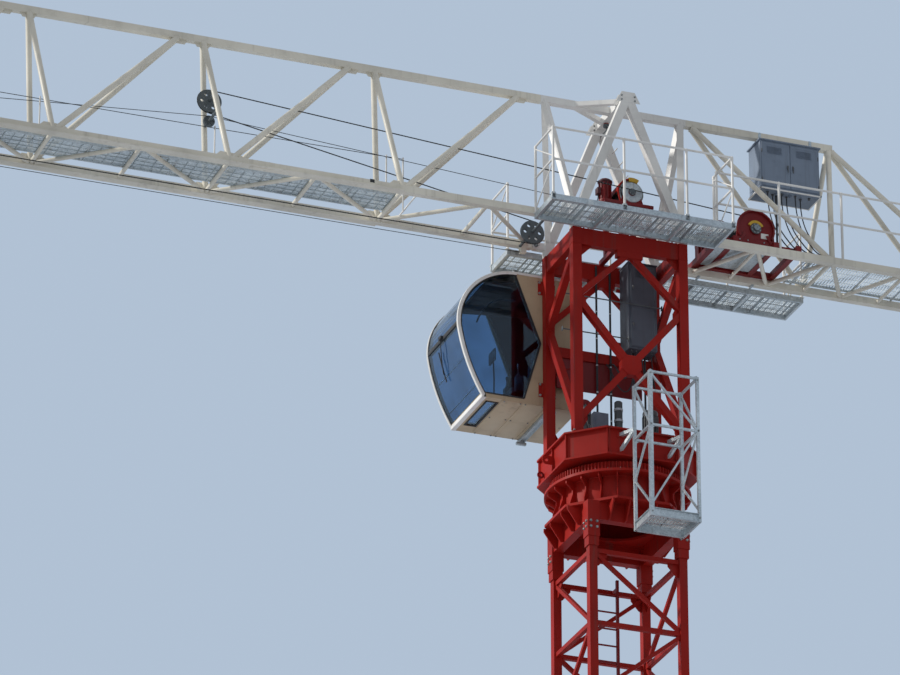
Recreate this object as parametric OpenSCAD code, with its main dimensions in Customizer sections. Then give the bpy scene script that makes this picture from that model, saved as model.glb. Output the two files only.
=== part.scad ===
// Tower crane: lattice mast, slewing unit, turret, jib and counter-jib.
// The origin is on the ground in the crane's axis, +Z is up and the jib points along -X.
// Heights of everything that turns are counted from the top of the slewing frame.

/* [Base] */
// Height of the crossed ground beams
base_h = 340; // [280:10:420]
// Flange width of a ground beam
base_beam_w = 300; // [240:10:360]
// Flange thickness of a ground beam
base_flange_t = 24; // [16:1:32]
// Web thickness of a ground beam
base_web_t = 20; // [14:1:30]
// Distance from the axis to the middle of a foot plate
base_reach = 2500; // [2100:50:3000]
// Side of a square foot plate
foot_s = 640; // [600:10:700]
// Thickness of a foot plate
foot_t = 40; // [30:1:60]
// Diameter of an anchor hole
anchor_d = 44; // [36:1:52]
// Circle on which the four anchor holes of a foot lie
anchor_pcd = 680; // [650:5:720]
// Radius of the plate where the ground beams cross
cross_plate_r = 420; // [380:10:480]

/* [Mast] */
// Distance between the mast legs' centres
mast_w = 1600; // [1520:10:1640]
// Side of a square mast leg
leg_s = 140; // [120:5:160]
// Height of one mast bay
bay_h = 3000; // [2600:50:3200]
// Number of whole mast bays
bay_count = 6; // [3:1:6]
// Side of a brace in the mast's sides
mast_brace_s = 76; // [56:2:90]
// Height of a bay's first brace over the bays' joint
bay_lead = 230; // [215:5:300]
// Side of the sleeve at a leg joint
sleeve_s = 184; // [176:2:200]
// Height of that sleeve
sleeve_h = 320; // [240:10:340]
// Diameter of the pins through a sleeve
sleeve_pin_d = 45; // [30:1:60]
// Width of the ladder inside the mast
ladder_w = 420; // [360:10:500]
// Side of a ladder rail
ladder_rail_s = 46; // [36:2:60]
// Spacing of the rungs
rung_pitch = 300; // [250:5:330]
// Diameter of a rung
rung_d = 28; // [20:1:34]
// Space between the ladder and the mast's far side
ladder_off = 180; // [140:10:260]

/* [Slewing support] */
// Height from the top of the mast to the seat of the bearing
support_h = 1170; // [1120:10:1300]
// Side of the sockets over the mast legs
socket_s = 210; // [190:5:230]
// Radius of the drum under the bearing
drum_r = 1000; // [940:10:1040]
// Wall of that drum
drum_wall = 30; // [20:1:50]
// Radius of the round bearing seat
seat_r = 1230; // [1200:5:1245]
// Thickness of the bearing seat
seat_t = 45; // [30:1:60]
// Height from the eight-sided flange to the bearing seat
drum_h = 490; // [440:10:540]
// Distance from the axis to the flange's flats
oct_flat = 1130; // [1090:5:1150]
// Number of upright ribs round the drum
rib_count = 24; // [16:4:32]
// Thickness of a rib
rib_t = 22; // [14:1:34]
// Height of the square ring under the flange
ring_beam_h = 320; // [260:10:360]
// Thickness of the walls of that ring
ring_beam_t = 160; // [120:10:180]
// Height from the bearing seat to the slewing frame
recess_h = 230; // [200:5:260]
// Number of teeth on the bearing's outer ring
tooth_count = 120; // [90:6:132]
// Tip radius of those teeth
tooth_tip_r = 1150; // [1135:1:1165]
// Height of a tooth
tooth_h = 34; // [26:1:40]
// Inside radius of the toothed ring
race_r = 985; // [970:1:1000]
// Height of the toothed ring
race_h = 150; // [120:5:170]
// Clearance round the inner ring of the bearing
race_gap = 6; // [5:1:9]
// Running clearance between the inner ring and the bearing seat
seat_gap = 0.3; // [0.2:0.1:0.6]
// Radial width of the inner ring of the bearing
inner_ring_w = 110; // [80:5:140]

/* [Slewing frame] */
// Height of the eight-sided slewing frame
frame_h = 500; // [440:10:560]
// Half length of the slewing frame along the jib
frame_x = 1200; // [1190:5:1230]
// Half width of the slewing frame across the jib
frame_y = 1150; // [1130:5:1180]
// Half length of the sides that face the cage and the cab
frame_flat_x = 647; // [620:5:680]
// Half length of the sides that face the jib and the counterweights
frame_flat_y = 625; // [600:5:650]
// Thickness of the frame's top and bottom plates
frame_plate_t = 30; // [20:1:40]
// Distance of the frame's web from the plates' edge
web_inset = 60; // [40:2:80]
// Thickness of the web
web_t = 25; // [16:1:34]
// Radius of the manhole through the slewing frame
manhole_r = 400; // [350:10:440]
// Diameter of a slewing gearbox
gearbox_d = 320; // [260:10:340]
// Distance from the axis to a slewing gearbox
gearbox_x = 610; // [600:5:630]

/* [Turret] */
// Height of the turret
turret_h = 3800; // [3600:20:4000]
// Distance from the axis to a post, along the jib
post_x = 965; // [945:5:985]
// Distance from the axis to a post, across the jib
post_y = 625; // [615:5:640]
// Side of a turret post
post_s = 160; // [140:5:176]
// Height of the beams round the turret's top
beam_h = 300; // [240:10:340]
// Thickness of those beams
beam_t = 120; // [90:5:130]
// Side of a turret brace
turret_brace_s = 116; // [90:2:126]
// Height at which the upper braces meet the posts
knee_z = 2530; // [2450:10:2600]
// Height at which the lower braces meet the posts
brace_foot_z = 260; // [220:10:320]
// Width of the plate where the braces cross
gusset_w = 350; // [300:10:420]

/* [Access cage] */
// Place of the cage's left posts along the jib
cage_left = -250; // [-280:10:-200]
// Length of the cage between post centres
cage_l = 840; // [760:10:860]
// Depth of the cage between post centres
cage_d = 690; // [620:10:760]
// Distance from the axis to the cage's inner posts
cage_in = 1370; // [1365:5:1400]
// Side of a cage post
cage_post_s = 50; // [40:2:56]
// Side of a cage rail
cage_bar_s = 36; // [28:2:40]
// Height of the cage's top over the slewing frame
cage_top = 670; // [600:10:760]
// Depth of the cage's floor under the slewing frame's top
cage_floor = 1780; // [1760:10:1840]
// Height of the channel round the floor
cage_rim_h = 150; // [110:5:160]
// Depth of the cage's middle rails
cage_mid = 300; // [260:10:340]
// Number of bars in the cage's floor
cage_floor_bars = 13; // [9:1:16]

/* [Cab] */
// Clearance between the turret's posts and the cab
cab_gap = 15; // [5:1:40]
// Width of the cab across the jib
cab_w = 1480; // [1380:10:1560]
// Height of the cab's floor over the slewing frame
cab_floor_z = 1080; // [1020:10:1140]
// Height of the cab
cab_h = 2400; // [2300:10:2500]
// Distance from the axis to the cab's back wall
cab_back_x = 400; // [340:10:460]
// Distance from the axis to the foot of the front glass
cab_toe_x = 2110; // [2060:10:2160]
// Distance from the axis to the cab's foremost edge
cab_nose_x = 2565; // [2500:5:2620]
// Height of the foremost edge over the cab's floor
cab_nose_z = 1260; // [1180:10:1340]
// Distance from the axis to the front end of the roof
cab_roof_x = 1500; // [1440:10:1560]
// Thickness of the cab's walls
cab_wall = 50; // [36:1:60]
// Bulge of the cab's upper front
cab_bulge = 350; // [300:10:400]
// Distance from the axis to the side glass's back edge at its waist
waist_x = 1075; // [1040:5:1120]
// Height of that waist over the cab's floor
waist_z = 1140; // [1080:10:1200]
// Width of the edge strips round the cab's glass
cab_strip = 55; // [40:1:70]
// Thickness of the glass
glass_t = 12; // [8:1:18]
// Clearance between a pane and its frame
glass_gap = 1; // [0.5:0.1:2]
// Diameter of the guard bars behind the front glass
guard_bar_d = 24; // [16:1:30]

/* [Platforms and rails] */
// Height of a platform's frame
deck_frame_h = 100; // [80:5:120]
// Thickness of a platform's side members
deck_frame_t = 40; // [30:1:50]
// Thickness of the grating
grating_t = 30; // [20:1:36]
// Spacing of the grating's bearing bars
grating_pitch = 110; // [90:5:140]
// Thickness of one bearing bar
grating_bar_t = 8; // [5:1:12]
// Clearance between a platform and the chords
deck_gap = 25; // [15:1:40]
// Width of the near platform
near_deck_w = 840; // [760:10:900]
// Length of the near platform towards the jib
near_deck_front = 1740; // [1640:10:1800]
// Length of the near platform away from the jib
near_deck_back = 1560; // [1480:10:1640]
// Width of the far walkway
far_deck_w = 770; // [700:10:840]
// Length of the far walkway towards the jib
far_deck_front = 1680; // [1600:10:1760]
// Length of the far walkway away from the jib
far_deck_back = 3810; // [3600:10:3900]
// Diameter of the guard rails
rail_d = 45; // [34:1:54]
// Height of the top rail
rail_top = 1250; // [1100:10:1300]
// Height of the middle rail
rail_mid = 660; // [560:10:720]

/* [A-frames] */
// Height of the apex over the turret's top
apex_h = 2660; // [2560:10:2760]
// Side of an A-frame leg
a_leg_s = 146; // [120:2:156]
// Height of the foot block under an A-frame leg
foot_block_h = 270; // [250:5:300]
// Reach of the lugs that hold the chords
lug_reach = 230; // [200:5:260]
// Thickness of one lug plate
lug_t = 24; // [16:1:28]
// Diameter of a chord pin
chord_pin_d = 60; // [44:1:70]
// Clearance of a chord pin in its eye
pin_gap = 0.5; // [0.3:0.1:1]

/* [Jib] */
// Number of whole jib bays
jib_bays = 6; // [4:1:6]
// Length of one jib bay
jib_bay = 3050; // [2900:10:3200]
// Height from the lower chords to the top chord
jib_h = 2490; // [2400:10:2560]
// Height of the lower chords over the turret's top
chord_rise = 180; // [170:5:200]
// Side of a chord
chord_s = 120; // [104:2:130]
// Diameter of the lattice tubes in the jib's sides
jib_tube_d = 100; // [76:2:108]
// Diameter of the lattice tubes in the jib's bottom
bottom_tube_d = 74; // [56:2:84]
// Lean of the jib's side posts away from the tower
post_lean = 300; // [240:10:360]
// Reach of a side diagonal towards the tower
diagonal_reach = 2330; // [2200:10:2440]
// Width of the trolley rail on the outside of a chord
trolley_rail_w = 46; // [36:1:56]
// Thickness of that rail
trolley_rail_t = 18; // [12:1:24]
// Width of the walkway inside the jib
walkway_w = 640; // [560:10:720]
// Number of jib bays that have no walkway
walkway_skip = 1; // [1:1:2]
// Height of the hoist rope's guide wheel over the chords
guide_rise = 1370; // [1300:10:1440]
// Height of the trolley rope's roller over the chords
roller_rise = 1060; // [1000:10:1120]

/* [Counter-jib] */
// Distance from the axis to the end of the counter-jib
counter_end = 8000; // [7600:50:8200]
// Distance from the axis to the counter-jib's first top node
counter_top_x = 1250; // [1200:10:1320]
// Length of one counter-jib bay
counter_bay = 2780; // [2680:10:2860]
// Diameter of the counter-jib's posts
counter_post_d = 116; // [90:2:122]
// Diameter of the counter-jib's diagonals
counter_diagonal_d = 96; // [76:2:106]
// Number of counterweight slabs
slab_count = 3; // [2:1:3]
// Thickness of a slab
slab_t = 420; // [360:10:440]
// Height of a slab under the chords
slab_drop = 2050; // [1700:10:2200]
// Height of the slab's shoulders over the chords
slab_head = 240; // [180:10:320]
// Clearance between the slabs and round the chords
slab_gap = 20; // [12:1:30]

/* [Hoist winch] */
// Distance from the axis to the hoist drum's centre
hoist_x = 2400; // [2360:10:2440]
// Height of the hoist drum's centre over the chords
hoist_rise = 380; // [360:5:420]
// Radius of the rope layer on the hoist drum
hoist_drum_r = 270; // [240:5:280]
// Radius of the hoist drum's flanges
hoist_flange_r = 325; // [300:5:335]
// Length of the hoist drum between its flanges
hoist_drum_l = 860; // [800:10:900]
// Thickness of the hoist drum's flanges
hoist_flange_t = 24; // [16:1:30]
// Thickness of the winch's side plates
hoist_plate_t = 30; // [20:1:40]
// Clearance between the drums and their side plates
drum_gap = 12; // [8:1:16]
// Width of an arched side plate
arch_w = 700; // [640:10:740]
// Diameter of the hoist drum's shaft
hoist_shaft_d = 110; // [90:2:130]
// Running clearance of a drum shaft in its bearing
shaft_gap = 0.08; // [0.05:0.01:0.1]
// Diameter of the hoist motor
hoist_motor_d = 360; // [300:10:380]

/* [Trolley winch] */
// Place of the trolley drum along the jib
trolley_drum_x = 240; // [200:10:280]
// Height of the trolley drum's centre over the turret
trolley_drum_rise = 1067; // [1020:1:1120]
// Radius of the rope layer on the trolley drum
trolley_drum_r = 170; // [150:5:180]
// Radius of the trolley drum's flanges
trolley_flange_r = 225; // [205:5:230]
// Length of the trolley drum between its flanges
trolley_drum_l = 360; // [320:10:400]
// Thickness of the trolley drum's flanges
trolley_flange_t = 16; // [12:1:22]
// Thickness of the trolley winch's side plates
trolley_plate_t = 20; // [14:1:26]
// Diameter of the trolley drum's shaft
trolley_shaft_d = 70; // [54:2:80]

/* [Trolley and hook] */
// Place of the trolley along the jib, from the axis
trolley_x = 12200; // [11800:50:12600]
// Length of the trolley
trolley_l = 1500; // [1400:10:1600]
// Diameter of a trolley wheel
wheel_d = 190; // [160:2:200]
// Thickness of a trolley wheel
wheel_t = 40; // [30:1:44]
// Depth of the hook block's top under the trolley
hook_drop = 1500; // [1200:50:1800]
// Diameter of a rope sheave
sheave_d = 420; // [380:10:440]
// Thickness of a rope sheave
sheave_t = 50; // [44:1:56]
// Diameter of the hoist rope
hoist_rope_d = 20; // [14:1:24]
// Diameter of the trolley rope
trolley_rope_d = 12; // [10:1:14]

/* [Cabinets and cables] */
// Width of the electrical cabinet along the counter-jib
cabinet_l = 1100; // [1000:10:1120]
// Depth of the electrical cabinet
cabinet_d = 500; // [420:10:560]
// Height of the electrical cabinet
cabinet_h = 930; // [800:10:980]
// Distance from the axis to the electrical cabinet
cabinet_x = 2640; // [2600:10:2680]
// Width of the control cabinet inside the turret
control_l = 520; // [440:10:580]
// Depth of the control cabinet
control_d = 380; // [320:10:420]
// Height of the control cabinet
control_h = 1600; // [1400:10:1640]
// Diameter of the power cables
cable_d = 34; // [24:1:40]

/* [Hidden] */
$fn = 48;

mast_h = bay_count * bay_h;
mast_top = base_h + mast_h;
seat_z = mast_top + support_h;
frame_bottom = seat_z + recess_h;
slew_z = frame_bottom + frame_h;
chord_z = turret_h + chord_rise;
chord_top = chord_z + chord_s / 2;
chord_under = chord_z - chord_s / 2;
top_chord_z = chord_z + jib_h;
apex_z = turret_h + apex_h;
jib_root = post_x + post_s / 2;
cut = 1;
slim = 0.84;

// A straight square bar from a to b
module bar(a, b, s) {
  v = b - a;
  l = norm(v);
  translate(a) rotate([0, acos(v[2] / l), atan2(v[1], v[0])]) translate([-s / 2, -s / 2, 0])
    cube([s, s, l]);
}

// A straight eight-sided tube from a to b, as thick as d across its flats
module tube(a, b, d) {
  sides = 8;
  v = b - a;
  l = norm(v);
  translate(a) rotate([0, acos(v[2] / l), atan2(v[1], v[0])]) rotate([0, 0, 180 / sides])
    cylinder(h = l, d = d / cos(180 / sides), $fn = sides);
}

// A block between two corners
module block(a, b) {
  translate(a) cube(b - a);
}

// An upright ring on a bore, h high from z
module ring(z, h, r, bore) {
  translate([0, 0, z])
    difference() {
      cylinder(h = h, r = r);
      translate([0, 0, -cut]) cylinder(h = h + 2 * cut, r = bore);
    }
}

// A round bar along Y, centred on p
module cross_pin(p, d, l) {
  translate(p) rotate([90, 0, 0]) cylinder(h = l, d = d, center = true);
}

// A flat shape drawn in X and Z, from y0 to y1
module plate_xz(y0, y1) {
  translate([0, y1, 0]) rotate([90, 0, 0]) linear_extrude(y1 - y0)
    children();
}

// A flat shape drawn in Y and Z, from x0 to x1
module plate_yz(x0, x1) {
  translate([x0, 0, 0]) rotate([90, 0, 90]) linear_extrude(x1 - x0)
    children();
}

module both_sides() {
  children();
  mirror([0, 1, 0])
    children();
}

module both_ends() {
  children();
  mirror([1, 0, 0])
    children();
}

module four_corners() {
  both_sides() both_ends()
    children();
}

// Moves what turns with the crane to its height
module upper() {
  translate([0, 0, slew_z])
    children();
}

function unit(v) = v / norm(v);

// Inward normal of the edge from a to b of an outline that runs anticlockwise
function inward(a, b) = unit([a[1] - b[1], b[0] - a[0]]);

// An anticlockwise outline drawn t further in
function inset(points, t) = [
  for (i = [0 : len(points) - 1])
    let (
      last = points[(i + len(points) - 1) % len(points)],
      here = points[i],
      next = points[(i + 1) % len(points)],
      n1 = inward(last, here),
      n2 = inward(here, next)
    )
    here + t * (n1 + n2) / (1 + n1 * n2)
];

// Points from a to b on an arc that bulges by the given height to the right
function arc(a, b, bulge, steps) =
  let (
    chord = b - a,
    half = norm(chord) / 2,
    radius = (half * half + bulge * bulge) / (2 * bulge),
    side = [chord[1], -chord[0]] / norm(chord),
    centre = (a + b) / 2 - side * (radius - bulge),
    sweep = asin(half / radius)
  )
  [for (i = [0 : steps])
    let (turn = sweep * (2 * i / steps - 1))
    centre + radius * (side * cos(turn) + unit(chord) * sin(turn))];

// One ground beam, along X
module ground_beam() {
  half = base_beam_w / 2;
  for (z = [0, base_h - base_flange_t])
    block([-base_reach, -half, z], [base_reach, half, z + base_flange_t]);
  block([-base_reach, -base_web_t / 2, 0], [base_reach, base_web_t / 2, base_h]);
}

// Crossed ground beams with a plate under each end and one in the middle
module base_frame() {
  leg_r = mast_w / 2 * sqrt(2);
  stiffener_t = 20;
  color("firebrick")
    rotate([0, 0, 45])
      difference() {
        union() {
          ground_beam();
          rotate([0, 0, 90]) ground_beam();
          cylinder(h = foot_t, r = cross_plate_r);
          for (a = [0 : 90 : 270])
            rotate([0, 0, a]) {
              translate([base_reach - foot_s / 2, -foot_s / 2, 0])
                cube([foot_s, foot_s, foot_t]);
              for (x = [leg_r - leg_s / 2, leg_r + leg_s / 2, base_reach])
                translate([x - stiffener_t / 2, -base_beam_w / 2, 0])
                  cube([stiffener_t, base_beam_w, base_h]);
            }
        }
        for (a = [0 : 90 : 270])
          rotate([0, 0, a]) translate([base_reach, 0, -cut])
            for (b = [45 : 90 : 315])
              rotate([0, 0, b])
                translate([anchor_pcd / 2, 0, 0])
                  cylinder(h = foot_t + 2 * cut, d = anchor_d);
      }
}

// Mast legs with the sleeves that join their lengths
module mast_leg_solids() {
  four_corners() translate([mast_w / 2, mast_w / 2, 0]) {
    translate([-leg_s / 2, -leg_s / 2, base_h])
      cube([leg_s, leg_s, mast_h]);
    for (i = [1 : bay_count - 1])
      translate([0, 0, base_h + i * bay_h])
        cube([sleeve_s, sleeve_s, sleeve_h], center = true);
    for (z = [base_h, mast_top - sleeve_h / 2])
      translate([-sleeve_s / 2, -sleeve_s / 2, z])
        cube([sleeve_s, sleeve_s, sleeve_h / 2]);
  }
}

module mast_legs() {
  pin_l = sleeve_s + 50;
  color("firebrick") {
    mast_leg_solids();
    four_corners()
      for (i = [1 : bay_count - 1])
        for (dz = [-1, 1])
          cross_pin([mast_w / 2, mast_w / 2, base_h + i * bay_h + dz * sleeve_h / 4], sleeve_pin_d, pin_l);
  }
}

// One side of the mast, drawn in the plane y = 0
module mast_side() {
  left = -mast_w / 2;
  right = mast_w / 2;
  for (i = [0 : bay_count - 1]) {
    low = base_h + i * bay_h + bay_lead;
    mid = base_h + (i + 0.5) * bay_h;
    high = base_h + (i + 1) * bay_h - bay_lead;
    for (z = [low, mid, high])
      bar([left, 0, z], [right, 0, z], mast_brace_s);
    bar([left, 0, low], [right, 0, mid], slim * mast_brace_s);
    bar([right, 0, mid], [left, 0, high], slim * mast_brace_s);
  }
}

module mast_lattice(turn) {
  color("firebrick") difference() {
    rotate([0, 0, turn]) translate([0, -mast_w / 2, 0]) mast_side();
    mast_leg_solids();
  }
}

module mast_near_lattice() { mast_lattice(0); }
module mast_right_lattice() { mast_lattice(90); }
module mast_far_lattice() { mast_lattice(180); }
module mast_left_lattice() { mast_lattice(270); }

module mast_ladder() {
  back = mast_w / 2 - mast_brace_s / 2;
  y = back - ladder_off;
  start = base_h + bay_lead;
  end = mast_top - bay_lead;
  bracket_s = 40;
  rail_end = 150;
  rungs = floor((end - start) / rung_pitch);
  color("darkred") {
    for (x = [-1, 1]) {
      translate([x * ladder_w / 2 - ladder_rail_s / 2, y - ladder_rail_s / 2, start - rail_end])
        cube([ladder_rail_s, ladder_rail_s, end - start + 2 * rail_end]);
      for (i = [0 : bay_count - 1])
        for (z = [base_h + i * bay_h + bay_lead, base_h + (i + 1) * bay_h - bay_lead])
          block([x * ladder_w / 2 - bracket_s / 2, y, z - bracket_s / 2],
            [x * ladder_w / 2 + bracket_s / 2, back, z + bracket_s / 2]);
    }
    for (i = [0 : rungs])
      tube([-ladder_w / 2, y, start + i * rung_pitch], [ladder_w / 2, y, start + i * rung_pitch], rung_d);
  }
}

// A toothed ring's outline, worked out from its tooth count
function tooth_outline(count, tip, root) = [
  for (i = [0 : count - 1])
    for (step = [[0, root], [0.2, tip], [0.45, tip], [0.65, root]])
      let (a = 360 * (i + step[0]) / count)
      step[1] * [cos(a), sin(a)]
];

// Sockets over the mast legs, square ring, eight-sided flange, ribbed drum and toothed ring
module slewing_support() {
  oct_top = seat_z - drum_h;
  oct_t = seat_t;
  ring_top = oct_top - oct_t;
  ring_low = ring_top - ring_beam_h;
  ring_out = mast_w / 2 + ring_beam_t / 2;
  ring_in = mast_w / 2 - ring_beam_t / 2;
  hub_r = 0.62 * drum_r;
  rib_top_r = seat_r - 30;
  rib_low_r = oct_flat - 10;
  cup_t = 24;
  cup_reach = oct_flat - 10;
  color("firebrick") {
    four_corners()
      translate([mast_w / 2 - socket_s / 2, mast_w / 2 - socket_s / 2, mast_top])
        cube([socket_s, socket_s, ring_top - mast_top]);
    difference() {
      block([-ring_out, -ring_out, ring_low], [ring_out, ring_out, ring_top]);
      block([-ring_in, -ring_in, ring_low - cut], [ring_in, ring_in, ring_top + cut]);
    }
    for (turn = [0 : 90 : 270])
      rotate([0, 0, turn])
        for (x = [-0.66, -0.3, 0.3, 0.66])
          translate([x * mast_w / 2 - cup_t / 2, 0, 0]) rotate([90, 0, 90])
            linear_extrude(cup_t)
              polygon([
                [mast_w / 2, ring_low], [ring_out + 60, ring_low], [cup_reach, ring_top - 60],
                [cup_reach, ring_top], [mast_w / 2, ring_top]
              ]);
    difference() {
      translate([0, 0, ring_top]) rotate([0, 0, 22.5])
        cylinder(h = oct_t, r = oct_flat / cos(22.5), $fn = 8);
      translate([0, 0, ring_top - cut]) cylinder(h = oct_t + 2 * cut, r = hub_r);
    }
    difference() {
      union() {
        translate([0, 0, oct_top]) cylinder(h = drum_h, r = drum_r);
        for (i = [0 : rib_count - 1])
          rotate([0, 0, 360 * (i + 0.5) / rib_count]) translate([0, rib_t / 2, 0])
            rotate([90, 0, 0])
              linear_extrude(rib_t)
                polygon([
                  [drum_r - drum_wall, oct_top], [rib_low_r, oct_top], [rib_low_r, oct_top + 60],
                  [drum_r + 60, oct_top + 0.45 * drum_h], [drum_r + 60, oct_top + 0.6 * drum_h],
                  [rib_top_r, seat_z - seat_t - 60], [rib_top_r, seat_z - seat_t],
                  [drum_r - drum_wall, seat_z - seat_t]
                ]);
      }
      translate([0, 0, oct_top - cut])
        cylinder(h = drum_h + 2 * cut, r = drum_r - drum_wall);
    }
    ring(seat_z - seat_t, seat_t, seat_r, race_r - inner_ring_w);
  }
  color("dimgray") difference() {
    translate([0, 0, seat_z]) linear_extrude(race_h)
      polygon(tooth_outline(tooth_count, tooth_tip_r, tooth_tip_r - tooth_h));
    translate([0, 0, seat_z - cut]) cylinder(h = race_h + 2 * cut, r = race_r);
  }
}

frame_outline = [
  [frame_x, -frame_flat_y], [frame_x, frame_flat_y], [frame_flat_x, frame_y],
  [-frame_flat_x, frame_y], [-frame_x, frame_flat_y], [-frame_x, -frame_flat_y],
  [-frame_flat_x, -frame_y], [frame_flat_x, -frame_y]
];
web_y = frame_y - web_inset;

// Eight-sided plate girder ring with a manhole, and the inner ring of the bearing under it
module slewing_frame() {
  inner_r = race_r - race_gap;
  tube_wall = 25;
  stiffener_t = 22;
  lug_w = 150;
  lug_hole_d = 60;
  color("firebrick") upper() {
    for (z = [-frame_h, -frame_plate_t])
      translate([0, 0, z])
        difference() {
          linear_extrude(frame_plate_t) polygon(frame_outline);
          translate([0, 0, -cut]) cylinder(h = frame_plate_t + 2 * cut, r = manhole_r);
        }
    difference() {
      translate([0, 0, -frame_h]) linear_extrude(frame_h)
        polygon(inset(frame_outline, web_inset));
      translate([0, 0, -frame_h + frame_plate_t])
        linear_extrude(frame_h - 2 * frame_plate_t)
          polygon(inset(frame_outline, web_inset + web_t));
      translate([0, 0, -frame_h - cut]) cylinder(h = frame_h + 2 * cut, r = manhole_r);
    }
    ring(-frame_h, frame_h, manhole_r + tube_wall, manhole_r);
    intersection() {
      translate([0, 0, -frame_h]) linear_extrude(frame_h)
        polygon(inset(frame_outline, stiffener_t));
      for (p = concat(frame_outline, [[frame_x, 0], [-frame_x, 0], [0, frame_y], [0, -frame_y]]))
        rotate([0, 0, atan2(p[1], p[0])])
          translate([norm(p) - 3 * web_inset, -stiffener_t / 2, -frame_h])
            cube([3 * web_inset, stiffener_t, frame_h]);
    }
    difference() {
      union() {
        translate([-frame_x - lug_w / 2, 0, -frame_h / 2])
          cross_pin([0, 0, 0], lug_w, stiffener_t);
        translate([-frame_x - lug_w / 2, -stiffener_t / 2, -frame_h / 2 - lug_w / 2])
          cube([lug_w / 2 + web_inset, stiffener_t, lug_w]);
      }
      translate([-frame_x - lug_w / 2, 0, -frame_h / 2])
        cross_pin([0, 0, 0], lug_hole_d, 2 * stiffener_t);
    }
    ring(-frame_h - recess_h + seat_gap, recess_h - seat_gap, inner_r, inner_r - inner_ring_w);
  }
}

// One upright geared motor on a flanged foot
module gear_motor(gear_d, gear_h, motor_d, motor_h, fins) {
  flange_h = 30;
  fin_w = 14;
  fin_reach = 18;
  cylinder(h = flange_h, d = gear_d + 40);
  cylinder(h = gear_h, d = gear_d);
  translate([0, 0, gear_h]) cylinder(h = flange_h, d = motor_d + 50);
  translate([0, 0, gear_h]) cylinder(h = motor_h, d = motor_d);
  for (i = [0 : fins - 1])
    rotate([0, 0, 360 * i / fins]) translate([0, -fin_w / 2, gear_h + 2 * flange_h])
      cube([motor_d / 2 + fin_reach, fin_w, motor_h - 4 * flange_h]);
}

module slewing_motors() {
  color("slategray") upper() both_ends()
    translate([gearbox_x, 0, 0]) gear_motor(gearbox_d, 420, 240, 460, 16);
}

// Turret posts on foot plates, tied by beams round the top
module turret_frame_solids() {
  foot_w = post_s + 60;
  foot_t = 25;
  four_corners() {
    translate([post_x - post_s / 2, post_y - post_s / 2, 0])
      cube([post_s, post_s, turret_h]);
    translate([post_x - foot_w / 2, post_y - foot_w / 2, 0]) cube([foot_w, foot_w, foot_t]);
  }
  both_sides()
    block([-post_x, post_y - beam_t / 2, turret_h - beam_h], [post_x, post_y + beam_t / 2, turret_h]);
  both_ends()
    block([post_x - beam_t / 2, -post_y, turret_h - beam_h], [post_x + beam_t / 2, post_y, turret_h]);
}

module turret_frame() {
  color("firebrick") upper()
    turret_frame_solids();
}

turret_apex = turret_h - beam_h;

// The upper pair of braces on a long side of the turret, in the plane y = 0
module turret_peak() {
  plate_w = 2 * turret_brace_s;
  both_ends() bar([0, 0, turret_apex - 20], [post_x, 0, knee_z], slim * turret_brace_s);
  translate([-plate_w, -turret_brace_s / 2, turret_apex - turret_brace_s])
    cube([2 * plate_w, turret_brace_s, turret_brace_s]);
}

module turret_near_bracing() {
  middle = (knee_z + brace_foot_z) / 2;
  plate_t = turret_brace_s + 24;
  color("firebrick") upper() difference() {
    translate([0, -post_y, 0]) {
      turret_peak();
      both_ends() bar([-post_x, 0, knee_z], [post_x, 0, brace_foot_z], turret_brace_s);
      translate([0, 0, middle]) rotate([90, 22.5, 0])
        cylinder(h = plate_t, d = gusset_w / cos(22.5), $fn = 8, center = true);
    }
    turret_frame_solids();
  }
}

// Portal side towards the cab, with a cross beam and curved knee plates under it
module turret_far_bracing() {
  portal_z = 2050;
  portal_h = 180;
  knee_w = 520;
  knee_h = 720;
  knee_r = 470;
  knee_t = 30;
  color("firebrick") upper() difference() {
    translate([0, post_y, 0]) {
      turret_peak();
      block([-post_x, -turret_brace_s / 2, portal_z - portal_h / 2],
        [post_x, turret_brace_s / 2, portal_z + portal_h / 2]);
      both_ends()
        for (z = [[0, knee_h], [portal_z - knee_h, portal_z - knee_h]])
          plate_xz(-knee_t / 2, knee_t / 2)
            difference() {
              translate([post_x - knee_w, z[0]]) square([knee_w, knee_h]);
              translate([post_x - knee_w, z[1]]) circle(r = knee_r);
            }
    }
    turret_frame_solids();
    block([-frame_x, 0, -frame_plate_t], [frame_x, frame_y, 0]);
  }
}

module turret_side_bracing() {
  low = [0, -post_y, brace_foot_z];
  mid = [0, post_y, knee_z - 100];
  high = [0, -post_y, turret_apex - 60];
  color("firebrick") upper() difference() {
    for (x = [-post_x, post_x])
      translate([x, 0, 0]) {
        bar(low, mid, turret_brace_s);
        bar(mid, high, turret_brace_s);
      }
    turret_frame_solids();
  }
}

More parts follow.
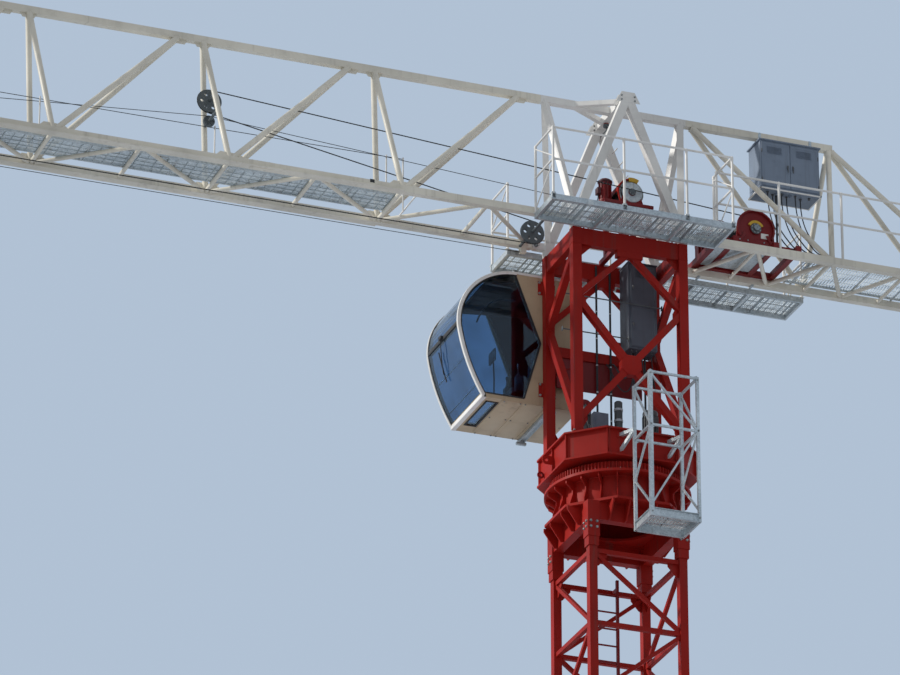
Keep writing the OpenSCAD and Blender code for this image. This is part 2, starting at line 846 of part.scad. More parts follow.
// Open cage beside the slewing frame, carried on four arms from the frame's near web
module access_cage() {
  left = cage_left;
  right = cage_left + cage_l;
  outer = -cage_in - cage_d;
  inner = -cage_in;
  rim_low = -cage_floor - cage_rim_h;
  rim_t = 12;
  arm_s = 60;
  arm_drop = 110;
  strut_drop = 530;
  arm_left = left - 200;
  arm_right = right - 180;
  main_s = 1.3 * cage_post_s;
  brace_s = slim * cage_bar_s;
  rail_zs = [cage_top - cage_bar_s / 2, -cage_mid];
  plate_w = 150;
  foot_z = -cage_floor + 60;
  brace_mid = -(cage_floor + cage_mid) / 2;
  color("lightslategray") upper() {
    difference() {
      union() {
        for (x = [left, right])
          for (y = [outer, inner])
            bar([x, y, rim_low], [x, y, cage_top], (x == left && y == outer) ? main_s : cage_post_s);
        for (z = rail_zs) {
          for (y = [outer, inner])
            bar([left, y, z], [right, y, z], cage_bar_s);
          for (x = [left, right])
            bar([x, outer, z], [x, inner, z], cage_bar_s);
        }
        bar([left, outer, foot_z], [right, outer, -cage_mid], brace_s);
        bar([right, outer, -cage_mid], [left, outer, cage_top - cage_bar_s], brace_s);
        for (x = [left, right]) {
          bar([x, outer, foot_z], [x, inner, brace_mid], brace_s);
          bar([x, inner, brace_mid], [x, outer, -cage_mid], brace_s);
          bar([x, outer, -cage_mid], [x, inner, cage_top - cage_bar_s], brace_s);
        }
        for (x = [[left, arm_left], [right, arm_right]]) {
          bar([x[0], inner, -arm_drop], [x[1], -web_y + plate_w, -arm_drop], arm_s);
          bar([x[0], inner, -arm_drop], [x[1], -web_y + plate_w, -strut_drop], slim * arm_s);
        }
      }
      block([-frame_x, -web_y, -2 * frame_h], [frame_x, 0, 0]);
      linear_extrude(2 * frame_plate_t, center = true) polygon(frame_outline);
      translate([0, 0, -frame_h]) linear_extrude(2 * frame_plate_t, center = true)
        polygon(frame_outline);
    }
    difference() {
      block([left, outer, rim_low], [right, inner, -cage_floor]);
      block([left + rim_t, outer + rim_t, rim_low - cut], [right - rim_t, inner - rim_t, -cage_floor + cut]);
    }
    for (i = [1 : cage_floor_bars])
      translate([left + i * cage_l / (cage_floor_bars + 1), outer, -cage_floor - grating_t])
        cube([grating_bar_t, cage_d, grating_t]);
    for (y = [1 : 3])
      translate([left, outer + y * cage_d / 4, -cage_floor - grating_t])
        cube([cage_l, grating_bar_t, grating_t / 2]);
  }
}

cab_y0 = post_y + post_s / 2 + cab_gap;
cab_y1 = cab_y0 + cab_w;
cab_roof_z = cab_floor_z + cab_h;
cab_upper_steps = 10;
cab_lower_steps = 5;
cab_last = cab_upper_steps + cab_lower_steps;
cab_nose = [-cab_nose_x, cab_floor_z + cab_nose_z];
cab_toe = [-cab_toe_x, cab_floor_z];
cab_low_bulge = 65;
cab_lower_arc = arc(cab_nose, cab_toe, cab_low_bulge, cab_lower_steps);

// The cab's side view, anticlockwise from the front end of the roof
cab_outline = concat(
  arc([-cab_roof_x, cab_roof_z], cab_nose, cab_bulge, cab_upper_steps),
  [for (i = [1 : cab_lower_steps]) cab_lower_arc[i]],
  [[-cab_back_x, cab_floor_z], [-cab_back_x, cab_roof_z]]
);

// Side view of the space before the back edge of the side glass
before_x = -cab_nose_x - 400;
side_low = cab_floor_z + 80;
side_high = cab_roof_z - 40;
side_foot_x = 1380;
cab_side_zone = [
  [before_x, side_low], [-side_foot_x, side_low], [-waist_x, cab_floor_z + waist_z],
  [-cab_roof_x - 30, side_high], [before_x, side_high]
];
ledge = 20;
rebate = glass_t + 3;
bar_low = cab_floor_z + cab_nose_z + 20;
bar_high = bar_low + 60;
front_low = cab_floor_z + 70;
front_top_x = 1800;
floor_window = [[-1990, cab_y0 + 165], [-1810, cab_y1 - 300]];

// The floor window's space, drawn t further in, between two heights
module floor_window_space(t, z0, z1) {
  block([floor_window[0][0] + t, floor_window[0][1] + t, z0],
    [floor_window[1][0] - t, floor_window[1][1] - t, z1]);
}

// A band of the front between two depths under the outline, open where the glass goes
module front_band(depth0, depth1, side, gap) {
  outer = inset(cab_outline, depth0);
  inner = inset(cab_outline, depth1);
  difference() {
    plate_xz(cab_y0 + side, cab_y1 - side)
      polygon(concat(
        [for (i = [0 : cab_last]) outer[i]],
        [for (i = [cab_last : -1 : 0]) inner[i]]
      ));
    block([-front_top_x - gap, cab_y0, cab_floor_z], [0, cab_y1, cab_roof_z + 200]);
    block([-2 * cab_nose_x, cab_y0, bar_low - gap], [0, cab_y1, bar_high + gap]);
    block([-2 * cab_nose_x, cab_y0, 0], [0, cab_y1, front_low + gap]);
  }
}

// The region of the side glass, drawn t further in, between two depths in Y
module side_window(y0, y1, t) {
  intersection() {
    plate_xz(y0, y1) polygon(inset(cab_outline, cab_strip + t));
    plate_xz(y0, y1) polygon(inset(cab_side_zone, t));
  }
}

module cab_body() {
  pad_h = 160;
  color("wheat") upper() {
    difference() {
      plate_xz(cab_y0, cab_y1) polygon(cab_outline);
      plate_xz(cab_y0 + cab_wall, cab_y1 - cab_wall) polygon(inset(cab_outline, cab_wall));
      front_band(-cab_wall, rebate, cab_strip, 0);
      front_band(0, 2 * cab_wall, cab_strip + ledge, ledge);
      side_window(cab_y0 - cut, cab_y0 + rebate, 0);
      side_window(cab_y1 - rebate, cab_y1 + cut, 0);
      side_window(cab_y0 - cut, cab_y0 + cab_wall + cut, ledge);
      side_window(cab_y1 - cab_wall - cut, cab_y1 + cut, ledge);
      floor_window_space(0, cab_floor_z - cut, cab_floor_z + rebate);
      floor_window_space(ledge, cab_floor_z, cab_floor_z + 2 * cab_wall);
    }
    for (z = [cab_floor_z + 200, cab_roof_z - 300])
      block([-post_x - post_s / 2, cab_y0 - cab_gap, z], [-post_x + post_s / 2, cab_y0, z + pad_h]);
  }
}

module cab_front_glass() {
  color([0.3, 0.42, 0.62, 0.5]) upper() {
    front_band(rebate - glass_t, rebate, cab_strip + glass_gap, glass_gap);
    floor_window_space(glass_gap, cab_floor_z + rebate - glass_t, cab_floor_z + rebate);
  }
}

module cab_side_glass() {
  color([0.3, 0.42, 0.62, 0.5]) upper() {
    side_window(cab_y0 + rebate - glass_t, cab_y0 + rebate, glass_gap);
    side_window(cab_y1 - rebate, cab_y1 - rebate + glass_t, glass_gap);
  }
}

module cab_guard_bars() {
  line = inset(cab_outline, cab_wall + guard_bar_d / 2 + 2);
  color("gainsboro") upper()
    for (i = [5, 8, cab_upper_steps + 2, cab_upper_steps + 4])
      translate([line[i][0], (cab_y0 + cab_y1) / 2, line[i][1]])
        cross_pin([0, 0, 0], guard_bar_d, cab_w - 2 * cab_wall);
}

deck_top = turret_h + deck_frame_h;
deck_in = post_y + chord_s / 2 + deck_gap;

// A grating in a frame, between two corners, with its cross joists
module grating_deck(x0, x1, y0, y1, joists) {
  bars = floor((x1 - x0) / grating_pitch);
  pitch = (x1 - x0) / bars;
  for (y = [y0, y1 - deck_frame_t])
    block([x0, y, turret_h], [x1, y + deck_frame_t, deck_top]);
  for (x = concat([x0 + deck_frame_t / 2, x1 - deck_frame_t / 2], joists))
    block([x - deck_frame_t / 2, y0, turret_h], [x + deck_frame_t / 2, y1, deck_top - grating_t]);
  for (i = [1 : bars - 1])
    translate([x0 + i * pitch, y0, deck_top - grating_t]) cube([grating_bar_t, y1 - y0, grating_t]);
  for (i = [1 : 3])
    translate([x0, y0 + i * (y1 - y0) / 4, deck_top - grating_t])
      cube([x1 - x0, grating_bar_t, grating_t / 2]);
  for (x = [x0, x1 - deck_frame_t])
    block([x, y0, turret_h], [x + deck_frame_t, y1, deck_top]);
}

joist_x = 0.7 * post_x;

// Bearers that carry a deck on the turret's top beam
module deck_bearers() {
  both_ends()
    block([joist_x - deck_frame_t / 2, post_y - beam_t / 2, turret_h],
      [joist_x + deck_frame_t / 2, deck_in + deck_frame_t, chord_under - deck_gap]);
}

module near_platform() {
  color("lightslategray") upper() mirror([0, 1, 0]) {
    grating_deck(-near_deck_front, near_deck_back, deck_in, deck_in + near_deck_w, [-joist_x, joist_x]);
    deck_bearers();
  }
}

module far_walkway() {
  outer_joists = [for (x = [1800 : 1000 : far_deck_back - 500]) x];
  color("lightslategray") upper() {
    grating_deck(-far_deck_front, far_deck_back, deck_in, deck_in + far_deck_w,
      concat([-joist_x, joist_x], outer_joists));
    deck_bearers();
    for (x = outer_joists)
      block([x - deck_frame_t / 2, post_y - chord_s / 2, chord_under - 20],
        [x + deck_frame_t / 2, deck_in + deck_frame_t, chord_under]);
  }
}

// Posts, two rails along X and zigzag end frames on a deck
module guard_rail(x0, x1, y_in, y_out, posts) {
  low = deck_top;
  bar_d = 0.84 * rail_d;
  brace_s = 0.5 * rail_d;
  post_top = low + rail_top + rail_d / 2;
  for (x = concat([x0, x1], posts))
    tube([x, y_out, low], [x, y_out, post_top], rail_d);
  for (x = [x0, x1]) {
    tube([x, y_in, low], [x, y_in, post_top], rail_d);
    for (h = [rail_mid, rail_top])
      tube([x, y_in, low + h], [x, y_out, low + h], bar_d);
    bar([x, y_in, low + 80], [x, y_out, low + rail_mid - 50], brace_s);
    bar([x, y_out, low + rail_mid + 50], [x, y_in, low + rail_top - 50], brace_s);
  }
  for (h = [rail_mid, rail_top])
    tube([x0, y_out, low + h], [x1, y_out, low + h], bar_d);
}

module near_guard_rail() {
  edge = deck_frame_t / 2;
  color("whitesmoke") upper()
    guard_rail(-near_deck_front + edge, near_deck_back - edge, -deck_in - edge,
      -deck_in - near_deck_w + edge, [-0.25 * near_deck_front, 0.45 * near_deck_back]);
}

module far_guard_rail() {
  edge = deck_frame_t / 2;
  span = (far_deck_front + far_deck_back) / 5;
  color("whitesmoke") upper()
    guard_rail(-far_deck_front + edge, far_deck_back - edge, deck_in + edge,
      deck_in + far_deck_w - edge, [for (i = [1 : 4]) -far_deck_front + i * span]);
}

jib_y = post_y;
lug_pin_x = jib_root + lug_reach - chord_s / 2;
head_x = post_x + post_lean;
head_stub = 80;

// Foot blocks over the turret's posts, with lugs and pins for the chords
module foot_solids() {
  cheek = chord_s / 2;
  four_corners() {
    translate([post_x - post_s / 2, post_y - post_s / 2, turret_h])
      cube([post_s, post_s, foot_block_h]);
    for (side = [-1, 1])
      translate([0, post_y + side * (cheek - lug_t / 2), 0]) plate_xz(-lug_t / 2, lug_t / 2)
        union() {
          translate([post_x, chord_z - cheek])
            square([lug_pin_x - post_x, 2 * cheek]);
          translate([lug_pin_x, chord_z])
            circle(r = cheek);
        }
    cross_pin([lug_pin_x, post_y, chord_z], chord_pin_d, chord_s + 30);
  }
}

module a_frames() {
  color("whitesmoke") upper() {
    foot_solids();
    difference() {
      union() {
        four_corners() bar([post_x, post_y, chord_z], [0, post_y, apex_z], a_leg_s);
        both_sides() {
          bar([-post_x, post_y, chord_z], [-head_x, 0, top_chord_z], jib_tube_d);
          bar([post_x, post_y, chord_z], [counter_top_x, 0, top_chord_z], counter_post_d);
        }
        bar([0, -post_y, apex_z], [0, post_y, apex_z], a_leg_s);
        bar([-head_x - head_stub, 0, top_chord_z], [counter_top_x + head_stub, 0, top_chord_z], chord_s);
        both_sides()
          bar([0, post_y - 200, apex_z], [-0.6 * head_x, 0, top_chord_z], 0.7 * chord_s);
      }
      block([-2 * head_x, -2 * post_y, apex_z + a_leg_s / 2], [2 * head_x, 2 * post_y, 2 * apex_z]);
      four_corners()
        block([post_x - post_s, post_y - post_s, 0],
          [post_x + post_s, post_y + post_s, turret_h + foot_block_h / 2]);
    }
  }
}

node_off = 50;
function jib_node_x(i) = -post_x - node_off - i * jib_bay;
jib_end = jib_node_x(jib_bays) - 400;
jib_top_end = jib_node_x(jib_bays) - post_lean;

// A chord with an eye at its root, from the lug to the end, on the -X side
module chord(end) {
  tongue = chord_s - 2 * lug_t;
  shoulder = lug_pin_x + chord_s / 2 + 10;
  difference() {
    union() {
      block([-end, jib_y - chord_s / 2, chord_under], [-shoulder, jib_y + chord_s / 2, chord_top]);
      plate_xz(jib_y - tongue / 2, jib_y + tongue / 2)
        union() {
          translate([-shoulder - cut, chord_under])
            square([shoulder + cut - lug_pin_x, chord_s]);
          translate([-lug_pin_x, chord_z]) circle(r = chord_s / 2);
        }
    }
    cross_pin([-lug_pin_x, jib_y, chord_z], chord_pin_d + 2 * pin_gap, 2 * chord_s);
  }
}

module jib_bottom_chords() {
  anchor_x = -jib_root - lug_reach - 100;
  color("ivory") upper() {
    both_sides() {
      chord(-jib_end);
      block([jib_end, jib_y + chord_s / 2, chord_under],
        [jib_node_x(1), jib_y + chord_s / 2 + trolley_rail_w, chord_under + trolley_rail_t]);
    }
    block([anchor_x - 100, jib_y - 40, turret_h + 20], [anchor_x, jib_y + 40, chord_under]);
  }
}

module jib_top_chord() {
  color("ivory") upper()
    block([jib_top_end - chord_s / 2, -chord_s / 2, top_chord_z - chord_s / 2],
      [-head_x - head_stub, chord_s / 2, top_chord_z + chord_s / 2]);
}

// Bodies that the jib's lattice tubes end on
module jib_chord_space() {
  far = 2 * jib_end;
  both_sides()
    block([far, jib_y - chord_s / 2, chord_under], [0, jib_y + chord_s, chord_top]);
  block([far, -chord_s / 2, top_chord_z - chord_s / 2], [0, chord_s / 2, top_chord_z + chord_s]);
}

// One inclined side of the jib, on the +Y side
module jib_side() {
  difference() {
    for (i = [1 : jib_bays]) {
      foot = [jib_node_x(i), jib_y, chord_z];
      tube(foot, [foot[0] - post_lean, 0, top_chord_z], jib_tube_d);
      tube(foot, [foot[0] + diagonal_reach, 0, top_chord_z], jib_tube_d);
    }
    jib_chord_space();
    block([2 * jib_end, -jib_y, chord_under], [0, 0, 2 * top_chord_z]);
    block([2 * jib_end, 0, 0], [0, 2 * jib_y, chord_top]);
  }
}

module jib_near_lattice() {
  color("ivory") upper() mirror([0, 1, 0])
    jib_side();
}

module jib_far_lattice() {
  color("ivory") upper()
    jib_side();
}

// Cross tubes at every node and half bay, with zigzag tubes between them
module jib_bottom_lattice() {
  first_x = -lug_pin_x - chord_s;
  color("ivory") upper() difference() {
    for (i = [1 : jib_bays]) {
      x = jib_node_x(i);
      half = x + jib_bay / 2;
      tube([x, -jib_y, chord_z], [x, jib_y, chord_z], bottom_tube_d);
      tube([half, -jib_y, chord_z], [half, jib_y, chord_z], bottom_tube_d);
      tube([x, jib_y, chord_z], [half, -jib_y, chord_z], bottom_tube_d);
      tube([half, -jib_y, chord_z], [min(x + jib_bay, first_x), jib_y, chord_z], bottom_tube_d);
    }
    jib_chord_space();
  }
}

module jib_walkway() {
  rail_t = 30;
  low = chord_z + bottom_tube_d / 2;
  start = jib_node_x(walkway_skip);
  end = jib_node_x(jib_bays);
  pitch = 3 * grating_pitch / 2;
  bars = floor((start - end) / pitch);
  step = (start - end) / bars;
  color("lightgray") upper() {
    for (y = [-walkway_w / 2, walkway_w / 2 - rail_t])
      block([end, y, low], [start, y + rail_t, low + grating_t]);
    for (i = [0 : bars - 1])
      translate([end + i * step, -walkway_w / 2, low])
        cube([grating_bar_t, walkway_w, grating_t]);
    for (y = [-1, 0, 1])
      block([end, y * walkway_w / 5, low], [start, y * walkway_w / 5 + grating_bar_t, low + grating_t / 2]);
  }
}

function counter_node_x(i) = post_x + 20 + i * counter_bay;
counter_top_end = counter_top_x + counter_bay;

module counter_jib_chords() {
  color("ivory") upper() {
    both_sides() mirror([1, 0, 0]) chord(counter_end);
    block([counter_end - chord_s, -jib_y, chord_under + 20], [counter_end, jib_y, chord_top - 20]);
    block([counter_top_x + head_stub, -chord_s / 2, top_chord_z - chord_s / 2],
      [counter_top_end + chord_s / 2, chord_s / 2, top_chord_z + chord_s / 2]);
  }
}

// Bodies that the counter-jib's lattice tubes end on
module counter_chord_space() {
  both_sides()
    block([0, jib_y - chord_s / 2, chord_under], [counter_end, jib_y + chord_s, chord_top]);
  block([0, -chord_s / 2, top_chord_z - chord_s / 2],
    [counter_top_end + chord_s / 2, chord_s / 2, top_chord_z + chord_s]);
}

module counter_jib_lattice() {
  head = [counter_top_x + 2 * head_stub, 0, top_chord_z];
  mid = [counter_node_x(1), jib_y, chord_z];
  rear_head = [counter_top_end, 0, top_chord_z];
  rear = [counter_node_x(2), jib_y, chord_z];
  lace = counter_bay / 4;
  side_gap = 2;
  color("ivory") upper() difference() {
    union() {
      both_sides()
        difference() {
          union() {
            tube(head, mid, counter_diagonal_d);
            tube(mid, rear_head, counter_diagonal_d);
            tube(rear_head, rear, counter_diagonal_d);
          }
          block([0, -jib_y, chord_z], [counter_end, side_gap, top_chord_z + chord_s]);
        }
      for (i = [1 : 7]) {
        x = counter_node_x(0) + i * lace;
        side = i % 2 == 1 ? 1 : -1;
        tube([x, side * jib_y, chord_z], [x + lace, -side * jib_y, chord_z], bottom_tube_d);
      }
      for (x = [counter_node_x(0.5), counter_node_x(1), counter_node_x(1.5)])
        tube([x, -jib_y, chord_z], [x, jib_y, chord_z], 0.86 * bottom_tube_d);
    }
    counter_chord_space();
  }
}

module counter_jib_rail() {
  y = jib_y + chord_s / 2 - rail_d / 2;
  start = near_deck_back + 60;
  end = counter_end - slab_count * (slab_t + slab_gap) - 400;
  spans = 4;
  color("whitesmoke") upper() mirror([0, 1, 0]) {
    for (i = [0 : spans])
      translate([start + i * (end - start) / spans, y, chord_top])
        tube([0, 0, 0], [0, 0, rail_top + rail_d / 2], rail_d);
    for (h = [rail_mid, rail_top])
      tube([start, y, chord_top + h], [end, y, chord_top + h], 0.84 * rail_d);
  }
}

module counterweights() {
  half_low = jib_y - chord_s / 2 - slab_gap;
  half_high = jib_y + chord_s / 2;
  color("darkgray") upper()
    for (i = [0 : slab_count - 1])
      plate_yz(counter_end - chord_s - slab_gap - (i + 1) * slab_t - i * slab_gap,
        counter_end - chord_s - slab_gap - i * (slab_t + slab_gap))
        polygon([
          [-half_low, chord_under - slab_drop], [half_low, chord_under - slab_drop],
          [half_low, chord_top], [half_high, chord_top], [half_high, chord_top + slab_head],
          [-half_high, chord_top + slab_head], [-half_high, chord_top], [-half_low, chord_top]
        ]);
}

skid_h = 100;
skid_top = chord_top + skid_h;
hoist_z = chord_top + hoist_rise;
hoist_plate_y = hoist_drum_l / 2 + hoist_flange_t + drum_gap;
motor_x = hoist_x - hoist_flange_r - drum_gap - hoist_motor_d / 2 - 60;

// A drum along Y with flanges and a through shaft, centred on the origin
module rope_drum(drum_r, drum_l, flange_r, flange_t, shaft_d, shaft_l) {
  cross_pin([0, 0, 0], 2 * drum_r, drum_l + flange_t);
  for (side = [-1, 1])
    cross_pin([0, side * (drum_l + flange_t) / 2, 0], 2 * flange_r, flange_t);
  cross_pin([0, 0, 0], shaft_d, shaft_l);
}

// Two arched bearing plates round a shaft, from y0 to y1 on both sides
module arched_plates(x, z, low, width, head_r, y0, y1, shaft_d) {
  housing_r = 0.95 * shaft_d;
  housing_t = 24;
  both_sides()
    difference() {
      union() {
        plate_xz(y0, y1)
          union() {
            translate([x, z]) circle(r = head_r);
            polygon([[x - width / 2, low], [x + width / 2, low], [x + width / 2, low + 120],
              [x + head_r, z], [x - head_r, z], [x - width / 2, low + 120]]);
          }
        cross_pin([x, y1 + housing_t / 2, z], 2 * housing_r, housing_t);
      }
      cross_pin([x, (y0 + y1) / 2, z], shaft_d + 2 * shaft_gap, 300);
    }
}

module hoist_winch_frame() {
  head_r = hoist_flange_r + 10;
  beam_w = 96;
  step_x = hoist_x + arch_w / 2 + 420;
  color("darkred") upper() {
    for (x = [motor_x - hoist_motor_d / 2, motor_x + hoist_motor_d / 2 - beam_w,
        hoist_x + arch_w / 2 - beam_w, step_x - beam_w])
      block([x, -jib_y - chord_s / 2, chord_top], [x + beam_w, jib_y + chord_s / 2, skid_top]);
    both_sides()
      block([motor_x - hoist_motor_d / 2, hoist_plate_y, chord_top],
        [step_x, hoist_plate_y + beam_w, skid_top]);
    arched_plates(hoist_x, hoist_z, skid_top, arch_w, head_r,
      hoist_plate_y, hoist_plate_y + hoist_plate_t, hoist_shaft_d);
  }
}

module hoist_drum() {
  color("dimgray") upper()
    translate([hoist_x, 0, hoist_z])
      rope_drum(hoist_drum_r, hoist_drum_l, hoist_flange_r, hoist_flange_t, hoist_shaft_d,
        2 * (hoist_plate_y + hoist_plate_t + 40));
}

module hoist_motor() {
  z = skid_top + hoist_motor_d / 2 + 60;
  gear_y = hoist_plate_y - 250;
  gear_w = 150;
  foot_w = 60;
  fins = 20;
  fin_t = 12;
  fin_reach = 16;
  fin_l = hoist_plate_y - 260;
  motor_y = -60;
  color("darkred") upper() {
    cross_pin([motor_x, motor_y, z], hoist_motor_d, 2 * hoist_plate_y - 360);
    for (i = [0 : fins - 1])
      translate([motor_x, motor_y, z]) rotate([0, 360 * i / fins, 0])
        block([0, -fin_l, -fin_t / 2], [hoist_motor_d / 2 + fin_reach, fin_l, fin_t / 2]);
    block([motor_x - hoist_motor_d / 2, gear_y, skid_top],
      [motor_x + hoist_motor_d / 2, gear_y + gear_w, z + hoist_motor_d / 2]);
    for (y = [-fin_l, fin_l - foot_w])
      block([motor_x - 0.4 * hoist_motor_d, y, skid_top], [motor_x + 0.4 * hoist_motor_d, y + foot_w, z]);
  }
}

drum_z = turret_h + trolley_drum_rise;
trolley_plate_y = trolley_drum_l / 2 + trolley_flange_t + drum_gap;

module trolley_winch() {
  table_x = 250;
  beam_w = 80;
  table_z = drum_z - trolley_flange_r - 110;
  table_t = 30;
  post_in = 0.55 * post_y;
  motor_d = 230;
  winch_motor_x = trolley_drum_x - trolley_flange_r - 60 - motor_d / 2;
  head_r = 0.62 * trolley_flange_r;
  color("darkred") upper() {
    for (x = [-table_x, table_x]) {
      block([trolley_drum_x + x - beam_w / 2, -post_y + beam_t / 2 - 20, turret_h],
        [trolley_drum_x + x + beam_w / 2, post_y - beam_t / 2 + 20, turret_h + beam_w]);
      both_sides()
        block([trolley_drum_x + x - beam_w / 2, post_in - beam_w / 2, turret_h],
          [trolley_drum_x + x + beam_w / 2, post_in + beam_w / 2, table_z]);
    }
    block([winch_motor_x - motor_d / 2 - 50, -post_in - beam_w / 2, table_z],
      [trolley_drum_x + table_x + beam_w, post_in + beam_w / 2, table_z + table_t]);
    arched_plates(trolley_drum_x, drum_z, table_z + table_t, 1.8 * trolley_flange_r, head_r,
      trolley_plate_y, trolley_plate_y + trolley_plate_t, trolley_shaft_d);
    translate([winch_motor_x, 0, table_z + table_t])
      gear_motor(motor_d, 150, 0.82 * motor_d, 420, 12);
  }
}

module trolley_drum() {
  color("dimgray") upper()
    translate([trolley_drum_x, 0, drum_z])
      rope_drum(trolley_drum_r, trolley_drum_l, trolley_flange_r, trolley_flange_t, trolley_shaft_d,
        2 * (trolley_plate_y + trolley_plate_t + 30));
}

cabinet_top = top_chord_z - chord_s / 2 - 110;
cabinet_low = cabinet_top - cabinet_h;

// Cabinet hung under the counter-jib's top chord, with a rim, a sloped lid and glands
module electrical_cabinet() {
  rim = 25;
  hanger_w = 80;
  gland_d = 50;
  color("slategray") upper() {
    block([cabinet_x, -cabinet_d / 2, cabinet_low], [cabinet_x + cabinet_l, cabinet_d / 2, cabinet_top]);
    block([cabinet_x - rim, -cabinet_d / 2 - rim, cabinet_low],
      [cabinet_x + cabinet_l + rim, cabinet_d / 2 + rim, cabinet_low + rim]);
    for (x = [cabinet_x + 100, cabinet_x + cabinet_l - 100 - hanger_w])
      block([x, -chord_s / 2, cabinet_top], [x + hanger_w, chord_s / 2, top_chord_z - chord_s / 2]);
    for (x = [0.3, 0.42, 0.54])
      translate([cabinet_x + x * cabinet_l, -cabinet_d / 4, cabinet_low - 40])
        cylinder(h = 40 + rim, d = gland_d);
  }
}

control_x = post_x - post_s / 2 - 45 - control_l;
control_back = post_y - beam_t / 2;
control_low = turret_h - 50 - control_h;

module control_cabinet() {
  door_t = 14;
  edge = 30;
  color("gray") upper() {
    block([control_x, control_back - control_d, control_low],
      [control_x + control_l, control_back, control_low + control_h]);
    block([control_x + edge, control_back - control_d - door_t, control_low + edge],
      [control_x + control_l - edge, control_back - control_d, control_low + control_h - edge]);
  }
}

// Cables between the cabinets, the frame and the winch, held at both ends
module power_cables() {
  y = control_back - cable_d / 2;
  color([0.08, 0.08, 0.08]) upper() {
    for (x = [-120, 130])
      tube([x, y, 0], [x, y, turret_h - 40], cable_d);
    for (x = [0.3, 0.7])
      tube([control_x + x * control_l, control_back - control_d / 2, 0],
        [control_x + x * control_l, control_back - control_d / 2, control_low], cable_d);
    tube([cabinet_x + 0.3 * cabinet_l, -cabinet_d / 4, skid_top + 20],
      [cabinet_x + 0.3 * cabinet_l, -cabinet_d / 4, cabinet_low - 40], cable_d);
  }
}

wheel_z = chord_under + trolley_rail_t + wheel_d / 2;
trolley_plate_in = jib_y + chord_s / 2 + trolley_rail_w + 6;
trolley_low = chord_under - 320;
sheave_z = trolley_low - 100;
sheave_r = sheave_d / 2;
groove_gap = 0.3;

// A grooved rope wheel in the X-Z plane, centred on the origin
module rope_wheel(d, t, rope_d) {
  rotate([90, 0, 0])
    difference() {
      cylinder(h = t, d = d, center = true);
      rotate_extrude() translate([d / 2, 0]) circle(r = rope_d / 2 + groove_gap, $fn = 24);
      for (a = [0 : 60 : 300])
        rotate([0, 0, a]) translate([0.31 * d, 0, 0])
          cylinder(h = 2 * t, d = 0.16 * d, center = true);
    }
}

module jib_trolley() {
  plate_t = 20;
  beam_w = 80;
  beam_x = 0.46 * trolley_l;
  cheek_y = 60;
  color("gold") upper() translate([-trolley_x, 0, 0]) {
    both_sides() {
      block([-trolley_l / 2, trolley_plate_in, trolley_low],
        [trolley_l / 2, trolley_plate_in + plate_t, wheel_z + 80]);
      for (x = [-0.36, 0.36]) {
        cross_pin([x * trolley_l, trolley_plate_in - 4 - wheel_t / 2, wheel_z], wheel_d, wheel_t);
        cross_pin([x * trolley_l, trolley_plate_in, wheel_z], axle_d, 60);
      }
      block([-trolley_l / 2, cheek_y - plate_t / 2, sheave_z - 60],
        [trolley_l / 2, cheek_y + plate_t / 2, trolley_low + beam_w]);
    }
    for (x = [-beam_x, beam_x]) {
      block([x - beam_w / 2, -trolley_plate_in, trolley_low],
        [x + beam_w / 2, trolley_plate_in, trolley_low + beam_w]);
      block([x - beam_w / 2, jib_y - beam_w / 2, trolley_low],
        [x + beam_w / 2, jib_y + beam_w / 2, turret_h + 70]);
    }
    for (x = [-sheave_d, sheave_d])
      translate([x, 0, sheave_z]) {
        rope_wheel(sheave_d, sheave_t, hoist_rope_d);
        cross_pin([0, 0, 0], axle_d, 2 * cheek_y + 60);
      }
  }
}

hook_sheave_z = sheave_z - hook_drop;

// Two cheeks round a rope wheel, a cross head and a hook on its shank
module hook_block() {
  cheek_t = 24;
  cheek_y = 50;
  cheek_r = 0.56 * sheave_d;
  hook_r = 95;
  hook_thick = 62;
  head_z = hook_sheave_z - cheek_r - 120;
  shank_l = 200;
  sweep = 240;
  hook_z = head_z - shank_l - hook_r;
  color("gold") upper() translate([-trolley_x, 0, 0]) {
    both_sides() plate_xz(cheek_y - cheek_t / 2, cheek_y + cheek_t / 2)
      union() {
        translate([0, hook_sheave_z])
          circle(r = cheek_r);
        translate([-cheek_r / 2, head_z - 70])
          square([cheek_r, hook_sheave_z - head_z + 70]);
      }
    translate([0, 0, hook_sheave_z]) {
      rope_wheel(sheave_d, sheave_t, hoist_rope_d);
      cross_pin([0, 0, 0], 60, 2 * cheek_y + 80);
    }
    block([-80, -cheek_y, head_z - 50], [80, cheek_y, head_z + 50]);
    translate([0, 0, head_z - shank_l]) cylinder(h = shank_l, d = 1.1 * hook_thick);
    translate([0, 0, hook_z]) rotate([90, 0, 0]) rotate([0, 0, 90 - sweep]) {
      rotate_extrude(angle = sweep)
        translate([hook_r, 0])
          circle(d = hook_thick, $fn = 32);
      translate([hook_r, 0, 0])
        rotate([90, 0, 0])
          cylinder(h = 0.8 * hook_thick, d1 = hook_thick, d2 = 0.4 * hook_thick, $fn = 32);
    }
  }
}

// Centres of the rope wheels that the jib carries, as X and Z
axle_d = 50;
axle_gap = 4;
guide_c = [jib_node_x(2) - post_lean * guide_rise / jib_h, chord_z + guide_rise];
roller_d = 200;
roller_c = [jib_node_x(2) - post_lean * roller_rise / jib_h, chord_z + roller_rise];
root_c = [-jib_root - lug_reach - 225, chord_z - bottom_tube_d / 2 - axle_d / 2 - axle_gap];
tip_c = [jib_end + 130, chord_z + 20];
tip_y = 420;
roller_y = 120;
tip_anchor_x = jib_node_x(jib_bays);

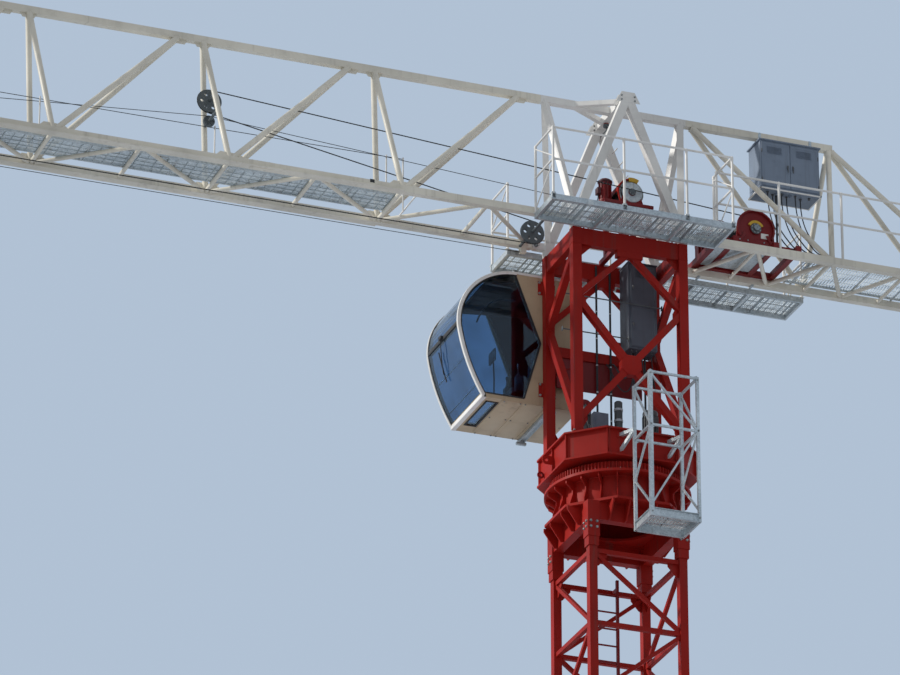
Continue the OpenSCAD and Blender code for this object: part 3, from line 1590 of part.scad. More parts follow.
// Rope wheels of the jib on their axles, and the rope's anchor at the tip
module rope_sheaves() {
  anchor_w = 80;
  foot = [jib_node_x(2), jib_y, chord_z];
  color("slategray") upper() {
    difference() {
      for (c = [guide_c, roller_c])
        cross_pin([c[0], 0, c[1]], axle_d, 2 * jib_y);
      both_sides() {
        tube(foot, [foot[0] - post_lean, 0, top_chord_z], jib_tube_d);
        translate([foot[0] - jib_bay / 2, 0, 0]) rotate([atan(jib_y / jib_h), 0, 0])
          translate([0, jib_y * cos(atan(jib_y / jib_h)) + chord_z * sin(atan(jib_y / jib_h)), 0])
            cube([jib_bay, jib_y, 2 * top_chord_z]);
      }
    }
    for (c = [guide_c, root_c])
      translate([c[0], 0, c[1]]) rope_wheel(sheave_d, sheave_t, hoist_rope_d);
    translate([roller_c[0], roller_y, roller_c[1]])
      rope_wheel(roller_d, sheave_t, trolley_rope_d);
    cross_pin([root_c[0], 0, root_c[1]], axle_d, 2 * jib_y - chord_s);
    translate([tip_c[0], tip_y, tip_c[1]]) rope_wheel(sheave_d, sheave_t, trolley_rope_d);
    block([tip_c[0] - axle_d / 2, tip_y - sheave_t, tip_c[1] - axle_d / 2],
      [tip_c[0] + axle_d / 2, jib_y - chord_s / 2, tip_c[1] + axle_d / 2]);
    block([tip_anchor_x - anchor_w / 2, -anchor_w / 2, sheave_z + sheave_r - anchor_w / 2],
      [tip_anchor_x + anchor_w / 2, anchor_w / 2, chord_z - bottom_tube_d / 2]);
  }
}

// Angle at which a line from p touches a circle, before or after the line to its centre
function touch_angle(c, r, p, side) = atan2(p[1] - c[1], p[0] - c[0]) + side * acos(r / norm(p - c));

function on_circle(c, r, a) = c + r * [cos(a), sin(a)];

// Points round a wheel from angle a0 to a1 at y, whose straight lines lie outside the circle
function wrap(c, r, a0, a1, y, steps) = [
  for (i = [0 : steps])
    let (p = on_circle(c, r / cos((a1 - a0) / steps / 2), a0 + (a1 - a0) * i / steps))
    [p[0], y, p[1]]
];

// The same angle as a, at or after the angle start
function turned_to(a, start) = start + ((a - start) % 360 + 360) % 360;

// A rope of the given diameter swept along points, flat at both ends
module swept_rope(points, d) {
  sides = 8;
  count = len(points);
  rings = [
    for (i = [0 : count - 1])
      let (
        along = unit(points[min(i + 1, count - 1)] - points[max(i - 1, 0)]),
        across = unit(cross(along, [0, 1, 0])),
        other = cross(along, across)
      )
      for (k = [0 : sides - 1])
        points[i] + d / 2 * (across * cos(360 * k / sides) + other * sin(360 * k / sides))
  ];
  walls = [
    for (i = [0 : count - 2])
      for (k = [0 : sides - 1])
        let (m = (k + 1) % sides)
        [i * sides + k, (i + 1) * sides + k, (i + 1) * sides + m, i * sides + m]
  ];
  first = [for (k = [0 : sides - 1]) k];
  last = [for (k = [sides - 1 : -1 : 0]) (count - 1) * sides + k];
  polyhedron(points = rings, faces = concat(walls, [first, last]));
}

rope_off_drum = 5;

module hoist_rope() {
  drum_y = -350;
  drum_point = [hoist_x, hoist_z + hoist_drum_r + rope_off_drum + hoist_rope_d / 2];
  front_c = [-trolley_x + sheave_d, sheave_z];
  rear_c = [-trolley_x - sheave_d, sheave_z];
  hook_c = [-trolley_x, hook_sheave_z];
  from_guide = (guide_c + root_c) / 2;
  from_root = (root_c + front_c) / 2;
  anchor = [tip_anchor_x + 40, sheave_z + sheave_r];
  color([0.12, 0.12, 0.12]) upper()
    swept_rope(concat(
      [[drum_point[0], drum_y, drum_point[1]]],
      wrap(guide_c, sheave_r, touch_angle(guide_c, sheave_r, drum_point, 1),
        turned_to(touch_angle(guide_c, sheave_r, from_guide, -1), 0), 0, 10),
      wrap(root_c, sheave_r, turned_to(touch_angle(root_c, sheave_r, from_guide, -1), 0),
        turned_to(touch_angle(root_c, sheave_r, from_root, 1), -180), 0, 10),
      wrap(front_c, sheave_r, touch_angle(front_c, sheave_r, from_root, 1), 180, 0, 6),
      wrap(hook_c, sheave_r, 0, -180, 0, 10),
      wrap(rear_c, sheave_r, 0, turned_to(touch_angle(rear_c, sheave_r, anchor, -1), 0), 0, 6),
      [[anchor[0], 0, anchor[1]]]
    ), hoist_rope_d);
}

module trolley_rope() {
  drum_point = [trolley_drum_x, drum_z - trolley_drum_r - rope_off_drum - trolley_rope_d / 2];
  roller_top = roller_c + [0, roller_d / 2 + groove_gap];
  drum_y = trolley_drum_l / 2 - 30;
  return_z = turret_h + 30;
  anchor_x = -jib_root - lug_reach - 200;
  lug_x = 0.46 * trolley_l + 40;
  color([0.12, 0.12, 0.12]) upper() {
    swept_rope(concat(
      [[drum_point[0], drum_y, drum_point[1]], [roller_top[0], roller_y, roller_top[1]]],
      wrap(tip_c, sheave_r, touch_angle(tip_c, sheave_r, roller_top, 1), 270, tip_y, 10),
      [[-trolley_x - lug_x, jib_y, return_z]]
    ), trolley_rope_d);
    swept_rope([[-trolley_x + lug_x, jib_y, return_z], [anchor_x, jib_y, return_z]], trolley_rope_d);
  }
}

base_frame();
mast_legs();
mast_near_lattice();
mast_far_lattice();
mast_left_lattice();
mast_right_lattice();
mast_ladder();
slewing_support();
slewing_frame();
slewing_motors();
turret_frame();
turret_near_bracing();
turret_far_bracing();
turret_side_bracing();
access_cage();
cab_body();
cab_front_glass();
cab_side_glass();
cab_guard_bars();
near_platform();
near_guard_rail();
far_walkway();
far_guard_rail();
a_frames();
jib_top_chord();
jib_bottom_chords();
jib_near_lattice();
jib_far_lattice();
jib_bottom_lattice();
jib_walkway();
counter_jib_chords();
counter_jib_lattice();
counter_jib_rail();
counterweights();
hoist_winch_frame();
hoist_drum();
hoist_motor();
trolley_winch();
trolley_drum();
electrical_cabinet();
control_cabinet();
power_cables();
jib_trolley();
hook_block();
rope_sheaves();
hoist_rope();
trolley_rope();
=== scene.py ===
import math

import bmesh
import bpy
from mathutils import Matrix, Vector


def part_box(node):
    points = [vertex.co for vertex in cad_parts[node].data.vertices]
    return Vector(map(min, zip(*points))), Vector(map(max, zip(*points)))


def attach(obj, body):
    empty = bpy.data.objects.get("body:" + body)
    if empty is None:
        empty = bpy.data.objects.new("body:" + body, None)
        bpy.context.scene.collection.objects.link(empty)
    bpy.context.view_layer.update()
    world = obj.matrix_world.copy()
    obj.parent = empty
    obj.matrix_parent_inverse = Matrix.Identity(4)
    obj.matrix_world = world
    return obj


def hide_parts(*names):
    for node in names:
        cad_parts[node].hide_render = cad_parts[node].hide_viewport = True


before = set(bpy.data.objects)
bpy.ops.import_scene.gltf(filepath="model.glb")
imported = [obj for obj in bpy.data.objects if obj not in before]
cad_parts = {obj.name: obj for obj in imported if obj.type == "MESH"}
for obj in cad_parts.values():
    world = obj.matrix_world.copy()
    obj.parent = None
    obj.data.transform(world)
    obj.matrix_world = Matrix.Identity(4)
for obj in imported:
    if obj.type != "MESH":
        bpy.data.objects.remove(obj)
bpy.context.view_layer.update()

bl_info = {
    "name": "Tower crane dressing",
    "version": (1, 0, 0),
    "blender": (4, 5, 0),
    "location": "View3D > Sidebar > Tower crane",
    "description": "Finishes and small parts for the packed tower crane, with its camera and studio",
    "category": "Object",
}

FIXED = "fixed_tower"
TURNING = "slewing_part"
HOIST_BODY = "hoist_drum_body"
TROLLEY_BODY = "trolley_drum_body"

# Places that the frame gives, in metres
SLEW_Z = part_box("turret_frame")[0].z
TURRET_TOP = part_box("turret_frame")[1].z
CHORD_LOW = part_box("counter_jib_chords")[0].z
TOP_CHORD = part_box("jib_top_chord")
CHORD = TOP_CHORD[1].z - TOP_CHORD[0].z
CHORD_Z = CHORD_LOW + CHORD / 2
CHORD_TOP = CHORD_LOW + CHORD
TOP_CHORD_Z = (TOP_CHORD[0].z + TOP_CHORD[1].z) / 2
POST = 0.16
POST_X = 0.965
POST_Y = 0.625
JIB_BAY = 3.05
JIB_BAYS = 6
POST_LEAN = 0.3
DIAGONAL_REACH = 2.33
MAST_W = 1.6
MAST_FOOT = 0.34
BAY = 3.0
BAYS = 6


# ---- Modelling by hand's steps -------------------------------------------------


def deselect():
    """Leaves object mode with nothing selected."""
    if bpy.context.object and bpy.context.object.mode != "OBJECT":
        bpy.ops.object.mode_set(mode="OBJECT")
    bpy.ops.object.select_all(action="DESELECT")


def apply_place():
    """Puts the active object's place, turn and size into its mesh."""
    bpy.ops.object.transform_apply(location=True, rotation=True, scale=True)
    return bpy.context.object


def editing(obj):
    """Opens a mesh in edit mode, alone, with everything selected."""
    deselect()
    obj.select_set(True)
    bpy.context.view_layer.objects.active = obj
    bpy.ops.object.mode_set(mode="EDIT")
    bpy.ops.mesh.select_mode(type="FACE")
    bpy.ops.mesh.select_all(action="SELECT")


def pick_faces(test):
    """Selects, in edit mode, the faces whose centre and normal pass the test."""
    bpy.ops.mesh.select_mode(type="FACE")
    mesh = bmesh.from_edit_mesh(bpy.context.object.data)
    for face in mesh.faces:
        face.select = bool(test(face.calc_center_median(), face.normal))
    mesh.select_flush_mode()
    bmesh.update_edit_mesh(bpy.context.object.data)


def done():
    """Closes edit mode and returns the object."""
    bpy.ops.object.mode_set(mode="OBJECT")
    return bpy.context.object


def tidy(obj):
    """Merges doubled points and turns all faces outwards."""
    editing(obj)
    bpy.ops.mesh.remove_doubles(threshold=0.00001)
    bpy.ops.mesh.normals_make_consistent(inside=False)
    return done()


def bevelled(obj, width, segments=2):
    """Rounds every edge that turns by more than 30 degrees, with an applied modifier."""
    deselect()
    obj.select_set(True)
    bpy.context.view_layer.objects.active = obj
    soft = obj.modifiers.new("soft edges", "BEVEL")
    soft.width = width
    soft.segments = segments
    soft.limit_method = "ANGLE"
    bpy.ops.object.modifier_apply(modifier=soft.name)
    return obj


def slab(low, high, edge=0.0):
    """A block between two corners, with rounded edges."""
    low, high = Vector(low), Vector(high)
    deselect()
    bpy.ops.mesh.primitive_cube_add(size=1, location=(low + high) / 2, scale=high - low)
    obj = apply_place()
    return bevelled(obj, edge) if edge else obj


def turn_to(direction):
    """The rotation that takes +Z to a direction."""
    return Vector(direction).normalized().to_track_quat("Z", "Y")


def rod(start, end, radius, sides=16, edge=0.0):
    """A round bar between two points, with rounded rims."""
    start, end = Vector(start), Vector(end)
    along = end - start
    deselect()
    bpy.ops.mesh.primitive_cylinder_add(
        vertices=sides, radius=radius, depth=along.length, location=(start + end) / 2,
        rotation=turn_to(along).to_euler())
    obj = apply_place()
    return bevelled(obj, edge, 1) if edge else obj


def square_bar(start, end, width, depth=None, edge=0.0):
    """A square or flat bar between two points, its depth in the plane that holds Z."""
    start, end = Vector(start), Vector(end)
    along = end - start
    deselect()
    bpy.ops.mesh.primitive_cube_add(
        size=1, location=(start + end) / 2, rotation=along.to_track_quat("X", "Z").to_euler(),
        scale=(along.length, width, depth or width))
    obj = apply_place()
    return bevelled(obj, edge) if edge else obj


def turned(profile, centre, axis, steps=32):
    """A round form: a profile of (radius, height) points spun about an axis through the centre."""
    mesh = bpy.data.meshes.new("profile")
    mesh.from_pydata([(r, 0, z) for r, z in profile], [(i, i + 1) for i in range(len(profile) - 1)], [])
    obj = bpy.data.objects.new("profile", mesh)
    bpy.context.scene.collection.objects.link(obj)
    editing(obj)
    bpy.ops.mesh.select_mode(type="VERT")
    bpy.ops.mesh.select_all(action="SELECT")
    bpy.ops.mesh.spin(steps=steps, angle=math.tau, center=(0, 0, 0), axis=(0, 0, 1))
    done()
    obj.data.transform(Matrix.Translation(centre) @ turn_to(axis).to_matrix().to_4x4())
    return tidy(obj)


def plate(points, low, high, plane="XZ", edge=0.0):
    """A flat plate: an outline in XZ or YZ, extruded from low to high on the third axis."""
    place = {"XZ": lambda u, v, w: (u, w, v), "YZ": lambda u, v, w: (w, u, v)}[plane]
    mesh = bpy.data.meshes.new("outline")
    mesh.from_pydata([place(u, v, low) for u, v in points], [], [list(range(len(points)))])
    obj = bpy.data.objects.new("outline", mesh)
    bpy.context.scene.collection.objects.link(obj)
    editing(obj)
    shift = Vector(place(0, 0, high)) - Vector(place(0, 0, low))
    bpy.ops.mesh.extrude_region_move(TRANSFORM_OT_translate={"value": shift})
    bpy.ops.mesh.select_all(action="SELECT")
    bpy.ops.mesh.normals_make_consistent(inside=False)
    done()
    return bevelled(obj, edge) if edge else obj


def pipe(points, radius, sides=10, smooth=True):
    """A round tube along points, as a mesh with closed ends."""
    curve = bpy.data.curves.new("run", "CURVE")
    curve.dimensions = "3D"
    spline = curve.splines.new("NURBS" if smooth else "POLY")
    spline.points.add(len(points) - 1)
    for point, place in zip(spline.points, points):
        point.co = (*place, 1)
    if smooth:
        spline.order_u = 4
        spline.use_endpoint_u = True
        spline.resolution_u = 4
    curve.bevel_depth = radius
    curve.bevel_resolution = max(0, sides // 4 - 1)
    curve.use_fill_caps = True
    obj = bpy.data.objects.new("run", curve)
    bpy.context.scene.collection.objects.link(obj)
    deselect()
    obj.select_set(True)
    bpy.context.view_layer.objects.active = obj
    bpy.ops.object.convert(target="MESH")
    return bpy.context.object


def joined(objs):
    """Makes one object of several."""
    deselect()
    for obj in objs:
        obj.select_set(True)
    bpy.context.view_layer.objects.active = objs[0]
    if len(objs) > 1:
        bpy.ops.object.join()
    return bpy.context.object


def copies(pattern, places):
    """Copies of a modelled piece, each with its own mesh at its own place, joined; the pattern goes."""
    made = []
    for place in places:
        twin = bpy.data.objects.new("copy", pattern.data.copy())
        twin.data.transform(place)
        if place.determinant() < 0:
            twin.data.flip_normals()
        bpy.context.scene.collection.objects.link(twin)
        made.append(twin)
    bpy.data.objects.remove(pattern)
    return joined(made)


def at(point, facing=(0, 0, 1), turn=0.0):
    """The place of a copy: moved to a point, its +Z turned to a direction."""
    return Matrix.Translation(point) @ turn_to(facing).to_matrix().to_4x4() @ Matrix.Rotation(turn, 4, "Z")


def give(obj, name, body, finish, sharp=40):
    """Names a finished piece, gives it its finish and lets it ride on a body."""
    obj.name = name
    obj.data.name = name
    obj.data.materials.clear()
    obj.data.materials.append(FINISHES[finish][0])
    deselect()
    obj.select_set(True)
    bpy.context.view_layer.objects.active = obj
    bpy.ops.object.shade_smooth_by_angle(angle=math.radians(sharp))
    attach(obj, body)
    return obj


def hex_bolt(size):
    """A bolt head on a washer, upright on the origin, as wide as size across its flats."""
    deselect()
    bpy.ops.mesh.primitive_cylinder_add(vertices=12, radius=0.68 * size, depth=0.14 * size,
        location=(0, 0, 0.07 * size))
    washer = apply_place()
    bpy.ops.mesh.primitive_cylinder_add(vertices=6, radius=0.577 * size, depth=0.5 * size,
        location=(0, 0, 0.39 * size))
    head = apply_place()
    editing(head)
    pick_faces(lambda c, n: n.z > 0.9)
    bpy.ops.mesh.inset(thickness=0.09 * size)
    bpy.ops.transform.translate(value=(0, 0, 0.06 * size))
    done()
    return joined([head, washer])


def bolts(size, places):
    """Bolt heads at places given as (point, facing)."""
    return copies(hex_bolt(size), [at(point, facing, 0.4 * i) for i, (point, facing) in enumerate(places)])


# ---- Finishes ------------------------------------------------------------------


class Value:
    """A shader socket. Each operator on it adds the Math node that works it out."""

    def __init__(self, finish, socket):
        self.finish = finish
        self.socket = socket

    def maths(self, operation, *values):
        return self.finish.node("ShaderNodeMath", {"operation": operation}, dict(enumerate(values)))

    def __add__(self, other):
        return self.maths("ADD", self, other)

    def __radd__(self, other):
        return self.maths("ADD", other, self)

    def __sub__(self, other):
        return self.maths("SUBTRACT", self, other)

    def __rsub__(self, other):
        return self.maths("SUBTRACT", other, self)

    def __mul__(self, other):
        return self.maths("MULTIPLY", self, other)

    def __rmul__(self, other):
        return self.maths("MULTIPLY", other, self)

    def between(self, low, high):
        """Zero below low, one above high, with a soft step between them."""
        return self.finish.node("ShaderNodeMapRange", {"interpolation_type": "SMOOTHSTEP"},
                                {"Value": self, "From Min": low, "From Max": high})


class Finish:
    """A material in the making, with one Principled surface."""

    def __init__(self, name):
        self.material = bpy.data.materials.new(name)
        self.material.use_nodes = True
        self.tree = self.material.node_tree
        self.tree.nodes.clear()
        self.surface = self.tree.nodes.new("ShaderNodeBsdfPrincipled")
        out = self.tree.nodes.new("ShaderNodeOutputMaterial")
        self.tree.links.new(self.surface.outputs[0], out.inputs["Surface"])
        self.place = self.node("ShaderNodeTexCoord", output="Object")
        facing = self.node("ShaderNodeTexCoord", output="Normal")
        self.up = self.node("ShaderNodeSeparateXYZ", inputs={0: facing}, output="Z")

    def node(self, kind, settings=None, inputs=None, output=0):
        """Adds a node: its settings first, then the values or links of its sockets."""
        made = self.tree.nodes.new(kind)
        for name, value in (settings or {}).items():
            setattr(made, name, value)
        for name, value in (inputs or {}).items():
            if isinstance(value, Value):
                self.tree.links.new(value.socket, made.inputs[name])
            else:
                made.inputs[name].default_value = value
        return Value(self, made.outputs[output])

    def set(self, **sockets):
        """Links or sets sockets of the surface, their names written with low lines."""
        for name, value in sockets.items():
            socket = self.surface.inputs[name.replace("_", " ").title().replace("Ior", "IOR")]
            if isinstance(value, Value):
                self.tree.links.new(value.socket, socket)
            else:
                socket.default_value = value

    def mix(self, first, second, factor, blend="MIX"):
        """A mix of two colours."""
        return self.node("ShaderNodeMix", {"data_type": "RGBA", "blend_type": blend},
                         {0: factor, 6: rgba(first), 7: rgba(second)}, output=2)

    def stretched(self, sizes):
        return self.node("ShaderNodeVectorMath", {"operation": "MULTIPLY"}, {0: self.place, 1: sizes})

    def noise(self, scale, detail=3.0, sizes=None, roughness=0.55):
        """Noise on the piece's own coordinates, in cells of 1/scale metres."""
        return self.node("ShaderNodeTexNoise", None, {
            "Vector": self.stretched(sizes) if sizes else self.place, "Scale": scale, "Detail": detail,
            "Roughness": roughness})

    def bump(self, height, distance, strength=1.0):
        self.set(normal=self.node("ShaderNodeBump", None, {
            "Height": height, "Distance": distance, "Strength": strength}))


def rgba(colour):
    """A colour of three numbers with its fourth."""
    return colour if isinstance(colour, Value) or len(colour) == 4 else (*colour, 1.0)


def toned(colour, factor):
    return tuple(c * factor for c in colour[:3])


def painted(name, colour, rough=0.4, chips=0.66, dirt=0.3, streaks=0.4, under=(0.12, 0.055, 0.035), coat=0.12,
        gloss=0.4):
    """Weathered gloss paint on steel: faded fields, runs of dirt, dust on top, chips down to rust."""
    paint = Finish(name)
    cloud = paint.noise(0.55, 4)
    field = paint.noise(3.2, 3)
    base = paint.mix(toned(colour, 0.84), toned(colour, 1.13), cloud.between(0.32, 0.68))
    base = paint.mix(base, toned(colour, 0.72), field.between(0.52, 0.78) * 0.5)
    run = paint.noise(1.0, 4, sizes=(11, 11, 0.55)).between(0.5, 0.74) * paint.noise(0.9, 2).between(0.35,
        0.62)
    base = paint.mix(base, (0.075, 0.06, 0.05), run * streaks)
    dust = paint.up.between(0.55, 0.95) * paint.noise(5, 4).between(0.3, 0.7)
    base = paint.mix(base, (0.34, 0.31, 0.27), dust * dirt)
    chip = paint.noise(26, 6, roughness=0.7).between(chips, chips + 0.025) * paint.noise(1.7, 2).between(0.5,
        0.6)
    base = paint.mix(base, under, chip)
    grain = paint.noise(160, 2)
    paint.set(base_color=base, roughness=rough + 0.22 * field + 0.25 * dust + 0.3 * chip,
              metallic=0.0, coat_weight=coat * (1 - chip), coat_roughness=0.22,
              specular_ior_level=gloss)
    paint.bump(grain * 0.12 + field * 0.25 - chip * 0.6, 0.003, 0.5)
    return paint.material


def galvanised(name, bright=1.0, patch=0.5):
    """Zinc with its crystal spangle, dull fields and pale bloom."""
    zinc = Finish(name)
    cells = zinc.node("ShaderNodeTexVoronoi", {"feature": "F1"}, {"Vector": zinc.place, "Scale": 38.0},
        output="Color")
    tone = zinc.node("ShaderNodeSeparateColor", inputs={0: cells})
    cloud = zinc.noise(1.3, 4)
    base = zinc.mix(toned((0.30, 0.33, 0.34), bright), toned((0.50, 0.53, 0.54), bright),
                    tone * 0.55 + cloud.between(0.3, 0.7) * 0.45)
    bloom = zinc.noise(7, 5).between(0.56, 0.7) * patch
    base = zinc.mix(base, toned((0.62, 0.63, 0.62), bright), bloom)
    stain = zinc.noise(1.0, 4, sizes=(13, 13, 0.8)).between(0.56, 0.78) * 0.45
    base = zinc.mix(base, (0.13, 0.10, 0.075), stain)
    zinc.set(base_color=base, metallic=0.55 - 0.35 * bloom, roughness=0.42 + 0.2 * cloud + 0.2 * bloom)
    zinc.bump(tone * 0.3 + cloud, 0.002, 0.35)
    return zinc.material


def bare_steel(name, colour=(0.30, 0.31, 0.30), rough=0.34, grease=0.5, metallic=0.85):
    """Machined steel, worn bright in places and greased in others."""
    steel = Finish(name)
    cloud = steel.noise(4.5, 4)
    base = steel.mix(toned(colour, 0.7), toned(colour, 1.35), cloud.between(0.3, 0.7))
    oil = steel.noise(9, 5).between(0.5, 0.64) * grease
    base = steel.mix(base, (0.045, 0.036, 0.026), oil)
    rust = steel.noise(17, 6).between(0.62, 0.7) * 0.5
    base = steel.mix(base, (0.17, 0.065, 0.03), rust)
    steel.set(base_color=base, metallic=metallic * (1 - rust),
        roughness=rough + 0.2 * cloud + 0.3 * rust - 0.1 * oil)
    steel.bump(steel.noise(90, 3) + cloud, 0.0015, 0.4)
    return steel.material


def rubber(name, colour=(0.022, 0.022, 0.024), rough=0.55):
    """Black rubber or cable jacket with dust in its grain."""
    jacket = Finish(name)
    dust = jacket.noise(8, 5).between(0.45, 0.75)
    jacket.set(base_color=jacket.mix(colour, toned(colour, 3.2), dust * 0.6), roughness=rough + 0.25 * dust)
    jacket.bump(jacket.noise(240, 2), 0.0006, 0.4)
    return jacket.material


def wire_rope(name, lay=0.05):
    """Greased wire rope with the bands of its lay."""
    rope = Finish(name)
    x = rope.node("ShaderNodeVectorMath", {"operation": "DOT_PRODUCT"},
                  {0: rope.place, 1: (1.0, 0.85, 1.0)}, output="Value")
    band = x.maths("SINE", x * (math.tau / lay)) * 0.5 + 0.5
    base = rope.mix((0.012, 0.012, 0.013), (0.12, 0.118, 0.11), band.between(0.35, 0.9))
    base = rope.mix(base, (0.05, 0.03, 0.018), rope.noise(6, 3).between(0.5, 0.7) * 0.6)
    rope.set(base_color=base, metallic=0.5, roughness=0.42 + 0.2 * band)
    rope.bump(band, 0.004, 0.6)
    return rope.material


def concrete(name):
    """Cast concrete with pores and damp runs."""
    cast = Finish(name)
    cloud = cast.noise(1.6, 5)
    base = cast.mix((0.30, 0.29, 0.27), (0.50, 0.485, 0.455), cloud.between(0.28, 0.72))
    pores = cast.noise(70, 3).between(0.66, 0.7)
    runs = cast.noise(1.0, 4, sizes=(8, 8, 0.5)).between(0.5, 0.72) * 0.5
    base = cast.mix(cast.mix(base, (0.12, 0.115, 0.105), pores), (0.16, 0.15, 0.13), runs)
    cast.set(base_color=base, roughness=0.86 - 0.12 * runs)
    cast.bump(cloud * 0.4 + cast.noise(28, 5) * 0.5 - pores, 0.006, 0.6)
    return cast.material


def tinted_glass(name, colour, clear=1.0, rough=0.02):
    """Tinted glass with faint dust and rain marks."""
    pane = Finish(name)
    marks = pane.noise(1.0, 5, sizes=(9, 9, 0.8)).between(0.45, 0.8)
    dust = pane.noise(2.2, 5).between(0.4, 0.75)
    pane.set(base_color=pane.mix(colour, toned(colour, 0.8), dust), roughness=rough + 0.05 * marks * dust,
             transmission_weight=clear, ior=1.45)
    pane.bump(pane.noise(1.6, 1), 0.004, 0.12)
    return pane.material


def plastic(name, colour, rough=0.45, grain=140):
    """Moulded plastic or vinyl with a fine grain and scuffs."""
    shell = Finish(name)
    scuff = shell.noise(11, 5).between(0.55, 0.75)
    base = shell.mix(colour, toned(colour, 1.5), scuff * 0.4)
    base = shell.mix(base, toned(colour, 0.6), shell.noise(2.1, 3).between(0.5, 0.8) * 0.5)
    shell.set(base_color=base, roughness=rough + 0.25 * scuff)
    shell.bump(shell.noise(grain, 2), 0.0012, 0.5)
    return shell.material


def lamp_lens(name, colour):
    """A ribbed coloured lens."""
    lens = Finish(name)
    z = lens.node("ShaderNodeSeparateXYZ", inputs={0: lens.place}, output="Z")
    rib = z.maths("SINE", z * 700.0) * 0.5 + 0.5
    lens.set(base_color=lens.mix(colour, toned(colour, 0.5), rib), roughness=0.2 + 0.1 * rib,
             transmission_weight=0.35, ior=1.49)
    lens.bump(rib, 0.001, 0.6)
    return lens.material


def striped(name, first, second, width, slope=(1.0, 0.0, 1.0)):
    """Two painted colours in slanting bands, as on guards and edges."""
    paint = Finish(name)
    run = paint.node("ShaderNodeVectorMath", {"operation": "DOT_PRODUCT"}, {0: paint.place, 1: slope},
        output="Value")
    band = run.maths("SINE", run * (math.pi / width)).between(-0.03, 0.03)
    wear = paint.noise(30, 6).between(0.62, 0.68)
    base = paint.mix(paint.mix(first, second, band), (0.13, 0.07, 0.04), wear)
    base = paint.mix(base, (0.1, 0.085, 0.07), paint.noise(2.4, 4).between(0.45, 0.75) * 0.35)
    paint.set(base_color=base, roughness=0.42 + 0.3 * wear, coat_weight=0.1)
    paint.bump(paint.noise(150, 2) - wear, 0.002, 0.4)
    return paint.material


RED = (0.36, 0.011, 0.006)
DEEP_RED = (0.21, 0.009, 0.010)
MAROON = (0.075, 0.010, 0.014)
CREAM = (0.83, 0.79, 0.69)
WHITE = (0.85, 0.84, 0.82)
YELLOW = (0.70, 0.42, 0.035)
MACHINE = (0.11, 0.13, 0.14)
# The control cabinet's colour is PALE_CABINET's blue-grey at about half its brightness: painted shade for its
# place inside the turret, where the outer cabinet hangs in the open.
CABINET_PAINTED_SHADE = (0.10, 0.118, 0.15)
PALE_CABINET = (0.19, 0.235, 0.31)
CAB = (0.52, 0.41, 0.27)
GLASS = (0.26, 0.41, 0.58)
BLACK = (0.018, 0.018, 0.02)


def make_finishes(looks):
    """All finishes: the material and the record's slot that it belongs to."""
    red, cream = tuple(looks.red), tuple(looks.cream)
    return {
        "red": (painted("red_paint", red, rough=0.46, dirt=0.14, coat=0.02, gloss=0.2), "red_steel"),
        "deep_red": (painted("deep_red_paint", DEEP_RED, rough=0.38, coat=0.05, gloss=0.3), "dark_red"),
        "cream": (painted("cream_paint", cream, chips=0.69, streaks=0.2, dirt=0.14), "cream_steel"),
        "white": (painted("white_paint", WHITE, chips=0.7, streaks=0.14, dirt=0.12), "white_steel"),
        "yellow": (painted("yellow_paint", YELLOW, chips=0.64), "yellow_steel"),
        "machine": (painted("machine_paint", MACHINE, rough=0.42, under=(0.2, 0.19, 0.18)), "grey_machine"),
        # The control cabinet's finish: its darker colour is painted shade.
        "cabinet": (painted("cabinet_coat_painted_shade", CABINET_PAINTED_SHADE, rough=0.5, chips=0.7, streaks=0.3), "cabinet_grey"),
        "pale_cabinet": (painted("outer_cabinet_coat", PALE_CABINET, rough=0.5, chips=0.7, streaks=0.3),
        "cabinet_grey"),
        "maroon": (painted("motor_maroon", MAROON, rough=0.4), "dark_red"),
        "cab": (painted("cab_panel_coat", CAB, rough=0.46, chips=0.71, streaks=0.3, dirt=0.3), "cab_panel"),
        "zinc": (galvanised("galvanised", 1.3), "galvanised"),
        "bright_zinc": (galvanised("bright_galvanised", 1.5, 0.3), "galvanised"),
        "steel": (bare_steel("worn_steel"), "drum_steel"),
        "greased": (bare_steel("greased_steel", (0.21, 0.22, 0.20), 0.3, 0.95), "drum_steel"),
        "bolt": (bare_steel("bolt_steel", (0.36, 0.36, 0.34), 0.4, 0.2, 0.7), "galvanised"),
        "rope": (wire_rope("wire_rope"), "wire_rope"),
        "fine_rope": (wire_rope("fine_wire_rope", 0.032), "wire_rope"),
        "cable": (rubber("cable_jacket"), "black_cable"),
        "rubber": (rubber("rubber_seal", (0.03, 0.03, 0.032), 0.7), "black_cable"),
        "concrete": (concrete("cast_concrete"), "concrete"),
        "glass": (tinted_glass("cab_glass", tuple(looks.glass)), "cab_glass"),
        "lining": (plastic("cab_lining", (0.03, 0.034, 0.036), 0.6), "cab_panel"),
        "seat": (plastic("seat_vinyl", (0.028, 0.03, 0.036), 0.55, 320), "cab_panel"),
        "console": (plastic("console_plastic", (0.10, 0.105, 0.11)), "cab_panel"),
        "signal": (lamp_lens("signal_lens", (0.7, 0.06, 0.03)), "red_steel"),
        "lamp": (lamp_lens("flood_lens", (0.75, 0.77, 0.78)), "white_steel"),
        "hazard": (striped("hazard_bands", YELLOW, BLACK, 0.075), "yellow_steel"),
    }


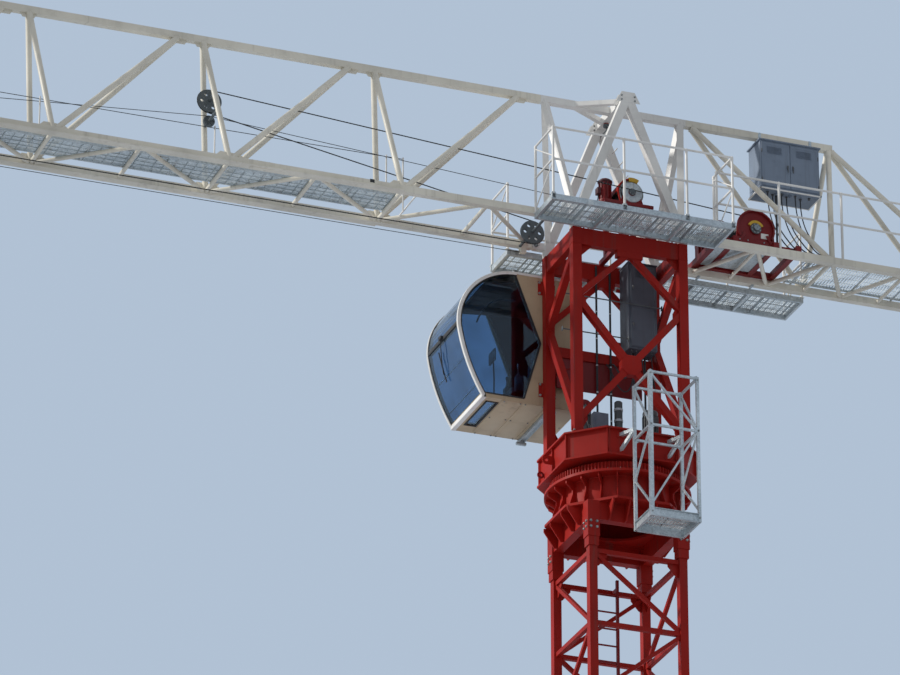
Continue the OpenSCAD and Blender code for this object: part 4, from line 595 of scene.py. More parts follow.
CAD_FINISH = {
    "red": ("base_frame", "mast_legs", "mast_near_lattice", "mast_far_lattice", "mast_left_lattice",
            "mast_right_lattice", "slewing_support", "slewing_frame", "turret_frame",
            "turret_near_bracing", "turret_far_bracing", "turret_side_bracing"),
    "deep_red": ("mast_ladder", "hoist_winch_frame", "hoist_motor", "trolley_winch"),
    "cream": ("jib_top_chord", "jib_bottom_chords", "jib_near_lattice", "jib_far_lattice",
              "jib_bottom_lattice", "counter_jib_chords", "counter_jib_lattice"),
    "white": ("a_frames", "near_guard_rail", "far_guard_rail", "counter_jib_rail", "cab_guard_bars"),
    "bright_zinc": ("access_cage", "jib_walkway"),
    "zinc": ("near_platform", "far_walkway"),
    "cab": ("cab_body",),
    "glass": ("cab_front_glass", "cab_side_glass"),
    "machine": ("slewing_motors", "rope_sheaves"),
    # The control cabinet takes the darker cabinet finish, which carries painted shade.
    "cabinet": ("control_cabinet",),
    "pale_cabinet": ("electrical_cabinet",),
    "concrete": ("counterweights",),
    "greased": ("hoist_drum", "trolley_drum"),
    "cable": ("power_cables",),
    "yellow": ("jib_trolley", "hook_block"),
    "rope": ("hoist_rope",),
    "fine_rope": ("trolley_rope",),
}


# ---- Shapes that several groups use -------------------------------------------


def up(x, y, z):
    """A place counted from the top of the slewing frame."""
    return Vector((x, y, SLEW_Z + z))


def band(outer, inner, low, high, edge=0.0):
    """A strip between two rows of X and Z points, with a thickness along Y."""
    count = len(outer)
    mesh = bpy.data.meshes.new("strip")
    mesh.from_pydata([(x, low, z) for x, z in outer] + [(x, low, z) for x, z in inner], [],
                     [(i, i + 1, count + i + 1, count + i) for i in range(count - 1)])
    obj = bpy.data.objects.new("strip", mesh)
    bpy.context.scene.collection.objects.link(obj)
    editing(obj)
    bpy.ops.mesh.extrude_region_move(TRANSFORM_OT_translate={"value": (0, high - low, 0)})
    bpy.ops.mesh.select_all(action="SELECT")
    bpy.ops.mesh.normals_make_consistent(inside=False)
    done()
    return bevelled(obj, edge) if edge else obj


def window_frame(low, high, width, depth):
    """Four bars round a flat opening in a floor, which reach down by depth."""
    (x0, y0, z0), (x1, y1, _) = low, high
    bars = [((x0, y0, z0 - depth), (x1, y0 + width, z0)), ((x0, y1 - width, z0 - depth), (x1, y1, z0)),
            ((x0, y0, z0 - depth), (x0 + width, y1, z0)), ((x1 - width, y0, z0 - depth), (x1, y1, z0))]
    return joined([slab(a, b, 0.3 * min(width, depth)) for a, b in bars])


def louvre(low, high, count, lean=0.6):
    """Slanting blades across an opening in an X-Z wall, standing out towards -Y."""
    (x0, y0, z0), (x1, _, z1) = low, high
    step = (z1 - z0) / count
    blade = square_bar((x0, y0, z0 + step / 2), (x1, y0, z0 + step / 2), 0.9 * step, 0.12 * step)
    blade.data.transform(Matrix.Translation((0, y0, z0 + step / 2)) @ Matrix.Rotation(lean, 4, "X")
                         @ Matrix.Translation((0, -y0, -z0 - step / 2)))
    return copies(blade, [Matrix.Translation((0, 0, i * step)) for i in range(count)])


def fine_grating(x0, x1, y0, y1, top, pitch=0.034, depth=0.026, cross=0.1):
    """Bearing bars with twisted cross rods, a little under the deck's top."""
    count = max(2, int((x1 - x0) / pitch))
    step = (x1 - x0) / count
    bar = slab((x0, y0, top - depth), (x0 + 0.004, y1, top))
    bars = copies(bar, [Matrix.Translation(((i + 0.5) * step, 0, 0)) for i in range(count)])
    rods = max(2, int((y1 - y0) / cross))
    rod_step = (y1 - y0) / rods
    twisted = slab((x0, y0 - 0.003, top - 0.006), (x1, y0 + 0.003, top - 0.001))
    twisted = copies(twisted, [Matrix.Translation((0, (i + 0.5) * rod_step, 0)) for i in range(rods)])
    return joined([bars, twisted])


def weld(points, radius=0.006):
    """A bead of weld along points."""
    return pipe(points, radius, 8, smooth=False)


def ringed(start, end, radius, sides=20):
    """A weld collar round a tube's end: a low ring at start, towards end."""
    start, end = Vector(start), Vector(end)
    along = (end - start).normalized()
    return turned([(radius - 0.002, -0.012), (radius + 0.006, -0.009), (radius + 0.009, 0.0),
                   (radius + 0.005, 0.011), (radius - 0.002, 0.014)], start, along, sides)


def cap_nut(size):
    """A stud end with its nut, upright on the origin."""
    head = hex_bolt(size)
    deselect()
    bpy.ops.mesh.primitive_cylinder_add(vertices=12, radius=0.3 * size, depth=0.5 * size,
        location=(0, 0, 0.85 * size))
    stud = apply_place()
    editing(stud)
    pick_faces(lambda c, n: n.z > 0.9)
    bpy.ops.mesh.inset(thickness=0.06 * size)
    bpy.ops.transform.translate(value=(0, 0, 0.05 * size))
    done()
    return joined([head, stud])


def pin_head(radius, reach):
    """A pin's end with a chamfer, a washer and its split pin, upright on the origin."""
    body = turned([(0, reach), (radius - 0.006, reach), (radius, reach - 0.006), (radius, 0.004),
                   (1.35 * radius, 0.004), (1.35 * radius, 0.0), (0, 0.0)], (0, 0, 0), (0, 0, 1), 20)
    split = rod((-1.5 * radius, 0, 0.55 * reach), (1.5 * radius, 0, 0.55 * reach), 0.14 * radius, 8)
    ring = turned([(0.3 * radius, -0.1 * radius), (0.4 * radius, 0), (0.3 * radius, 0.1 * radius),
                   (0.2 * radius, 0), (0.3 * radius, -0.1 * radius)], (1.8 * radius, 0, 0.55 * reach),
                   (0, 1, 0), 12)
    return joined([body, split, ring])


def arc_points(start, end, bulge, steps):
    """Points from start to end on an arc that bulges to the right, in X and Z."""
    start, end = Vector(start), Vector(end)
    chord = end - start
    half = chord.length / 2
    radius = (half * half + bulge * bulge) / (2 * bulge)
    side = Vector((chord.y, -chord.x)) / chord.length
    centre = (start + end) / 2 - side * (radius - bulge)
    sweep = math.asin(half / radius)
    turns = [sweep * (2 * i / steps - 1) for i in range(steps + 1)]
    return [centre + radius * (side * math.cos(t) + chord.normalized() * math.sin(t)) for t in turns]


def moved_in(points, depth):
    """An anticlockwise outline drawn further in by depth."""
    def inward(a, b):
        return Vector((a[1] - b[1], b[0] - a[0])).normalized()

    count = len(points)
    made = []
    for i, here in enumerate(points):
        n1 = inward(points[i - 1], here)
        n2 = inward(here, points[(i + 1) % count])
        made.append(Vector(here) + depth * (n1 + n2) / (1 + n1.dot(n2)))
    return made


# ---- Cab -------------------------------------------------------------------------

CAB_IN, CAB_OUT = 0.72, 2.20
CAB_FLOOR, CAB_ROOF = 1.08, 3.48
CAB_BACK, CAB_WALL = -0.4, 0.05
UPPER_STEPS, LOWER_STEPS = 20, 10
CAB_FRONT = (arc_points((-1.5, CAB_ROOF), (-2.565, 2.34), 0.35, UPPER_STEPS)
             + arc_points((-2.565, 2.34), (-2.11, CAB_FLOOR), 0.065, LOWER_STEPS)[1:])
CAB_OUTLINE = [*CAB_FRONT, Vector((CAB_BACK, CAB_FLOOR)), Vector((CAB_BACK, CAB_ROOF))]


def cab_line(depth):
    """The cab's front line at a depth under its outline, from the roof to the toe."""
    return moved_in(CAB_OUTLINE, depth)[:len(CAB_FRONT)]


def lifted(points):
    return [(x, z + SLEW_Z) for x, z in points]


def front_part(low, high, depth):
    """The piece of the cab's front line between two heights."""
    line = cab_line(depth)
    return [point for point in line if low <= point[1] <= high]


def cab_edges():
    """White strips round the cab's glass: both sides, the foot, the roof's front and its drip edges."""
    outer, inner = lifted(cab_line(-0.012)), lifted(cab_line(0.047))
    near = band(outer, inner, CAB_IN - 0.012, CAB_IN + 0.045, 0.005)
    far = band(outer, inner, CAB_OUT - 0.045, CAB_OUT + 0.012, 0.005)
    toe = cab_line(0)[-1]
    foot = slab(up(toe[0] - 0.034, CAB_IN, CAB_FLOOR - 0.012), up(toe[0] + 0.05, CAB_OUT, CAB_FLOOR + 0.068),
        0.008)
    head = slab(up(-1.56, CAB_IN, CAB_ROOF - 0.006), up(-1.45, CAB_OUT, CAB_ROOF + 0.014), 0.006)
    gutters = [slab(up(-1.5, y - 0.014, CAB_ROOF - 0.028), up(CAB_BACK - 0.006, y + 0.014, CAB_ROOF + 0.012),
        0.006)
               for y in (CAB_IN, CAB_OUT)]
    give(joined([near, far, foot, head, *gutters]), "cab_edge_strips", TURNING, "white")


def cab_seals():
    """Black seals of the panes, the dark bar across the front and the frame of the floor window."""
    parts = []
    for y0, y1 in ((CAB_IN + 0.045, CAB_IN + 0.062), (CAB_OUT - 0.062, CAB_OUT - 0.045)):
        parts.append(band(lifted(cab_line(0.0)), lifted(cab_line(0.012)), y0, y1))
    side = [(-1.38, CAB_FLOOR + 0.08), (-1.075, CAB_FLOOR + 0.475 * 2.4), (-1.53, CAB_ROOF - 0.04)]
    for y in (CAB_IN - 0.004, CAB_OUT + 0.004):
        for (x0, z0), (x1, z1) in zip(side, side[1:]):
            parts.append(square_bar(up(x0, y, z0), up(x1, y, z1), 0.012, 0.026, 0.003))
        parts.append(square_bar(up(-1.38, y, CAB_FLOOR + 0.078), up(-2.06, y, CAB_FLOOR + 0.078), 0.012,
            0.022, 0.003))
        parts.append(band(lifted(cab_line(0.047)), lifted(cab_line(0.062)), y - 0.006, y + 0.006))
    x_bar = front_part(2.36, 2.43, 0)[0][0]
    parts.append(slab(up(x_bar - 0.012, CAB_IN + 0.05, 2.352), up(x_bar + 0.06, CAB_OUT - 0.05, 2.428),
        0.008))
    parts.append(window_frame(up(-2.015, CAB_IN + 0.14, CAB_FLOOR), up(-1.785, CAB_OUT - 0.275, CAB_FLOOR),
        0.028, 0.012))
    give(joined(parts), "cab_seals", TURNING, "rubber")


def cab_floor_pan():
    """Floor pan panels with their seams, a cross rail, and bolts under the cab."""
    parts = []
    for x0, x1 in ((-1.765, -1.395), (-1.385, -0.985), (-0.975, -0.41)):
        panel = slab(up(x0, CAB_IN + 0.02, CAB_FLOOR - 0.008), up(x1, CAB_OUT - 0.02, CAB_FLOOR + 0.004))
        editing(panel)
        pick_faces(lambda c, n: n.z < -0.9)
        bpy.ops.mesh.inset(thickness=0.05)
        bpy.ops.mesh.inset(thickness=0.012)
        bpy.ops.transform.translate(value=(0, 0, -0.006))
        done()
        parts.append(bevelled(panel, 0.003))
    give(joined(parts), "cab_floor_pan", TURNING, "cab")
    rail = slab(up(-0.93, CAB_IN - 0.01, CAB_FLOOR - 0.075), up(-0.83, CAB_OUT + 0.01, CAB_FLOOR - 0.012))
    editing(rail)
    pick_faces(lambda c, n: n.z < -0.9)
    bpy.ops.mesh.inset(thickness=0.014)
    bpy.ops.transform.translate(value=(0, 0, 0.045))
    done()
    feet = [slab(up(-0.97, y, CAB_FLOOR - 0.11), up(-0.79, y + 0.06, CAB_FLOOR - 0.06), 0.008)
            for y in (CAB_IN + 0.02, CAB_OUT - 0.08)]
    give(joined([bevelled(rail, 0.003), *feet]), "cab_cross_rail", TURNING, "zinc")
    heads = [(up(x, y, CAB_FLOOR - 0.008), (0, 0, -1)) for x in (-1.72, -1.43, -1.34, -1.03, -0.93, -0.46)
             for y in (CAB_IN + 0.045, 1.46, CAB_OUT - 0.045)]
    give(bolts(0.022, heads), "cab_floor_bolts", TURNING, "bolt")


def cab_roof():
    """Roof skin with ribs, a ventilation box with louvres, and a lamp at each front corner."""
    skin = slab(up(-1.46, CAB_IN + 0.02, CAB_ROOF), up(CAB_BACK, CAB_OUT - 0.02, CAB_ROOF + 0.008), 0.003)
    rib = slab(up(-1.4, CAB_IN + 0.1, CAB_ROOF + 0.006), up(-1.36, CAB_OUT - 0.1, CAB_ROOF + 0.022), 0.006)
    ribs = copies(rib, [Matrix.Translation((0.19 * i, 0, 0)) for i in range(6)])
    give(joined([skin, ribs]), "cab_roof_skin", TURNING, "cab")
    box = slab(up(-1.12, 1.12, CAB_ROOF + 0.02), up(-0.52, 1.82, CAB_ROOF + 0.2), 0.02)
    blades = louvre(up(-1.06, 1.115, CAB_ROOF + 0.05), up(-0.58, 1.115, CAB_ROOF + 0.17), 6)
    fan = turned([(0.15, 0), (0.17, 0.012), (0.165, 0.03), (0.14, 0.034), (0.13, 0.02), (0.0, 0.02)],
                 up(-0.82, 1.47, CAB_ROOF + 0.2), (0, 0, 1), 28)
    give(joined([box, blades, fan]), "cab_ventilation", TURNING, "white")
    lamps, lenses = [], []
    for y in (CAB_IN + 0.2, CAB_OUT - 0.2):
        spot = up(-1.47, y, CAB_ROOF + 0.085)
        aim = Vector((-0.8, 0, -0.6))
        lamps.append(turned([(0.0, 0.07), (0.03, 0.065), (0.062, 0.03), (0.07, 0.0), (0.074, -0.012),
            (0.066, -0.014),
                             (0.06, 0.0)], spot, -aim, 20))
        lamps.append(rod(up(-1.44, y, CAB_ROOF), up(-1.44, y, CAB_ROOF + 0.06), 0.012, 10))
        lenses.append(turned([(0, -0.012), (0.04, -0.008), (0.062, 0.0)], spot, -aim, 20))
    give(joined(lamps), "cab_lamps", TURNING, "machine")
    give(joined(lenses), "cab_lamp_lenses", TURNING, "lamp")


def cab_inside():
    """Dark lining, floor mat, seat with arm consoles, screen, pedals and the blind under the roof."""
    wall = []
    side = [(-1.355, CAB_FLOOR + 0.06), (-0.455, CAB_FLOOR + 0.06), (-0.455, CAB_ROOF - 0.06),
            (-1.5, CAB_ROOF - 0.06), (-1.05, CAB_FLOOR + 0.475 * 2.4)]
    for y in (CAB_IN + CAB_WALL, CAB_OUT - CAB_WALL - 0.014):
        wall.append(plate(lifted(side), y, y + 0.014))
    wall.append(slab(up(-0.47, CAB_IN + 0.06, CAB_FLOOR + 0.055),
        up(-0.452, CAB_OUT - 0.06, CAB_ROOF - 0.055)))
    ceiling = lifted(cab_line(0.062)[:8])
    wall.append(band([*ceiling, (-0.46, SLEW_Z + CAB_ROOF - 0.062)][::-1],
                     [*[(x + 0.01, z - 0.014) for x, z in ceiling], (-0.46, SLEW_Z + CAB_ROOF - 0.08)][::-1],
                     CAB_IN + 0.06, CAB_OUT - 0.06))
    mat = slab(up(-2.02, CAB_IN + 0.06, CAB_FLOOR + 0.05), up(-0.46, CAB_IN + 0.14, CAB_FLOOR + 0.064))
    mat = joined([mat, slab(up(-2.02, CAB_OUT - 0.28, CAB_FLOOR + 0.05),
        up(-0.46, CAB_OUT - 0.06, CAB_FLOOR + 0.064)),
                  slab(up(-1.78, CAB_IN + 0.14, CAB_FLOOR + 0.05),
                  up(-0.46, CAB_OUT - 0.28, CAB_FLOOR + 0.064))])
    give(joined([*wall, mat]), "cab_lining", TURNING, "lining")

    middle = (CAB_IN + CAB_OUT) / 2
    base = turned([(0, 0), (0.2, 0.0), (0.2, 0.02), (0.07, 0.05), (0.06, 0.3), (0.16, 0.36), (0, 0.36)],
                  up(-1.15, middle, CAB_FLOOR + 0.064), (0, 0, 1), 24)
    rails = [slab(up(-1.36, middle + s * 0.27 - 0.05, CAB_FLOOR + 0.42),
        up(-0.98, middle + s * 0.27 + 0.05, CAB_FLOOR + 0.7), 0.02)
             for s in (-1, 1)]
    sticks = []
    for s in (-1, 1):
        foot = up(-1.3, middle + s * 0.27, CAB_FLOOR + 0.7)
        sticks.append(turned([(0.035, 0), (0.03, 0.03), (0.012, 0.05), (0.01, 0.13), (0.022, 0.16),
            (0.024, 0.2),
                              (0.012, 0.225), (0, 0.23)], foot, (0, 0, 1), 16))
    screen = slab(up(-1.86, CAB_IN + 0.14, CAB_FLOOR + 0.78), up(-1.83, CAB_IN + 0.42, CAB_FLOOR + 1.0),
        0.008)
    stalk = pipe([up(-1.83, CAB_IN + 0.28, CAB_FLOOR + 0.06), up(-1.8, CAB_IN + 0.28, CAB_FLOOR + 0.4),
                  up(-1.83, CAB_IN + 0.28, CAB_FLOOR + 0.82)], 0.014)
    pedals = [square_bar(up(-1.93, middle + s * 0.2, CAB_FLOOR + 0.08),
        up(-1.84, middle + s * 0.2, CAB_FLOOR + 0.2), 0.09, 0.012, 0.003)
              for s in (-1, 1)]
    give(joined([base, *rails, *sticks, screen, stalk, *pedals]), "cab_controls", TURNING, "console")

    cushion = slab(up(-1.4, middle - 0.21, CAB_FLOOR + 0.42), up(-0.94, middle + 0.21, CAB_FLOOR + 0.53))
    back = slab(up(-0.96, middle - 0.2, CAB_FLOOR + 0.5), up(-0.84, middle + 0.2, CAB_FLOOR + 1.12))
    rest = slab(up(-0.95, middle - 0.12, CAB_FLOOR + 1.15), up(-0.86, middle + 0.12, CAB_FLOOR + 1.33))
    for part, name in ((cushion, "seat_cushion"), (back, "seat_back"), (rest, "seat_head_rest")):
        editing(part)
        bpy.ops.mesh.subdivide(number_cuts=3)
        done()
        deselect()
        part.select_set(True)
        bpy.context.view_layer.objects.active = part
        soft = part.modifiers.new("crown", "SUBSURF")
        soft.levels = soft.render_levels = 2
        bpy.ops.object.modifier_apply(modifier=soft.name)
        bevelled(part, 0.006)
        give(part, name, TURNING, "seat")


def cab_front_fittings():
    """Wiper with its arm, and a hand rail inside the front."""
    line = lifted(cab_line(-0.035))
    low = [point for point in line if SLEW_Z + 1.45 < point[1] < SLEW_Z + 2.3]
    blade = pipe([(x, 1.62, z) for x, z in low[::2]], 0.011, 8)
    arm = pipe([(line[UPPER_STEPS - 1][0] - 0.005, 1.46, SLEW_Z + 2.39),
        (low[0][0] - 0.012, 1.5, low[0][1] - 0.1),
                (low[len(low) // 2][0] - 0.012, 1.62, low[len(low) // 2][1])], 0.008, 8)
    motor = slab(up(-2.63, 1.40, 2.365), up(-2.56, 1.52, 2.425), 0.012)
    give(joined([blade, arm, motor]), "cab_wiper", TURNING, "rubber")
    rail = pipe([up(-1.5, CAB_IN + 0.09, CAB_ROOF - 0.5), up(-1.9, CAB_IN + 0.09, CAB_ROOF - 0.45),
                 up(-2.1, CAB_IN + 0.09, CAB_ROOF - 0.7), up(-2.2, CAB_IN + 0.09, CAB_ROOF - 1.0)], 0.016)
    give(rail, "cab_hand_rail", TURNING, "console")


def cab_walls():
    """Door in the far wall, back wall hatch, near wall vent and the fixings to the turret."""
    door = slab(up(-1.0, CAB_OUT - 0.002, CAB_FLOOR + 0.09), up(-0.45, CAB_OUT + 0.016, CAB_ROOF - 0.16))
    editing(door)
    pick_faces(lambda c, n: n.y > 0.9)
    bpy.ops.mesh.inset(thickness=0.045)
    bpy.ops.transform.translate(value=(0, -0.008, 0))
    done()
    hatch = slab(up(CAB_BACK - 0.002, 1.1, CAB_FLOOR + 0.5), up(CAB_BACK + 0.016, 1.8, CAB_ROOF - 0.3))
    editing(hatch)
    pick_faces(lambda c, n: n.x > 0.9)
    bpy.ops.mesh.inset(thickness=0.04)
    bpy.ops.transform.translate(value=(-0.008, 0, 0))
    done()
    ribs = louvre(up(-0.72, CAB_IN - 0.002, CAB_FLOOR + 0.28), up(-0.46, CAB_IN - 0.002, CAB_FLOOR + 0.62), 9)
    give(joined([bevelled(door, 0.004), bevelled(hatch, 0.004), ribs]), "cab_wall_panels", TURNING, "cab")
    handle = slab(up(-0.95, CAB_OUT + 0.008, 2.05), up(-0.91, CAB_OUT + 0.0185, 2.26), 0.004)
    rails = [pipe([up(CAB_BACK + 0.002, y, 1.5), up(CAB_BACK + 0.05, y, 1.53), up(CAB_BACK + 0.05, y, 2.75),
                   up(CAB_BACK + 0.002, y, 2.78)], 0.013) for y in (0.95, 2.1)]
    hinges = [rod(up(-0.46, CAB_OUT + 0.005, z), up(-0.46, CAB_OUT + 0.005, z + 0.1), 0.014, 12, 0.003)
              for z in (1.4, 2.2, 3.0)]
    give(joined([handle, *rails, *hinges]), "cab_door_fittings", TURNING, "console")
    plates, heads = [], []
    for z in (CAB_FLOOR + 0.2, CAB_ROOF - 0.3):
        plates.append(slab(up(-1.12, CAB_IN - 0.012, z - 0.05), up(-0.81, CAB_IN + 0.006, z + 0.21), 0.004))
        heads += [(up(x, CAB_IN - 0.012, z + dz), (0, -1, 0)) for x in (-1.095, -0.835)
            for dz in (-0.02, 0.18)]
    give(joined(plates), "cab_fixing_plates", TURNING, "red")
    give(bolts(0.034, heads), "cab_fixing_bolts", TURNING, "bolt")


class CRANE_OT_cab(bpy.types.Operator):
    """Adds the cab's strips, seals, floor pan, roof, inside and fittings"""

    bl_idname = "crane.cab"
    bl_label = "Cab"

    def execute(self, context):
        cab_edges()
        cab_seals()
        cab_floor_pan()
        cab_roof()
        cab_inside()
        cab_front_fittings()
        cab_walls()
        return {"FINISHED"}


# ---- Winches ---------------------------------------------------------------------

HOIST = Vector((2.4, 0, CHORD_TOP + 0.38))
HOIST_R, HOIST_FLANGE, HOIST_L = 0.27, 0.325, 0.86
HOIST_PLATE = 0.466
SKID_TOP = CHORD_TOP + 0.1
HOIST_MOTOR = Vector((2.4 - 0.325 - 0.012 - 0.18 - 0.06, 0, SKID_TOP + 0.24))
WINCH = Vector((0.24, 0, TURRET_TOP + 1.067))
WINCH_R, WINCH_FLANGE, WINCH_L = 0.17, 0.225, 0.36
WINCH_PLATE = 0.208
TABLE_TOP = WINCH.z - 0.225 - 0.08
WINCH_MOTOR = Vector((0.24 - 0.225 - 0.06 - 0.115, 0, TABLE_TOP))


def rope_layer(centre, radius, length, rope_r, name, body):
    """One layer of rope wound on a drum, as rings side by side."""
    turns = int(length / (2.06 * rope_r))
    step = length / turns
    ring = turned([(radius - 0.2 * rope_r + rope_r * math.cos(a), rope_r * math.sin(a))
                   for a in [math.tau * i / 8 for i in range(9)]], (0, 0, 0), (0, 0, 1), 48)
    lay = Matrix.Rotation(math.radians(90), 4, "X")
    rings = copies(ring, [Matrix.Translation(centre + Vector((0, (i + 0.5) * step - length / 2, 0))) @ lay
                          for i in range(turns)])
    give(rings, name, body, "rope")


def drum_faces(centre, flange_r, inner_r, half, thick, name, body):
    """Ribs and a rim bead on the outside of both drum flanges."""
    parts = []
    for side in (-1, 1):
        face = side * (half + thick)
        rim = turned([(flange_r - 0.03, 0.0), (flange_r - 0.026, 0.006), (flange_r - 0.004, 0.006),
            (flange_r - 0.001, 0.0)],
                     centre + Vector((0, face, 0)), (0, side, 0), 48)
        parts.append(rim)
        rib = slab((0.1, -0.006, 0.0), (inner_r, 0.006, 0.007), 0.002)
        parts.append(copies(rib,
            [at(centre + Vector((0, face, 0)), (0, side, 0), math.tau * i / 6) for i in range(6)]))
    give(joined(parts), name, body, "steel")


def hoist_details():
    """Rope, brake disc, bearing caps and hoods, bare plate, gussets and motor cowl of the hoist winch."""
    rope_layer(HOIST, HOIST_R, HOIST_L - 0.004, 0.01, "hoist_rope_layer", HOIST_BODY)
    drum_faces(HOIST, HOIST_FLANGE, 0.29, HOIST_L / 2, 0.024 + 0.0005, "hoist_drum_ribs", HOIST_BODY)

    caps, bars, stiff = [], [], []
    for side in (-1, 1):
        face = side * (HOIST_PLATE + 0.03 + 0.024)
        caps.append(turned([(0.098, 0.0), (0.098, 0.012), (0.09, 0.02), (0.062, 0.024), (0.058, 0.034),
            (0.0, 0.036)],
                           HOIST + Vector((0, face, 0)), (0, side, 0), 32))
        rim = [(math.cos(a), math.sin(a)) for a in [math.radians(-30 + 12 * i) for i in range(21)]]
        outer = [(HOIST.x + 0.352 * c, HOIST.z + 0.352 * s) for c, s in rim]
        inner = [(HOIST.x + 0.322 * c, HOIST.z + 0.322 * s) for c, s in rim]
        y = side * (HOIST_PLATE + 0.03)
        stiff.append(band(outer, inner, min(y, y + side * 0.04), max(y, y + side * 0.04), 0.003))
        for lean in (-0.2, 0.2):
            stiff.append(square_bar((HOIST.x + lean * 1.5, y + side * 0.02, SKID_TOP),
                (HOIST.x + lean, y + side * 0.02, HOIST.z - 0.1),
                                    0.012, 0.045, 0.003))
        bars.append(slab((HOIST.x - 0.35, y - 0.002 if side > 0 else y - 0.016, SKID_TOP),
                         (HOIST.x + 0.35, y + 0.016 if side > 0 else y + 0.002, SKID_TOP + 0.07), 0.003))
    give(joined(caps), "hoist_bearing_caps", TURNING, "machine")
    hood_turns = [math.radians(25 + 13 * i) for i in range(11)]
    hoods = [band([(HOIST.x + 0.155 * math.cos(a), HOIST.z + 0.155 * math.sin(a)) for a in hood_turns],
                  [(HOIST.x + 0.104 * math.cos(a), HOIST.z + 0.104 * math.sin(a)) for a in hood_turns],
                  min(side * 0.495, side * 0.53), max(side * 0.495, side * 0.53), 0.004) for side in (-1, 1)]
    give(joined(hoods), "hoist_bearing_hoods", TURNING, "yellow")
    give(joined(stiff), "hoist_plate_stiffeners", TURNING, "deep_red")
    give(joined(bars), "hoist_plate_feet", TURNING, "deep_red")
    heads = [(HOIST + Vector((0.08 * math.cos(a), side * (HOIST_PLATE + 0.03 + 0.024 + 0.01),
        0.08 * math.sin(a))), (0, side, 0))
             for side in (-1, 1) for a in [math.tau * (i + 0.5) / 8 for i in range(8)]]
    heads += [((HOIST.x + x, side * (HOIST_PLATE + 0.048), SKID_TOP + 0.035), (0, side, 0))
              for side in (-1, 1) for x in (-0.3, -0.15, 0.15, 0.3)]
    give(bolts(0.022, heads), "hoist_winch_bolts", TURNING, "bolt")

    sign = slab((HOIST.x + 0.1, -HOIST_PLATE - 0.036, HOIST.z - 0.16),
        (HOIST.x + 0.24, -HOIST_PLATE - 0.03, HOIST.z - 0.06), 0.002)
    give(sign, "hoist_bare_plate", TURNING, "white")

    shaft_end = turned([(0.055, 0), (0.055, 0.034), (0.05, 0.04), (0.018, 0.04), (0.016, 0.034),
        (0.0, 0.034)],
                       HOIST + Vector((0, -HOIST_PLATE - 0.03 - 0.04, 0)), (0, -1, 0), 28)
    give(shaft_end, "hoist_shaft_end", HOIST_BODY, "steel")

    low = -HOIST_PLATE + 0.12
    cowl = turned([(0.0, 0.0), (0.11, 0.0), (0.16, 0.012), (0.172, 0.03), (0.176, 0.12), (0.168, 0.124),
        (0.16, 0.11)],
                  HOIST_MOTOR + Vector((0, low - 0.01, 0)), (0, 1, 0), 36)
    slots = slab((-0.12, -0.004, -0.004), (0.12, 0.004, 0.004), 0.001)
    slots = copies(slots, [Matrix.Translation(HOIST_MOTOR + Vector((0, low - 0.012, -0.09 + 0.02 * i)))
                           @ Matrix.Diagonal((math.sqrt(max(0.1, 1 - ((-0.09 + 0.02 * i) / 0.13) ** 2)), 1, 1,
                           1)) for i in range(10)])
    box = slab(HOIST_MOTOR + Vector((-0.1, -0.14, 0.16)), HOIST_MOTOR + Vector((0.09, 0.07, 0.28)), 0.01)
    editing(box)
    pick_faces(lambda c, n: n.z > 0.95)
    bpy.ops.mesh.inset(thickness=0.012)
    bpy.ops.transform.translate(value=(0, 0, 0.008))
    done()
    glands = [rod(HOIST_MOTOR + Vector((-0.12, y, 0.22)), HOIST_MOTOR + Vector((-0.09, y, 0.22)), 0.014, 12,
        0.003)
              for y in (-0.09, -0.03, 0.03)]
    give(joined([cowl, slots, box, *glands]), "hoist_motor_cowl", TURNING, "deep_red")
    leads = [pipe([HOIST_MOTOR + Vector((-0.12, y, 0.22)), HOIST_MOTOR + Vector((-0.18, y, 0.21)),
                   HOIST_MOTOR + Vector((-0.21, y - 0.05, 0.05)),
                   HOIST_MOTOR + Vector((-0.2, y - 0.1, -0.14)),
                   HOIST_MOTOR + Vector((-0.16, y - 0.12, -0.225))], 0.01) for y in (-0.09, -0.03, 0.03)]
    give(joined(leads), "hoist_motor_leads", TURNING, "cable")

    disc = turned([(0.05, 0.0), (0.15, 0.0), (0.155, 0.004), (0.155, 0.014), (0.15, 0.018), (0.05, 0.018)],
                  HOIST_MOTOR + Vector((0, HOIST_PLATE - 0.04, 0)), (0, 1, 0), 36)
    caliper = slab(HOIST_MOTOR + Vector((-0.07, HOIST_PLATE - 0.065, 0.08)),
        HOIST_MOTOR + Vector((0.07, HOIST_PLATE + 0.005, 0.19)), 0.012)
    give(disc, "hoist_brake_disc", TURNING, "steel")
    give(caliper, "hoist_brake_caliper", TURNING, "machine")

    tray = slab((HOIST_MOTOR.x - 0.16, -0.4, SKID_TOP - 0.088), (HOIST.x + 0.32, 0.4, SKID_TOP - 0.08), 0.002)
    give(tray, "hoist_drip_tray", TURNING, "zinc")
    guards = [pipe([(HOIST.x + 0.33, y, SKID_TOP + 0.005), (HOIST.x + 0.4, y, HOIST.z - 0.05),
        (HOIST.x + 0.37, y, HOIST.z + 0.2),
                    (HOIST.x + 0.12, y, HOIST.z + 0.372)], 0.009) for y in (-0.3, 0.0, 0.3)]
    guards += [pipe([(x, -0.46, z), (x, 0.46, z)], 0.008, 8, smooth=False)
               for x, z in ((HOIST.x + 0.385, HOIST.z), (HOIST.x + 0.335, HOIST.z + 0.24),
               (HOIST.x + 0.15, HOIST.z + 0.365))]
    give(joined(guards), "hoist_rope_guard", TURNING, "yellow")


